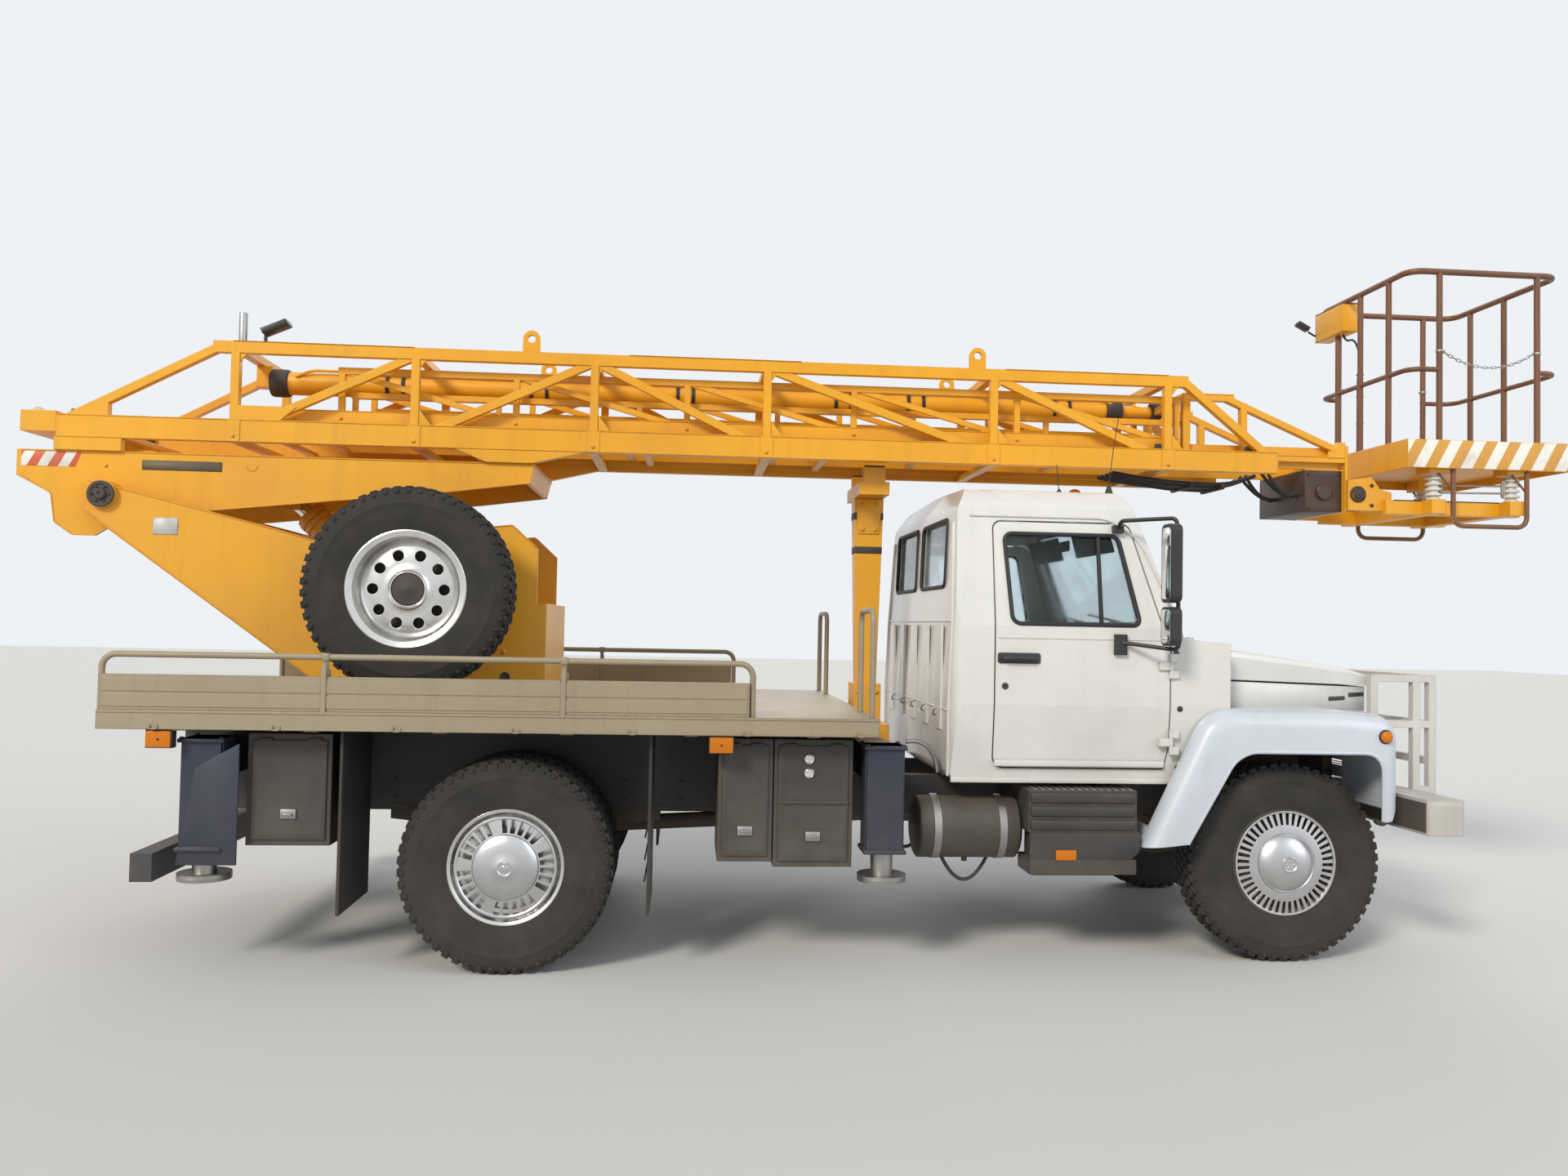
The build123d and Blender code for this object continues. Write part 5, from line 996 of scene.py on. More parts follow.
def build_roof_and_wipers():
    lamps, bases = [], []
    for y in (-0.19, 0.19):
        base = spun([(-0.012, 0.044), (0.006, 0.044), (0.010, 0.038), (0.010, 0.0)], at(-0.845, y, 2.339),
                    (0, 0, 1), 28)
        lens = spun([(0.006, 0.036), (0.036, 0.035), (0.050, 0.028), (0.058, 0.014), (0.060, 0.0)],
                    at(-0.845, y, 2.339), (0, 0, 1), 28)
        bases.append(base)
        lamps.append(lens)
    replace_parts(done(joined(lamps), "roof_lamp_lenses", AMBER, "chassis"), "lamps")
    done(joined(bases), "roof_lamp_bases", BLACK_PLASTIC, "chassis")
    mast_foot = spun([(-0.004, 0.018), (0.008, 0.017), (0.022, 0.009), (0.030, 0.004)],
                at(-1.07, -0.62, 2.315), (0, 0, 1), 20)
    mast = tube([at(-1.07, -0.62, 2.330), at(-1.085, -0.62, 2.470)], 0.0022, 0, 6)
    whip_foot = spun([(-0.006, 0.034), (0.010, 0.032), (0.026, 0.020), (0.060, 0.010), (0.070, 0.004)],
                at(-0.770, -0.520, 2.318), (0, 0, 1), 24)
    whip = tube([at(-0.770, -0.520, 2.380), at(-0.750, -0.520, 2.560), at(-0.722, -0.520, 2.740)], 0.0022,
                0.05, 6)
    done(joined([mast_foot, mast, whip_foot, whip]), "roof_mast", BLACK_PLASTIC, "chassis")
    wipers = []
    for y in (0.42, -0.20):
        pivot = cylinder(at(-0.520, y, 1.572), at(-0.500, y, 1.606), 0.014, 16, 0.003)
        reach = [(screen_x(z) + off, y + dy, z) for z, dy, off in
                 ((1.604, 0.0, 0.026), (1.640, 0.09, 0.034), (1.690, 0.30, 0.030))]
        arm = tube(reach, 0.0055, 0.03, 6)
        blade = [(screen_x(z) + 0.017, y + dy, z) for z, dy in ((1.664, 0.02), (1.690, 0.30), (1.712, 0.54))]
        blade = tube(blade, 0.0065, 0.05, 6)
        wipers += [pivot, arm, blade]
    done(joined(wipers), "wipers", BLACK_PLASTIC, "chassis")
    glasses = []
    for low, high in ((1.772, 2.113), (1.562, 1.723)):
        glasses.append(plate([at(-0.7025, y, z)
                    for y, z in ((1.072, low), (1.176, low), (1.176, high), (1.072, high))],
                    (-0.003, 0, 0), 0.001, 0.022))
    both_sides(joined(glasses), "mirror_glass", CHROME, "SIDE_door")


def panel_y(x):
    """Half width of the nose's side panel at an X from the front axle."""
    return 0.84 - 0.22 * (x + 0.309) / 0.889


def build_nose():
    lip = [at(x, 1.053, z) for x, z in ((-0.556, 0.600), (-0.301, 1.045), (0.425, 1.045), (0.425, 0.714))]
    lip = tube(lip, 0.010, 0.088, 8)
    both_sides(lip, "fender_lip", FENDER_WHITE, "chassis")
    outline = [(-0.305, 1.250), (0.576, 1.226), (0.576, 1.347), (-0.305, 1.377)]
    panel = plate([at(x, panel_y(x) + 0.0003, z) for x, z in outline], (0.0005, 0.002, 0), 0.0005)
    seam = tube([at(-0.318, 0.846, 1.250), at(-0.318, 0.846, 1.560)], 0.004, 0, 6)
    both_sides(panel, "nose_side_panel", CAB_WHITE, "chassis")
    both_sides(seam, "cowl_seam", RUBBER, "chassis")
    slots = []
    for x0, x1, z in ((0.350, 0.455, 1.288), (0.475, 0.575, 1.308)):
        shape = [(x0, z - 0.014), (x1, z - 0.009), (x1, z + 0.013), (x0, z + 0.010)]
        slots.append(plate([at(x, panel_y(x) - 0.006, height) for x, height in shape], (0.002, 0.009, 0),
                    0.002, 0.006))
    both_sides(joined(slots), "nose_vents", BLACK_PLASTIC, "chassis")
    bezels, lenses, bowls, markers, marker_bases = [], [], [], [], []
    for s in (1, -1):
        centre = at(0.520, s * 0.80, 0.98)
        bezels.append(spun([(-0.006, 0.096), (0.026, 0.097), (0.040, 0.094), (0.045, 0.087), (0.040, 0.080),
                    (0.020, 0.079), (-0.006, 0.096)], centre, (1, 0, 0), 56))
        bowls.append(spun([(0.036, 0.0795), (0.020, 0.066), (0.004, 0.040), (0.001, 0.015), (0.014, 0.012),
                    (0.020, 0.0)], centre, (1, 0, 0), 40))
        lenses.append(spun([(0.0375, 0.0800), (0.0450, 0.0650), (0.0495, 0.0400), (0.0515, 0.0)], centre,
                    (1, 0, 0), 48))
        side = at(0.430, s * 1.0605, 1.126)
        markers.append(spun([(0.004, 0.0290), (0.014, 0.0285), (0.023, 0.0220), (0.0270, 0.0110),
                    (0.0275, 0.0)], side, (0, s, 0), 32))
        marker_bases.append(spun([(-0.012, 0.035), (0.004, 0.035), (0.009, 0.031), (0.009, 0.027)], side,
                    (0, s, 0), 32))
    done(joined(bezels), "headlamp_bezels", CHROME, "chassis")
    done(joined(bowls), "headlamp_bowls", CHROME, "chassis")
    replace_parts(done(joined(lenses), "headlamp_lenses", CLEAR_LENS, "chassis"), "lamps")
    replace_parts(done(joined(markers), "side_marker_lenses", AMBER, "chassis"), "lamps")
    done(joined(marker_bases), "side_marker_bases", BLACK_PLASTIC, "chassis")
    slats = []
    pitch = (1.349 - 0.85 - 0.10) / 7
    for index in range(7):
        z = 0.91 + index * pitch
        for step in (0.25, 0.60):
            slat = cuboid(at(0.581, -0.428, z + pitch * 0.55 * step - 0.002),
                        at(0.594, 0.428, z + pitch * 0.55 * step + 0.002), 0.001, 1)
            slats.append(slat)
    for y in (-0.28, -0.14, 0.0, 0.14, 0.28):
        slats.append(cuboid(at(0.5795, y - 0.004, 0.905), at(0.586, y + 0.004, 1.33), 0.0015, 1))
    done(joined(slats), "grille_slats", BLACK_PLASTIC, "chassis")
    crease = [tube([at(-0.29, s * 0.50, 1.5525), at(0.60, s * 0.36, 1.4365)], 0.006, 0, 8) for s in (1, -1)]
    handle = tube([at(0.600, -0.10, 1.385), at(0.640, -0.095, 1.385), at(0.640, 0.095, 1.385),
                at(0.600, 0.10, 1.385)], 0.009, 0.02, 10)
    done(joined(crease), "hood_creases", CAB_WHITE, "hood_body")
    done(handle, "hood_handle", CHROME, "hood_body")
    board = plate([at(0.827, y, z)
                for y, z in ((-0.26, 0.682), (0.26, 0.682), (0.26, 0.792), (-0.26, 0.792))],
                (0.004, 0, 0), 0.001, 0.012)
    done(board, "front_plate_blank", BUMPER_WHITE, "chassis")
    bits = [bolt(at(0.827, y, 0.735), (1, 0, 0), 0.013) for y in (-0.90, -0.42, 0.42, 0.90)]
    bits += [bolt(at(x, s * 0.671, 0.842), (0, 0, 1), 0.010) for x in (0.822, 0.912) for s in (1, -1)]
    done(joined(bits), "bumper_bolts", IRON, "chassis")
    hooks = [tube([at(0.800, s * 0.36, 0.640), at(0.800, s * 0.36, 0.600), at(0.850, s * 0.36, 0.585),
                at(0.872, s * 0.36, 0.610), at(0.858, s * 0.36, 0.634)], 0.012, 0.018, 10) for s in (1, -1)]
    done(joined(hooks), "tow_hooks", IRON, "chassis")


build_windows()
build_door_fittings()
build_cab_trim()
build_roof_and_wipers()
build_nose()

# Deck, boxes and running gear


def row_of(piece, step, count):
    """A piece repeated along a line, joined into one."""
    return joined([piece] + [moved(piece, Vector(step) * index) for index in range(1, count)])


def build_deck():
    grooves = []
    for z in (1.2325, 1.3000):
        grooves.append(cuboid(at(-5.512, 1.180, z - 0.031), at(-2.686, 1.1880, z + 0.031), 0.003, 1))
    stakes = row_of(cuboid(at(-4.580, 1.1855, 1.175), at(-4.556, 1.1935, 1.400), 0.003, 1), (1.050, 0, 0), 2)
    both_sides(joined(grooves + [stakes]), "deck_board_ribs", DECK_BEIGE, "chassis")
    lip = plate([at(-5.528, 1.1895, z) for z in (1.106, 1.116)] + [at(-2.085, 1.1895, z)
            for z in (1.116, 1.106)], (0, 0.003, 0), 0.001)
    top_lip = moved(lip, (0, 0, 0.071))
    hook = tube([at(-5.300, 1.188, 1.128), at(-5.300, 1.199, 1.118), at(-5.300, 1.199, 1.108),
                at(-5.270, 1.199, 1.108), at(-5.270, 1.188, 1.128)], 0.004, 0.006, 6)
    both_sides(joined([lip, top_lip, row_of(hook, (0.52, 0, 0), 7)]), "deck_edge_lips", DECK_BEIGE,
               "chassis")
    clamp = cuboid((-0.018, -0.018, -0.018), (0.018, 0.018, 0.018), 0.007)
    clamps = [moved(clamp, at(x, 1.157, z)) for x in (-4.568, -3.518) for z in (1.360, 1.432)]
    bpy.data.objects.remove(clamp)
    both_sides(joined(clamps), "deck_rail_clamps", DECK_BEIGE, "chassis")
    tread = cuboid(at(-5.50, -0.36, 1.1895), at(-4.98, 0.36, 1.1915))
    studs = []
    stud = cuboid(at(-5.480, -0.350, 1.1905), at(-5.455, -0.343, 1.1935), 0.001, 1)
    for row in range(12):
        studs.append(row_of(moved(stud, (0.040 * row, 0, 0)), (0, 0.058, 0), 12))
    done(joined([tread] + studs), "deck_tread_strip", JACK_STEEL, "chassis")
    bpy.data.objects.remove(stud)


def build_lamps():
    rears, clears, ambers, bases = [], [], [], []
    for s in (1, -1):
        low, high = forward(-5.5575), forward(-5.531)
        bases.append(cuboid((low + 0.012, s * 0.815, 1.107), (high, s * 1.045, 1.185), 0.004))
        rears.append(cuboid((low, s * 0.820, 1.112), (low + 0.016, s * 0.895, 1.180), 0.006))
        clears.append(cuboid((low, s * 0.897, 1.112), (low + 0.016, s * 0.965, 1.180), 0.006))
        ambers.append(cuboid((low, s * 0.967, 1.112), (low + 0.016, s * 1.040, 1.180), 0.006))
        for x in (-5.295, -2.830):
            bases.append(cuboid(at(x - 0.030, s * 1.130, 1.022), at(x + 0.085, s * 1.177, 1.1045), 0.003))
            ambers.append(cuboid(at(x - 0.026, s * 1.174, 1.026), at(x + 0.081, s * 1.1885, 1.098), 0.006))
            bases.append(bolt(at(x + 0.028, s * 1.188, 1.062), (0, s, 0), 0.004, 0.004))
    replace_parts(done(joined(rears), "rear_lamp_lenses", RED_LENS, "chassis"), "lamps")
    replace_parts(done(joined(clears), "reversing_lamp_lenses", CLEAR_LENS, "chassis"), "lamps")
    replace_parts(done(joined(ambers), "deck_lamp_lenses", AMBER, "chassis"), "lamps")
    done(joined(bases), "deck_lamp_bases", BLACK_PLASTIC, "chassis")


def box_door(x0, x1, low):
    """Pressed door with hinges and a latch on a tool box's outer side."""
    y = 1.0505
    door = cuboid(at(x0 + 0.020, y - 0.002, low + 0.025), at(x1 - 0.020, y + 0.008, 1.052), 0.004)
    pick(door, "FACE", lambda middle, normal: normal.y > 0.95 and middle.y > y + 0.007)
    bpy.ops.mesh.inset(thickness=0.030, depth=0)
    bpy.ops.transform.translate(value=(0, -0.005, 0))
    leave(door)
    middle = (x0 + x1) / 2
    latch = cuboid(at(middle - 0.035, y + 0.002, low + 0.120), at(middle + 0.035, y + 0.012, low + 0.165),
                0.004)
    grip = tube([at(middle - 0.020, y + 0.010, low + 0.142), at(middle - 0.018, y + 0.024, low + 0.142),
                at(middle + 0.018, y + 0.024, low + 0.142), at(middle + 0.020, y + 0.010, low + 0.142)],
                0.004, 0.005, 6)
    hinges = [cylinder(at(x - 0.030, y + 0.008, 1.056), at(x + 0.030, y + 0.008, 1.056), 0.006, 12, 0.001)
              for x in (x0 + 0.075, x1 - 0.075)]
    return joined([door] + hinges), joined([latch, grip])


def build_boxes():
    doors, latches = [], []
    for x0, x1, low in ((-2.810, -2.556, 0.512), (-2.550, -2.180, 0.488), (-4.930, -4.560, 0.577)):
        door, latch = box_door(x0, x1, low)
        doors.append(door)
        latches.append(latch)
    both_sides(joined(doors), "box_doors", BOX_DARK_AND_SHADE, "chassis")
    both_sides(joined(latches), "box_latches", JACK_STEEL, "chassis")
    gauges = [spun([(0.0, 0.024), (0.010, 0.024), (0.014, 0.019), (0.011, 0.016), (0.011, 0.0)],
                at(-2.386, 1.054, z), (0, 1, 0), 24)
              for z in (0.990, 0.925)]
    ledge = cuboid(at(-2.535, 1.052, 0.780), at(-2.195, 1.062, 0.796), 0.002, 1)
    both_sides(joined(gauges), "box_gauges", ALLOY, "chassis")
    both_sides(ledge, "box_ledge", BOX_DARK_AND_SHADE, "chassis")
    straps, caps = [], []
    for x in (-1.745, -1.425):
        strap = spun([(-0.018, 0.1505), (-0.018, 0.1535), (0.018, 0.1535), (0.018, 0.1505),
                    (-0.018, 0.1505)], at(x, -0.80, 0.64), (1, 0, 0), 56)
        straps.append(strap)
        straps.append(cuboid(at(x - 0.018, -0.800, 0.787), at(x + 0.018, -0.790, 0.800), 0.002))
    for x, way in ((-1.825, -1), (-1.345, 1)):
        caps.append(spun([(-0.004, 0.149), (0.004, 0.146), (0.014, 0.130), (0.024, 0.090), (0.030, 0.040),
                    (0.031, 0.0)], at(x, -0.80, 0.64), (way, 0, 0), 48))
    done(joined(straps), "air_tank_straps", JACK_STEEL, "chassis")
    drain = cylinder(at(-1.585, -0.80, 0.470), at(-1.585, -0.80, 0.495), 0.014, 12, 0.002)
    done(joined(caps + [drain]), "air_tank_ends", BOX_DARK_AND_SHADE, "chassis")
    hoses = []
    for start, end, sag in (((-1.700, -0.800, 0.492), (-1.465, -0.780, 0.492), 0.115),
                ((-1.80, -0.70, 0.560), (-1.95, -0.50, 0.640), 0.09)):
        points = []
        for step in range(13):
            t = step / 12
            bow = 4 * t * (1 - t)
            points.append([(1 - t) * a + t * b for a, b in zip(start, end)])
            points[-1][2] -= bow * sag
        hoses.append(tube([at(x, y, z) for x, y, z in points], 0.009, 0, 8))
    done(joined(hoses), "air_hoses", RUBBER, "chassis")
    pipe = tube(on_side(-0.780, (-1.880, 1.050), (-1.800, 1.055), (-1.735, 0.990), (-1.720, 0.900)), 0.011,
                0.045, 10)
    done(pipe, "filler_pipe", JACK_STEEL, "chassis")


def build_steps():
    ribs = []
    for index in range(3):
        z = 0.662 + index * 0.064
        ribs.append(cuboid(at(-1.322, 1.022, z), at(-0.808, 1.044, z + 0.050), 0.010, 2))
    both_sides(joined(ribs), "step_ribs", BLACK_PLASTIC, "chassis")
    skirt = plate([at(x, 1.008, z)
                for x, z in ((-1.322, 0.446), (-0.905, 0.446), (-0.780, 0.560), (-0.780, 0.655),
                (-1.322, 0.655))], (0, 0.020, 0), 0.004, 0.018)
    skirt_lamp = cuboid(at(-1.195, 1.024, 0.518), at(-1.095, 1.036, 0.566), 0.004)
    both_sides(skirt, "step_skirt", BLACK_PLASTIC, "chassis")
    both_sides(skirt_lamp, "step_lamp", AMBER, "chassis")
    grip = cuboid(at(-1.300, 0.840, 0.8495), at(-1.285, 1.020, 0.8550), 0.001, 1)
    low_grip = cuboid(at(-1.290, 0.835, 0.5195), at(-1.275, 1.020, 0.5250), 0.001, 1)
    both_sides(joined([row_of(grip, (0.036, 0, 0), 14), row_of(low_grip, (0.036, 0, 0), 13)]), "step_treads",
               JACK_STEEL,
               "chassis")


def spring_pack(x, ends, foot, leaves, clip_top):
    """Leaves of a spring beside its solid, and the two clips round it; ends and foot are (X, Z) places."""
    (rear, rear_z), (front, front_z) = ends
    half, foot_z = foot
    parts = []
    for index in range(leaves):
        share = 0.36 + 0.64 * index / (leaves - 1)
        lift = 0.012 * index
        line = [(rear, rear_z), (-half, foot_z), (half, foot_z), (front, front_z)]
        line[0] = (-half + (rear + half) * share, foot_z + (rear_z - foot_z) * share)
        line[3] = (half + (front - half) * share, foot_z + (front_z - foot_z) * share)
        low = [at(x + along, 0.328, z + lift) for along, z in line]
        high = [(place, y, z + 0.0095) for place, y, z in low[::-1]]
        parts.append(plate(low + high, (0, 0.0745, 0), 0.001))
    for along in (-0.095, 0.095):
        parts.append(tube([at(x + along, 0.322, clip_top), at(x + along, 0.322, foot_z - 0.020),
                    at(x + along, 0.408, foot_z - 0.020), at(x + along, 0.408, clip_top)], 0.009, 0.02, 8))
    return parts


def build_chassis_trim():
    leaves = spring_pack(0.0, ((-0.600, 0.605), (0.560, 0.605)), (0.150, 0.469), 5, 0.560)
    leaves += spring_pack(REAR_SPRING_X, ((-0.680, 0.595), (0.680, 0.595)), (0.150, 0.536), 7, 0.650)
    both_sides(joined(leaves), "spring_leaves", IRON, "chassis")
    rivets = []
    rivet = cylinder((0, 0.399, 0), (0, 0.409, 0), 0.010, 10, 0.003)
    for x in range(20):
        for z in (0.700, 0.790):
            rivets.append(moved(rivet, at(-5.30 + x * 0.29, 0, z)))
    bpy.data.objects.remove(rivet)
    both_sides(joined(rivets), "rail_rivets", IRON, "chassis")
    flanges = []
    for x in (REAR_OUTRIGGER_X, FRONT_OUTRIGGER_X):
        for low, high in ((0.560, 0.578), (1.042, 1.060)):
            flanges.append(cuboid(at(x - 0.100, 0.930, low), at(x + 0.100, 1.130, high), 0.004))
        for dx in (-0.088, 0.088):
            flanges.append(cuboid(at(x + dx - 0.004, 0.960, 0.578), at(x + dx + 0.004, 1.100, 1.042), 0.002))
        for corner in ((-0.085, 0.945), (0.085, 0.945), (-0.085, 1.115), (0.085, 1.115)):
            flanges.append(bolt(at(x + corner[0], corner[1], 1.060), (0, 0, 1), 0.009))
    gusset = plate(on_side(1.118, (-5.135, 0.930), (-5.205, 0.500), (-4.945, 0.500), (-4.945, 1.040)),
                (0, -0.012, 0), 0.002)
    flanges.append(gusset)
    both_sides(joined(flanges), "outrigger_flanges", OUTRIGGER_NAVY, "chassis")
    for end, x in (("front", FRONT_OUTRIGGER_X), ("rear", REAR_OUTRIGGER_X)):
        rims = spun([(-0.002, 0.112), (0.006, 0.1155), (0.016, 0.1155), (0.022, 0.108), (0.024, 0.060)],
                    at(x, 1.03, 0.427), (0, 0, 1), 40)
        both_sides(rims, "jack_foot_rim_" + end, JACK_STEEL, "jack_%s_SIDE_body" % end)
    stripes = cuboid(at(-5.4065, -1.020, 0.432), at(-5.4045, 1.020, 0.540), 0.0006, 1)
    done(stripes, "rear_bumper_stripes",
         stripe_finish("rear_bumper_stripe", (0.62, 0.03, 0.02), (0.66, 0.64, 0.60), 0.20, 1.0, axis="Y"),
         "chassis")
    # Dark plate over the bumper's back face: painted shade, with bolts for its black brackets.
    back = [cuboid(at(0.6330, -1.062, 0.664), at(0.6375, 1.062, 0.806), 0.001, 1)]
    for s in (1, -1):
        for y in (0.45, 0.60):
            back.append(bolt(at(0.6330, s * y, 0.735), (-1, 0, 0), 0.014))
    done(joined(back), "bumper_back", IRON, "chassis")
    board = plate([at(-5.532, y, z)
                for y, z in ((-0.26, 1.112), (0.26, 1.112), (0.26, 1.180), (-0.26, 1.180))],
                (-0.003, 0, 0), 0.001, 0.008)
    done(board, "rear_plate_blank", BUMPER_WHITE, "chassis")
    flaps = []
    for x in (-4.51, -3.13):
        for z in (0.42, 0.52, 0.62):
            flaps.append(tube([at(x - 0.012, 0.66, z), at(x - 0.012, 1.05, z)], 0.004, 0, 6))
    both_sides(joined(flaps), "mudflap_ribs", RUBBER, "chassis")


build_deck()
build_lamps()
build_boxes()
build_steps()
build_chassis_trim()

# Turret, boom and lattice


def blank_plate(corners, thickness, corner=0.006):
    """Plate without words, screwed flat on a side."""
    return plate(corners, thickness, 0.001, corner)


def build_turret_trim():
    caps = []
    profile = [(-0.001, 0.066), (0.006, 0.066), (0.009, 0.062), (0.009, 0.050), (0.005, 0.047),
               (0.005, 0.030),
               (0.016, 0.028), (0.020, 0.024), (0.020, 0.010), (0.015, 0.008), (0.015, 0.0)]
    for s in (1, -1):
        centre = Vector(at(LIFT_PIN_X, s * 0.475, LIFT_PIN_Z))
        caps.append(spun(profile, centre, (0, s, 0), 40))
        for index in range(6):
            angle = index * math.pi / 3
            spot = centre + Vector((math.cos(angle) * 0.041, s * 0.004, math.sin(angle) * 0.041))
            caps.append(bolt(spot, (0, s, 0), 0.006, 0.009))
    done(joined(caps), "boom_pin_caps", IRON, "turret_body")
    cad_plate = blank_plate(on_side(-0.4505, (-5.641, 2.006), (-5.520, 2.006), (-5.520, 2.092),
                (-5.641, 2.092)), (0, -0.002, 0))
    done(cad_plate, "turret_plate_blank", BUMPER_WHITE, "turret_body")
    edges = []
    for s in (1, -1):
        rims = [(-5.955, 2.268), (-5.100, 2.060), (-4.843, 1.990), (-3.871, 2.098), (-3.745, 1.982)]
        edges.append(tube(on_side(s * 0.4500, *rims), 0.004, 0.01, 6))
        edges.append(tube(on_side(s * 0.4500, (-5.962, 2.115), (-4.805, 1.272), (-3.755, 1.272)), 0.005,
                    0.01, 6))
        for x, z in ((-4.690, 1.90), (-4.690, 1.45), (-3.900, 1.45)):
            edges.append(bolt(at(x, s * 0.450, z), (0, s, 0), 0.010))
    done(joined(edges), "turret_welds", YELLOW, "turret_body")
    vent = spun([(-0.001, 0.026), (0.002, 0.025), (0.002, 0.020), (0.0008, 0.018), (0.0008, 0.0)],
                at(-3.891, -0.4505, 1.322), (0, -1, 0), 24)
    done(vent, "turret_hole_rim", IRON, "turret_body")
    base_bolts = around(bolt((forward(SLEW_X) + 0.535, 0, 1.235), (0, 0, 1), 0.014, 0.014), at(SLEW_X, 0, 0),
                "Z", 24)
    done(base_bolts, "slewing_ring_bolts", IRON, "turret_body")
    line = Vector((-1.02, 0, 0.88)).normalized()
    foot = Vector(at(-4.10, 0, 1.37))
    ends = []
    for reach in (1.170, 1.135, 0.110):
        ends.append(cylinder(foot + line * reach, foot + line * (reach + 0.030), 0.088, 32, 0.004))
    for reach in (0.16, 1.10):
        start = foot + line * reach + Vector((0.052, 0, 0.060))
        ends.append(cylinder(start, start + Vector((0.020, 0, 0.023)), 0.014, 12, 0.002))
    gland = joined(ends)
    done(gland, "lift_cylinder_glands", YELLOW, "cylinder_body")
    pipe = [foot + line * reach + Vector((0.064, 0, 0.074)) for reach in (0.16, 0.30, 0.70, 1.10)]
    done(tube([tuple(p) for p in pipe], 0.007, 0, 8), "lift_cylinder_pipe", JACK_STEEL, "cylinder_body")


def build_rest_post_trim():
    """Rubber pads, cheeks, straps and foot bolts of the post that carries the boom on the road."""
    x = REST_POST_X
    pads = [cuboid(at(x - 0.055, s * 0.202, 2.4802), at(x + 0.055, s * 0.248, 2.4892), 0.003)
            for s in (1, -1)]
    straps = []
    for z in (2.020, 2.210):
        half = 0.0570 + 0.0262 * (z + 0.040 - 1.300)
        straps.append(cuboid(at(x - half, -0.0630, z), at(x + half, 0.0630, z + 0.040), 0.004))
    done(joined(pads), "rest_post_pads", RUBBER, "chassis")
    cheeks = []
    for s in (1, -1):
        outline = on_side(s * 0.0603, (x - 0.060, 2.130), (x + 0.060, 2.130), (x + 0.072, 2.325),
                    (x - 0.072, 2.325))
        cheeks.append(plate(outline, (0, s * 0.006, 0), 0.002))
        for place, z in ((x - 0.035, 2.155), (x + 0.035, 2.155), (x - 0.040, 2.295), (x + 0.040, 2.295)):
            cheeks.append(bolt(at(place, s * 0.0655, z), (0, s, 0), 0.009))
        for dx in (-0.050, 0.050):
            cheeks.append(bolt(at(x + dx, s * 0.1095, 1.255), (0, s, 0), 0.011))
    done(joined(cheeks), "rest_post_cheeks", YELLOW, "chassis")
    done(joined(straps), "rest_post_straps", IRON, "chassis")


def build_arm_trim():
    for s, side in ((-1, "right"), (1, "left")):
        stripes = plate(on_side(s * 0.3805, (-6.318, 2.342), (-6.060, 2.342), (-6.030, 2.416),
                    (-6.318, 2.416)), (0, s * 0.0015, 0), 0.0004)
        done(stripes, "arm_stripe_plate_" + side, ARM_STRIPES, "boom")
        marker = blank_plate(on_side(s * 0.3805, (-5.735, 2.336), (-5.343, 2.336), (-5.343, 2.386),
                    (-5.735, 2.386)), (0, s * 0.0015, 0), 0.004)
        done(marker, "arm_plate_blank_" + side, PLATE_GREY, "boom")
    welds = []
    for s in (1, -1):
        y = s * 0.3805
        welds.append(tube(on_side(y, (-6.320, 2.422), (-2.30 - 1.476, 2.422)), 0.004, 0, 6))
        welds.append(tube(on_side(y, (-6.320, 2.298), (-6.170, 2.206), (-6.150, 2.062), (-6.060, 2.000),
                    (-5.950, 2.000)), 0.0035, 0.01, 6))
        welds.append(tube(on_side(y, (-5.368, 2.142), (-4.180, 2.272), (-3.800, 2.324)), 0.0035, 0.01, 6))
        welds.append(tube([(forward(-5.196) + math.cos(a) * 0.026, y, 2.372 + math.sin(a) * 0.026) for a in
                    (math.pi + step * math.pi / 8 for step in range(9))], 0.003, 0, 6))
        welds.append(bolt(at(-5.910, y, 2.352), (0, s, 0), 0.007))
    done(joined(welds), "arm_welds", YELLOW, "boom")


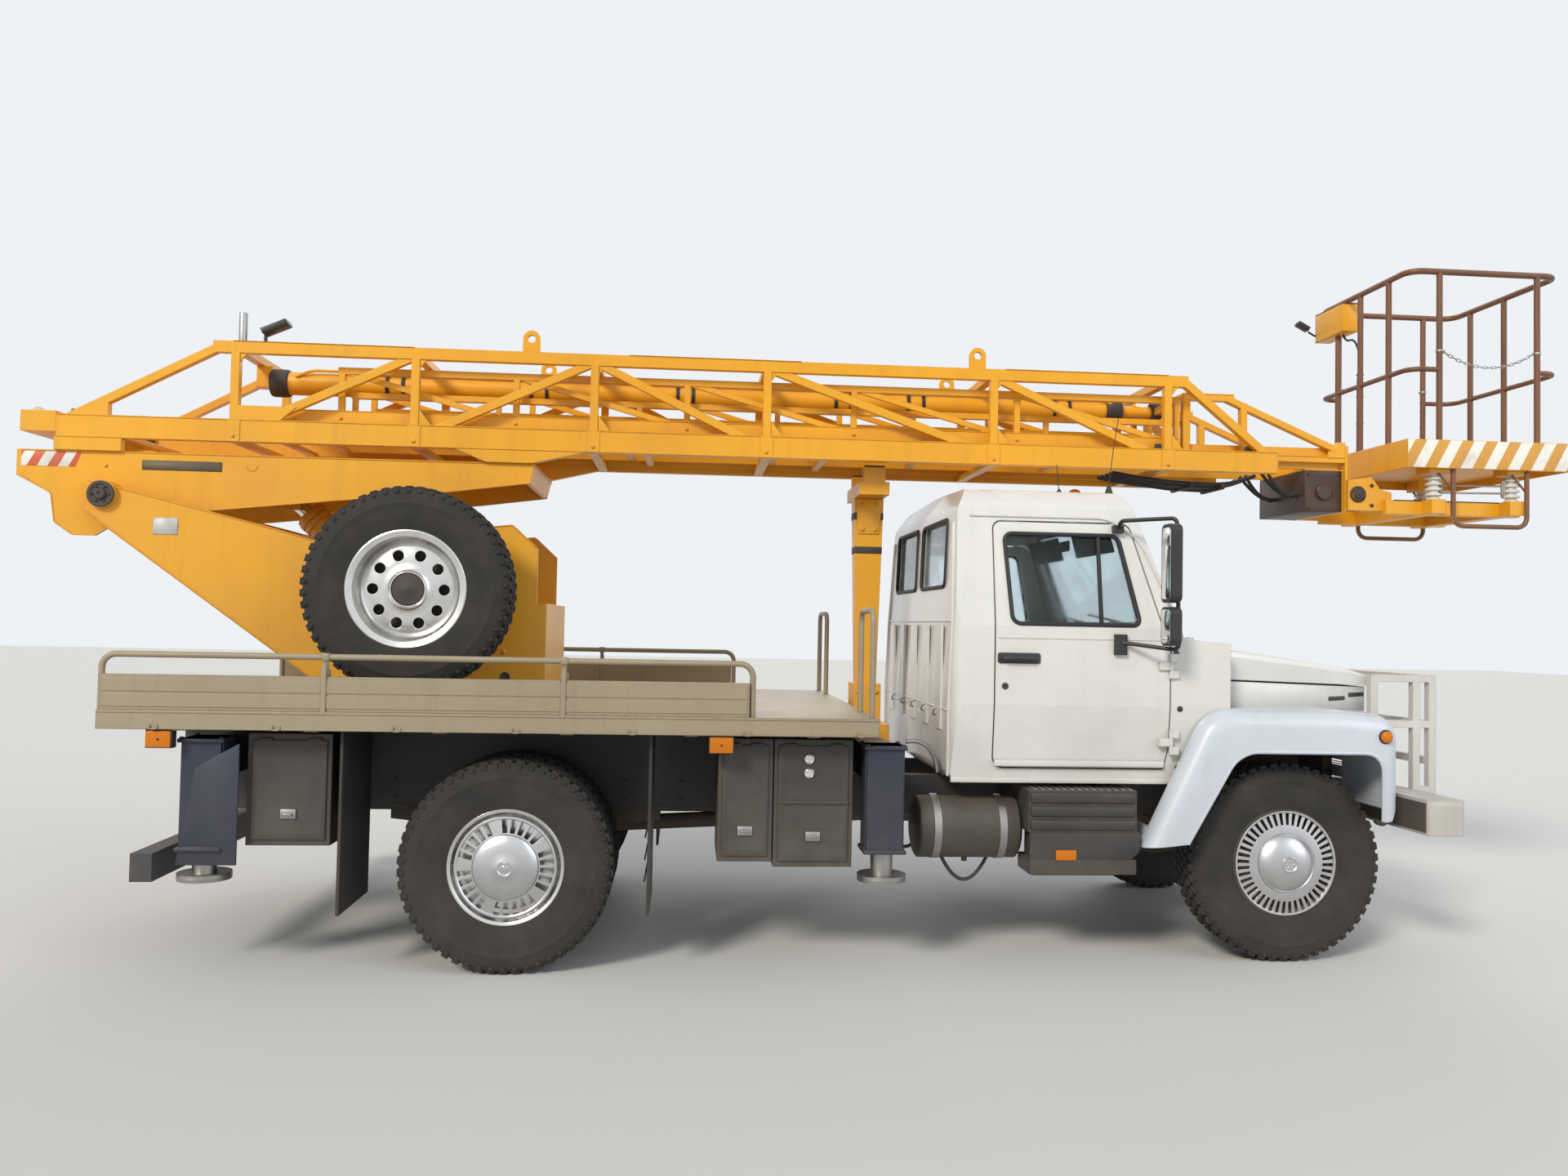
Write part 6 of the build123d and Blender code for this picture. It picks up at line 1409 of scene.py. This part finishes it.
def build_outer_trim():
    flanges = []
    for s in (1, -1):
        y = s * 0.4002
        flanges.append(tube([at(-6.145, y, 2.603), at(0.212, y, 2.603)], 0.0035, 0, 6))
        flanges.append(tube([at(-6.145, y, 2.4935), at(0.212, y, 2.4935)], 0.0035, 0, 6))
        for x in (-5.289, -4.392, -3.478, -2.575, -1.359, -0.400):
            flanges.append(cuboid(at(x - 0.034, y - s * 0.0006, 2.4925),
                        at(x + 0.034, y + s * 0.0034, 2.600), 0.001, 1))
            flanges.append(bolt(at(x, y + s * 0.003, 2.520), (0, s, 0), 0.007))
            gusset = plate(on_side(s * 0.385, (x + 0.020, 2.606), (x + 0.085, 2.606), (x + 0.020, 2.690)),
                        (0, s * 0.010, 0), 0.001)
            flanges.append(gusset)
            top_gusset = plate(on_side(s * 0.385, (x + 0.020, 2.962), (x + 0.075, 2.962),
                        (x + 0.020, 2.900)), (0, s * 0.010, 0), 0.001)
            flanges.append(top_gusset)
        for x in (-5.30, -3.30, -1.30):
            flanges.append(cuboid(at(x, s * 0.355, 3.0045), at(x + 0.90, s * 0.405, 3.0075), 0.001, 1))
    done(joined(flanges), "outer_section_flanges", YELLOW, "boom")
    clamps, pipes = [], []
    ring = spun([(-0.009, 0.0632), (-0.009, 0.0680), (0.009, 0.0680), (0.009, 0.0632), (-0.009, 0.0632)],
                (0, 0, TELESCOPE_Z), (1, 0, 0), 40)
    for x in (-4.62, -3.85, -3.05, -2.17, -1.76, -0.92):
        for step in (0.0, 0.085):
            clamps.append(moved(ring, at(x + step, 0, 0)))
            clamps.append(cuboid(at(x + step - 0.008, -0.074, 2.926), at(x + step + 0.008, 0.074, 2.946),
                        0.003, 1))
    bpy.data.objects.remove(ring)
    done(joined(clamps), "telescope_clamps", RUBBER, "boom")
    for y in (-0.060, 0.060):
        pipes.append(tube([at(-5.10, y, 2.900), at(-5.02, y, 2.936), at(-0.66, y, 2.936),
                    at(-0.58, y, 2.895)], 0.0085, 0.03, 8))
    done(joined(pipes), "telescope_pipes", YELLOW, "boom")
    glands = []
    for x in (-5.238, -0.620):
        glands.append(spun([(0, 0.060), (0, 0.072), (0.012, 0.075), (0.080, 0.075), (0.092, 0.070),
                    (0.096, 0.060)], at(x, 0, TELESCOPE_Z), (1, 0, 0), 40))
    glands.append(around(bolt(at(-0.524, 0, TELESCOPE_Z + 0.054), (1, 0, 0), 0.006, 0.007),
                at(-0.52, 0, TELESCOPE_Z), "X", 8))
    done(joined(glands), "telescope_glands", IRON, "boom")
    pads = []
    for x in (-6.10, -0.45, 0.06):
        for s in (1, -1):
            pads.append(cuboid(at(x, s * 0.330, 2.556), at(x + 0.100, s * 0.3595, 2.640), 0.004))
    done(joined(pads), "slide_pads", BLACK_PLASTIC, "boom")
    pipe = spun([(-0.030, 0.021), (0.120, 0.021), (0.124, 0.019), (0.124, 0.015), (0.0, 0.015)],
                at(-5.262, -0.380, 3.030), (0, 0, 1), 28)
    done(pipe, "boom_stub_pipe", JACK_STEEL, "boom")
    base = cylinder(at(-5.150, -0.380, 3.003), at(-5.150, -0.380, 3.045), 0.009, 12, 0.001)
    neck = tube([at(-5.150, -0.380, 3.035), at(-5.130, -0.380, 3.058), at(-5.105, -0.380, 3.066)], 0.007,
                0.008, 8)
    shell = cuboid((-0.075, -0.045, -0.016), (0.065, 0.045, 0.016), 0.006)
    pick(shell, "FACE", lambda middle, normal: normal.x < -0.9)
    bpy.ops.transform.resize(value=(1, 0.6, 0.6), center_override=(-0.075, 0, 0))
    leave(shell)
    shell.data.transform(Matrix.Translation(at(-5.095, -0.380, 3.086)) @ Matrix.Rotation(math.radians(-24),
            4, "Y"))
    done(joined([base, neck, shell]), "boom_work_lamp", BLACK_PLASTIC, "boom")
    dome = spun([(-0.004, 0.030), (0.006, 0.030), (0.016, 0.026), (0.024, 0.016), (0.027, 0.0)],
                at(-6.263, -0.340, 2.619), (0, 0, 1), 32)
    done(dome, "boom_rear_lamp", CLEAR_LENS, "boom")
    hoses = []
    for y, low in ((-0.16, 2.452), (-0.11, 2.440), (-0.05, 2.446), (0.02, 2.436), (0.08, 2.450)):
        hoses.append(tube([at(-0.62, y, 2.502), at(-0.44, y, 2.474), at(-0.25, y, low + 0.006),
                    at(0.02, y, low), at(0.16, y, 2.482), at(0.205, y, 2.508)], 0.0105, 0.07, 8))
    done(joined(hoses), "boom_hose_bundle", RUBBER, "boom")
    ties = [cuboid(at(x, -0.178, z), at(x + 0.022, 0.098, z + 0.032), 0.004)
            for x, z in ((-0.18, 2.428), (0.0, 2.424))]
    done(joined(ties), "hose_ties", IRON, "boom")


def build_middle_trim():
    rows = []
    for s in (1, -1):
        y = s * 0.3252
        rows.append(tube([at(-5.14, y, 2.677), at(-0.31, y, 2.677)], 0.003, 0, 6))
        for index in range(6):
            x = -4.780 + index * 0.892
            rows.append(bolt(at(x, y, 2.640), (0, s, 0), 0.007))
    done(joined(rows), "middle_section_welds", YELLOW, "middle_section")
    eye = spun([(-0.030, 0.038), (-0.026, 0.056), (0.026, 0.056), (0.030, 0.038)],
               at(-0.320, 0, TELESCOPE_Z), (1, 0, 0), 36)
    done(thicken(eye, 0.002), "telescope_rod_nut", IRON, "middle_section")


def build_head_trim():
    # Dark cover over the head's tip box: partly its own dark paint, partly painted shade.
    cover = cuboid(at(0.4425, -0.2630, 2.3035), at(0.6605, 0.2630, 2.536), 0.006)
    pick(cover, "FACE", lambda middle, normal: abs(normal.y) > 0.95)
    bpy.ops.mesh.inset(thickness=0.025, depth=0, use_individual=True)
    bpy.ops.transform.resize(value=(1, 0.992, 1), center_override=(0, 0, 0))
    leave(cover)
    bits = [cover]
    for s in (1, -1):
        for x, z in ((0.465, 2.325), (0.640, 2.325), (0.465, 2.515), (0.640, 2.515)):
            bits.append(bolt(at(x, s * 0.263, z), (0, s, 0), 0.007))
        bits.append(spun([(0.0, 0.045), (0.012, 0.045), (0.016, 0.040), (0.016, 0.0)],
                    at(0.553, s * 0.262, 2.415), (0, s, 0), 32))
    done(joined(bits), "tip_box_cover", HEAD_BROWN_AND_SHADE, "inner_section")
    hoses = []
    for y, dip in ((-0.20, 0.05), (-0.13, 0.03), (0.05, 0.045), (0.12, 0.02)):
        hoses.append(tube([at(0.250, y, 2.538), at(0.300, y, 2.500 - dip), at(0.370, y, 2.440 - dip),
                    at(0.425, y, 2.400), at(0.448, y, 2.400)], 0.010, 0.045, 8))
    done(joined(hoses), "tip_hoses", RUBBER, "inner_section")
    joints = []
    for s in (1, -1):
        joints.append(spun([(0.0, 0.030), (0.008, 0.030), (0.012, 0.026), (0.012, 0.012), (0.018, 0.010),
                    (0.018, 0.0)], at(0.720, s * 0.329, 2.400), (0, s, 0), 32))
        joints.append(bolt(at(0.671, s * 0.270, 2.62), (1, 0, 0), 0.008))
    done(joined(joints), "basket_pin_heads", IRON, "inner_section")
    rods = []
    for s in (1, -1):
        y = s * 0.2902
        rods.append(tube([at(-0.255, y, 2.934), at(0.010, y, 2.934)], 0.003, 0, 6))
        rods.append(tube([at(-0.250, y, 2.606), at(0.655, y, 2.606)], 0.003, 0, 6))
        rods.append(cuboid(at(0.560, y - s * 0.001, 2.600), at(0.660, y + s * 0.003, 2.640), 0.001, 1))
    done(joined(rods), "head_frame_welds", YELLOW, "inner_section")


ARM_STRIPES = stripe_finish("arm_stripes", (0.78, 0.76, 0.70), (0.62, 0.10, 0.03), 0.100, -0.55, 0.02)
PLATE_GREY = paint_finish("plate_grey_paint", (0.16, 0.12, 0.07), (0.11, 0.09, 0.055), rough=0.6, dust=0.2)
# Dark brown of the tip box cover: partly its own paint, partly painted shade on the head box.
HEAD_BROWN_AND_SHADE = paint_finish("tip_box_paint", (0.055, 0.022, 0.012), (0.035, 0.016, 0.010), rough=0.45,
            dust=0.2, dust_floor=1.0, dust_top=3.0)
build_turret_trim()
build_rest_post_trim()
build_arm_trim()
build_outer_trim()
build_middle_trim()
build_head_trim()

# Basket

CHAIN_LINK = 0.026


def chain_link():
    """One link about the origin, its length along X."""
    points = [(-0.010, 0, -0.0065), (0.010, 0, -0.0065), (0.0165, 0, 0), (0.010, 0, 0.0065),
              (-0.010, 0, 0.0065), (-0.0165, 0, 0)]
    return tube(points, 0.0027, 0.004, 6, closed=True)


def linked(path):
    """Links strung along a path, each turned a quarter from the last."""
    link = chain_link()
    links = []
    walked, index = 0.0, 0
    for start, end in zip(path, path[1:]):
        start, end = Vector(start), Vector(end)
        run = (end - start).length
        while walked < run:
            place = start + (end - start) * (walked / run)
            turn = Vector((1, 0, 0)).rotation_difference(end - start).to_matrix().to_4x4()
            roll = Matrix.Rotation(math.radians(90 * (index % 2) + 20), 4, "X")
            links.append(copy_of(link, Matrix.Translation(place) @ turn @ roll))
            walked += CHAIN_LINK
            index += 1
        walked -= run
    bpy.data.objects.remove(link)
    return joined(links)


def build_basket_chains():
    near = []
    for step in range(25):
        t = step / 24
        near.append(at(1.118 + 0.530 * t, -0.4587, 3.182 + 0.006 * t - 0.340 * t * (1 - t)))
    far = [at(1.590, 0.4587, z) for z in (3.140, 3.000, 2.760)]
    rings = []
    for x, y, z in ((1.100, -0.4587, 3.182), (1.665, -0.4587, 3.188), (1.600, 0.4587, 3.150),
                (1.050, 0.4587, 3.150)):
        rings.append(spun([(-0.006, 0.0165), (-0.006, 0.0195), (0.006, 0.0195), (0.006, 0.0165),
                    (-0.006, 0.0165)], at(x, y, z), (0, 0, 1), 24))
        way = 1 if x < 1.3 else -1
        rings.append(tube([at(x + way * 0.017, y, z + 0.003), at(x + way * 0.026, y, z + 0.003),
                    at(x + way * 0.026, y, z - 0.006), at(x + way * 0.017, y, z - 0.006)], 0.0026, 0.003, 6))
    done(joined([linked(near), linked(far)] + rings), "entrance_chains", JACK_STEEL, "basket")


def build_basket_trim():
    for s, side in ((-1, "right"), (1, "left")):
        skirt = blank_plate([at(x, s * 0.4902, z) for x, z in
                    ((0.902, 2.537), (1.838, 2.537), (1.838, 2.688), (0.902, 2.688))],
                    (0, s * 0.0012, 0), 0.003)
        done(skirt, "skirt_stripes_" + side, SKIRT_STRIPES, "basket")
    hoops = []
    for s in (1, -1):
        hoops.append(tube([at(x, s * 0.460, z) for x, z in
                    ((1.180, 2.533), (1.180, 2.225), (1.604, 2.225), (1.604, 2.533))], 0.0128, 0.055, 12))
        for x, way in ((1.180, -1), (1.604, -1)):
            hoops.append(tube([at(x, s * 0.452, 2.420), at(x + way * 0.085, s * 0.440, 2.530)], 0.006, 0, 8))
    done(joined(hoops), "step_hoops", RAIL_BRONZE, "basket")
    rods = []
    for s in (1, -1):
        for z in (2.412, 2.452):
            rods.append(tube([at(1.140, s * 0.395, z), at(1.520, s * 0.395, z + 0.006)], 0.0055, 0, 8))
        for x in (1.150, 1.510):
            rods.append(cylinder(at(x, s * 0.395, 2.396), at(x, s * 0.395, 2.470), 0.009, 12, 0.001))
    done(joined(rods), "platform_brace_rods", JACK_STEEL, "basket")
    sheds = [(0.0, 0.034), (0.010, 0.034), (0.014, 0.026)]
    for index in range(4):
        z = 0.020 + index * 0.030
        sheds += [(z, 0.026), (z + 0.003, 0.0425), (z + 0.007, 0.0440), (z + 0.011, 0.0425),
                  (z + 0.020, 0.028)]
    sheds += [(0.140, 0.026), (0.1440, 0.034), (0.1450, 0.034)]
    model = spun(sheds, (0, 0, 0), (0, 0, 1), 36)
    stacks = [moved(model, at(x, s * 0.400, 2.370)) for x in (1.105, 1.555) for s in (1, -1)]
    bpy.data.objects.remove(model)
    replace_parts(done(joined(stacks), "ribbed_insulators", CERAMIC, "basket"), "insulators")
    box = cuboid(at(0.8935, 0.1475, 3.4325), at(0.9935, 0.4560, 3.6030), 0.010, 3)
    lid = cuboid(at(0.9930, 0.165, 3.448), at(0.9960, 0.440, 3.590), 0.001, 1)
    done(joined([box, lid]), "control_box_cover", YELLOW, "basket")
    knobs = []
    for y, kind in ((0.195, 0), (0.250, 1), (0.305, 1), (0.360, 1), (0.415, 0)):
        centre = at(0.9955, y, 3.545 if kind else 3.525)
        knobs.append(spun([(-0.001, 0.015), (0.004, 0.015), (0.006, 0.011), (0.007, 0.006)], centre,
                    (1, 0, 0.35), 20))
        if kind:
            knobs.append(spun([(0.006, 0.004), (0.034, 0.004), (0.036, 0.009), (0.048, 0.010),
                        (0.052, 0.006), (0.053, 0.0)], centre, (1, 0, 0.35), 16))
        else:
            knobs.append(spun([(0.006, 0.010), (0.014, 0.012), (0.018, 0.010), (0.019, 0.0)], centre,
                        (1, 0, 0.35), 20))
    done(joined(knobs), "control_levers", BLACK_PLASTIC, "basket")
    post = tube([at(0.931, 0.020, 2.604), at(0.931, 0.020, 3.612)], 0.016, 0, 16)
    feet = []
    for x, y in ((0.931, 0.020), (0.931, -0.260), (0.931, 0.260), (1.790, -0.020), (1.790, 0.280),
                (1.050, 0.4587), (1.600, 0.4587), (1.100, -0.4587), (1.665, -0.4587)):
        feet.append(spun([(0.0, 0.0245), (0.005, 0.0245), (0.012, 0.0180), (0.018, 0.0163), (0.018, 0.0150),
                    (0.0, 0.0150)], at(x, y, 2.600), (0, 0, 1), 24))
    done(joined([post] + feet), "basket_post_feet", RAIL_BRONZE, "basket")
    studs = []
    stud = cuboid((-0.016, -0.0025, 2.6030), (0.016, 0.0025, 2.6062), 0.0008, 1)
    turned = copy_of(stud, Matrix.Rotation(math.radians(45), 4, "Z"))
    crossed = copy_of(stud, Matrix.Rotation(math.radians(-45), 4, "Z"))
    for row in range(16):
        studs.append(row_of(moved(turned if row % 2 else crossed, at(0.990 + row * 0.048, -0.400, 0)),
                    (0, 0.0505, 0), 17))
    for model in (stud, turned, crossed):
        bpy.data.objects.remove(model)
    done(joined(studs), "platform_tread_studs", YELLOW, "basket")
    lamp_arm = tube([at(0.925, 0.452, 3.470), at(0.900, 0.462, 3.478), at(0.850, 0.462, 3.505)], 0.006,
                0.012, 8)
    lamp = cuboid((-0.048, -0.026, -0.014), (0.036, 0.026, 0.014), 0.005)
    pick(lamp, "FACE", lambda middle, normal: normal.x > 0.9)
    bpy.ops.transform.resize(value=(1, 0.6, 0.6), center_override=(0.036, 0, 0))
    leave(lamp)
    lamp.data.transform(Matrix.Translation(at(0.808, 0.440, 3.528)) @ Matrix.Rotation(math.radians(28), 4,
            "Y"))
    done(joined([lamp_arm, lamp]), "basket_lamp", BLACK_PLASTIC, "basket")


def build_basket_bracket():
    bits = []
    for s in (1, -1):
        y = s * 0.3182
        bits.append(spun([(0.0, 0.046), (0.004, 0.046), (0.007, 0.042), (0.007, 0.034), (0.0, 0.034)],
                    at(0.720, y, 2.400), (0, s, 0), 36))
        for x, z in ((0.800, 2.450), (0.800, 2.340), (0.885, 2.340)):
            bits.append(bolt(at(x, y, z), (0, s, 0), 0.008))
        bits.append(tube([at(0.905, s * 0.357, 2.369), at(1.635, s * 0.357, 2.369)], 0.003, 0, 6))
    done(joined(bits), "basket_bracket_bolts", IRON, "basket")


SKIRT_STRIPES = stripe_finish("skirt_stripes", (0.80, 0.78, 0.70), (0.62, 0.30, 0.04), 0.135, -0.54, 0.055,
            rough=0.5)
build_basket_chains()
build_basket_trim()
build_basket_bracket()
finish_cable()

# Cab interior


def stuffed(low, high, name, channels=(), axis=0, depth=0.009):
    """Seat pad in stretched cloth, swollen from a box, with sewn channels across it."""
    pad = cuboid(low, high, 0.030, 4)
    grid = pad.modifiers.new("grid", "REMESH")
    grid.mode = "VOXEL"
    grid.voxel_size = 0.014
    only(pad)
    bpy.ops.object.modifier_apply(modifier=grid.name)
    start = [vertex.co.copy() for vertex in pad.data.vertices]
    cloth = pad.modifiers.new("cloth", "CLOTH")
    cloth.settings.use_pressure = True
    cloth.settings.uniform_pressure_force = 4
    cloth.settings.effector_weights.gravity = 0
    cloth.settings.quality = 4
    for step in range(1, 21):
        bpy.context.scene.frame_set(step)
    only(pad)
    bpy.ops.object.modifier_apply(modifier=cloth.name)
    bpy.context.scene.frame_set(1)
    for vertex, before in zip(pad.data.vertices, start):
        step = vertex.co - before
        if step.length > 0.014:
            vertex.co = before + step * (0.014 / step.length)
    finer = pad.modifiers.new("finer", "SUBSURF")
    finer.levels = 1
    finer.render_levels = 1
    bpy.ops.object.modifier_apply(modifier=finer.name)
    centre = (Vector(low) + Vector(high)) / 2
    for vertex in pad.data.vertices:
        for channel in channels:
            gap = abs(vertex.co[axis] - channel)
            if gap < 0.030:
                pull = depth * math.exp(-(gap / 0.008) ** 2)
                vertex.co += (centre - vertex.co).normalized() * pull
    done(pad, name, SEAT_CLOTH, "chassis", 60)
    return pad


def seat_finish():
    """Woven seat cloth, grey and a little worn."""
    material, tree, shader = new_material("seat_cloth")
    place = add_node(tree, "TexCoord")
    tone = use(tree, CLOUDS, {"Scale": 9.0, "Low": 0.35, "High": 0.75})
    warp = add_node(tree, "TexWave", {"Scale": 160.0, "Distortion": 0.4},
                {"Vector": place.outputs["Object"]})
    base = blend_colour(tree, tone.outputs["Mask"], (0.060, 0.058, 0.062), (0.100, 0.094, 0.090))
    base = blend_colour(tree, ease(tree, warp.outputs["Fac"], 0.0, 0.35), base, (0.030, 0.029, 0.032))
    tree.links.new(base, shader.inputs["Base Color"])
    shader.inputs["Roughness"].default_value = 0.9
    bump = add_node(tree, "Bump", {"Strength": 0.3, "Distance": 0.001}, {"Height": warp.outputs["Fac"]})
    tree.links.new(bump.outputs["Normal"], shader.inputs["Normal"])
    return material


def build_seats():
    bases = []
    for y, half in ((0.380, 0.240), (-0.330, 0.330)):
        bases.append(cuboid(at(-1.505, y - half + 0.02, 0.916), at(-1.085, y + half - 0.02, 1.120), 0.012))
        bases.append(cuboid(at(-1.640, y - half + 0.02, 1.180), at(-1.625, y + half - 0.02, 1.760), 0.005))
        for dy in (-half + 0.04, half - 0.04):
            bases.append(tube([at(-1.500, y + dy, 1.105), at(-1.628, y + dy, 1.140),
                        at(-1.632, y + dy, 1.700)], 0.012, 0.04, 8))
    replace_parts(done(joined(bases), "seat_frames", BLACK_PLASTIC, "chassis"), "cab_interior")
    for side, y, half in (("driver", 0.380, 0.240), ("bench", -0.330, 0.330)):
        stuffed(at(-1.510, y - half + 0.015, 1.124), at(-1.070, y + half - 0.015, 1.280), side + "_seat_pad",
                [forward(x) for x in (-1.40, -1.28, -1.16)])
        stuffed(at(-1.610, y - half + 0.015, 1.310), at(-1.530, y + half - 0.015, 1.800),
                side + "_seat_back", (1.42, 1.54, 1.66), axis=2)


def build_dash():
    profile = [(-0.358, 1.195), (-0.358, 1.495), (-0.440, 1.512), (-0.600, 1.506), (-0.640, 1.490),
               (-0.722, 1.402), (-0.715, 1.340), (-0.690, 1.195)]
    panel = plate([at(x, -0.825, z) for x, z in profile], (0, 1.650, 0), 0.010, 0.012)
    hood = plate([at(x, 0.200, z)
                for x, z in ((-0.480, 1.505), (-0.500, 1.560), (-0.640, 1.552), (-0.705, 1.512),
                (-0.700, 1.470), (-0.660, 1.470))], (0, 0.360, 0), 0.008, 0.010)
    bits = [panel, hood]
    for y, radius in ((0.290, 0.045), (0.380, 0.030), (0.470, 0.045)):
        bits.append(spun([(-0.004, radius), (0.006, radius), (0.006, radius - 0.005),
                    (0.001, radius - 0.006), (0.001, 0.0)], at(-0.697, y, 1.478), (-0.9, 0, 0.45), 32))
    for index in range(5):
        bits.append(cuboid(at(-0.728, -0.52, 1.355 + index * 0.011),
                    at(-0.716, -0.22, 1.361 + index * 0.011), 0.001, 1))
    for y in (0.02, 0.06, 0.10):
        bits.append(cylinder(at(-0.700, y, 1.385), at(-0.735, y, 1.372), 0.012, 16, 0.002))
    bits.append(cuboid(at(-0.733, -0.66, 1.300), at(-0.712, -0.58, 1.400), 0.004))
    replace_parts(done(joined(bits), "dashboard", TRIM_GREY, "chassis"), "cab_interior")
    centre, axis = Vector(at(-0.850, 0.380, 1.530)), Vector((-0.5, 0, 0.866))
    across = Vector((0, 1, 0))
    up = axis.cross(across)
    ring = [(math.sin(a) * 0.014, 0.199 + math.cos(a) * 0.014)
            for a in (step * math.pi / 5 for step in range(11))]
    wheel = [spun(ring, centre, axis, 56)]
    wheel.append(spun([(-0.040, 0.045), (-0.030, 0.056), (-0.006, 0.058), (0.006, 0.050), (0.010, 0.034),
                (0.011, 0.0)], centre, axis, 36))
    for angle in (200, 340, 90):
        out = across * math.cos(math.radians(angle)) + up * math.sin(math.radians(angle))
        wheel.append(tube([tuple(centre + out * r - axis * d)
                    for r, d in ((0.040, 0.020), (0.110, 0.020), (0.198, 0.002))], 0.010, 0.03, 8))
    wheel.append(cylinder(centre - axis * 0.030, centre + Vector((0.160, 0, -0.278)), 0.028, 24, 0.003))
    wheel.append(tube([tuple(centre - axis * 0.050 + across * 0.03),
                tuple(centre - axis * 0.060 + across * 0.17)], 0.006, 0, 8))
    lever = tube([at(-0.93, 0.040, 0.935), at(-0.945, 0.040, 1.180), at(-0.985, 0.050, 1.330)], 0.009, 0.06,
                10)
    knob = spun([(0.0, 0.010), (0.010, 0.020), (0.028, 0.024), (0.044, 0.018), (0.050, 0.0)],
                at(-0.985, 0.050, 1.325), (-0.2, 0, 1), 24)
    boot = spun([(0.0, 0.085), (0.020, 0.080), (0.035, 0.050), (0.060, 0.045), (0.075, 0.022),
                (0.090, 0.012)], at(-0.93, 0.040, 0.916), (0, 0, 1), 28)
    done(joined(wheel + [lever, knob, boot]), "steering_wheel", BLACK_PLASTIC, "chassis")
    pedals = []
    for y in (0.250, 0.370, 0.490):
        pad = cuboid(at(-0.700, y - 0.030, 1.000), at(-0.690, y + 0.030, 1.075), 0.004)
        pedals += [pad, tube([at(-0.690, y, 1.040), at(-0.640, y, 1.060), at(-0.600, y, 1.220)], 0.007, 0.02,
                    8)]
    done(joined(pedals), "pedals", IRON, "chassis")
    mat = cuboid(at(-1.640, -0.840, 0.9155), at(-0.560, 0.840, 0.922), 0.002, 1)
    visors = []
    for y0, y1 in ((-0.70, -0.12), (0.12, 0.70)):
        visors.append(plate([at(x, y0, z)
                    for x, z in ((-0.845, 2.150), (-0.838, 2.152), (-0.800, 2.020), (-0.808, 2.016))],
                    (0, y1 - y0, 0), 0.003))
    glass = cuboid(at(-0.850, -0.090, 2.060), at(-0.835, 0.090, 2.120), 0.005)
    done(joined([mat] + visors + [glass]), "floor_mat_and_visors", RUBBER, "chassis")


SEAT_CLOTH = seat_finish()
build_seats()
build_dash()

# Floor, backdrop and light


def stage_material(name, colour):
    """Plain matt finish for the floor."""
    material, _, shader = new_material(name)
    shader.inputs["Base Color"].default_value = (*colour, 1)
    shader.inputs["Roughness"].default_value = 0.9
    return material


def add_stage():
    only()
    bpy.ops.mesh.primitive_plane_add(size=80, location=(0, 10, 0))
    floor = seat(bpy.context.object)
    floor.name = "floor"
    floor.data.materials.append(stage_material("pale_floor", (0.62, 0.61, 0.59)))
    world = bpy.data.worlds.new("studio")
    bpy.context.scene.world = world
    world.use_nodes = True
    tree = world.node_tree
    sky = tree.nodes["Background"]
    sky.inputs["Color"].default_value = (0.86, 0.92, 1.0, 1)
    sky.inputs["Strength"].default_value = 0.55
    backdrop = tree.nodes.new("ShaderNodeBackground")
    backdrop.inputs["Color"].default_value = (0.90, 0.93, 0.96, 1)
    backdrop.inputs["Strength"].default_value = 0.95
    rays = tree.nodes.new("ShaderNodeLightPath")
    seen = add_node(tree, "Math", None, {0: rays.outputs["Is Camera Ray"], 1: rays.outputs["Is Glossy Ray"]},
                operation="MAXIMUM")
    seen = add_node(tree, "Math", None, {0: seen.outputs["Value"], 1: rays.outputs["Is Transmission Ray"]},
                operation="MAXIMUM")
    mix = tree.nodes.new("ShaderNodeMixShader")
    tree.links.new(seen.outputs["Value"], mix.inputs["Fac"])
    tree.links.new(sky.outputs["Background"], mix.inputs[1])
    tree.links.new(backdrop.outputs["Background"], mix.inputs[2])
    tree.links.new(mix.outputs["Shader"], tree.nodes["World Output"].inputs["Surface"])


def add_sun(name, direction, energy, angle, colour):
    data = bpy.data.lights.new(name, "SUN")
    data.energy = energy
    data.angle = math.radians(angle)
    data.color = colour
    lamp = bpy.data.objects.new(name, data)
    lamp.rotation_euler = Vector(direction).to_track_quat("-Z", "Y").to_euler()
    bpy.context.scene.collection.objects.link(lamp)


add_stage()
bpy.context.scene.view_settings.view_transform = "Standard"
add_sun("key", (0.55, 0.75, -0.62), 2.3, 14, (1.0, 0.95, 0.86))
add_sun("fill", (-0.6, 0.5, -0.35), 0.7, 40, (0.86, 0.92, 1.0))
add_sun("back", (-0.2, -0.8, -0.5), 0.8, 40, (1.0, 0.97, 0.92))
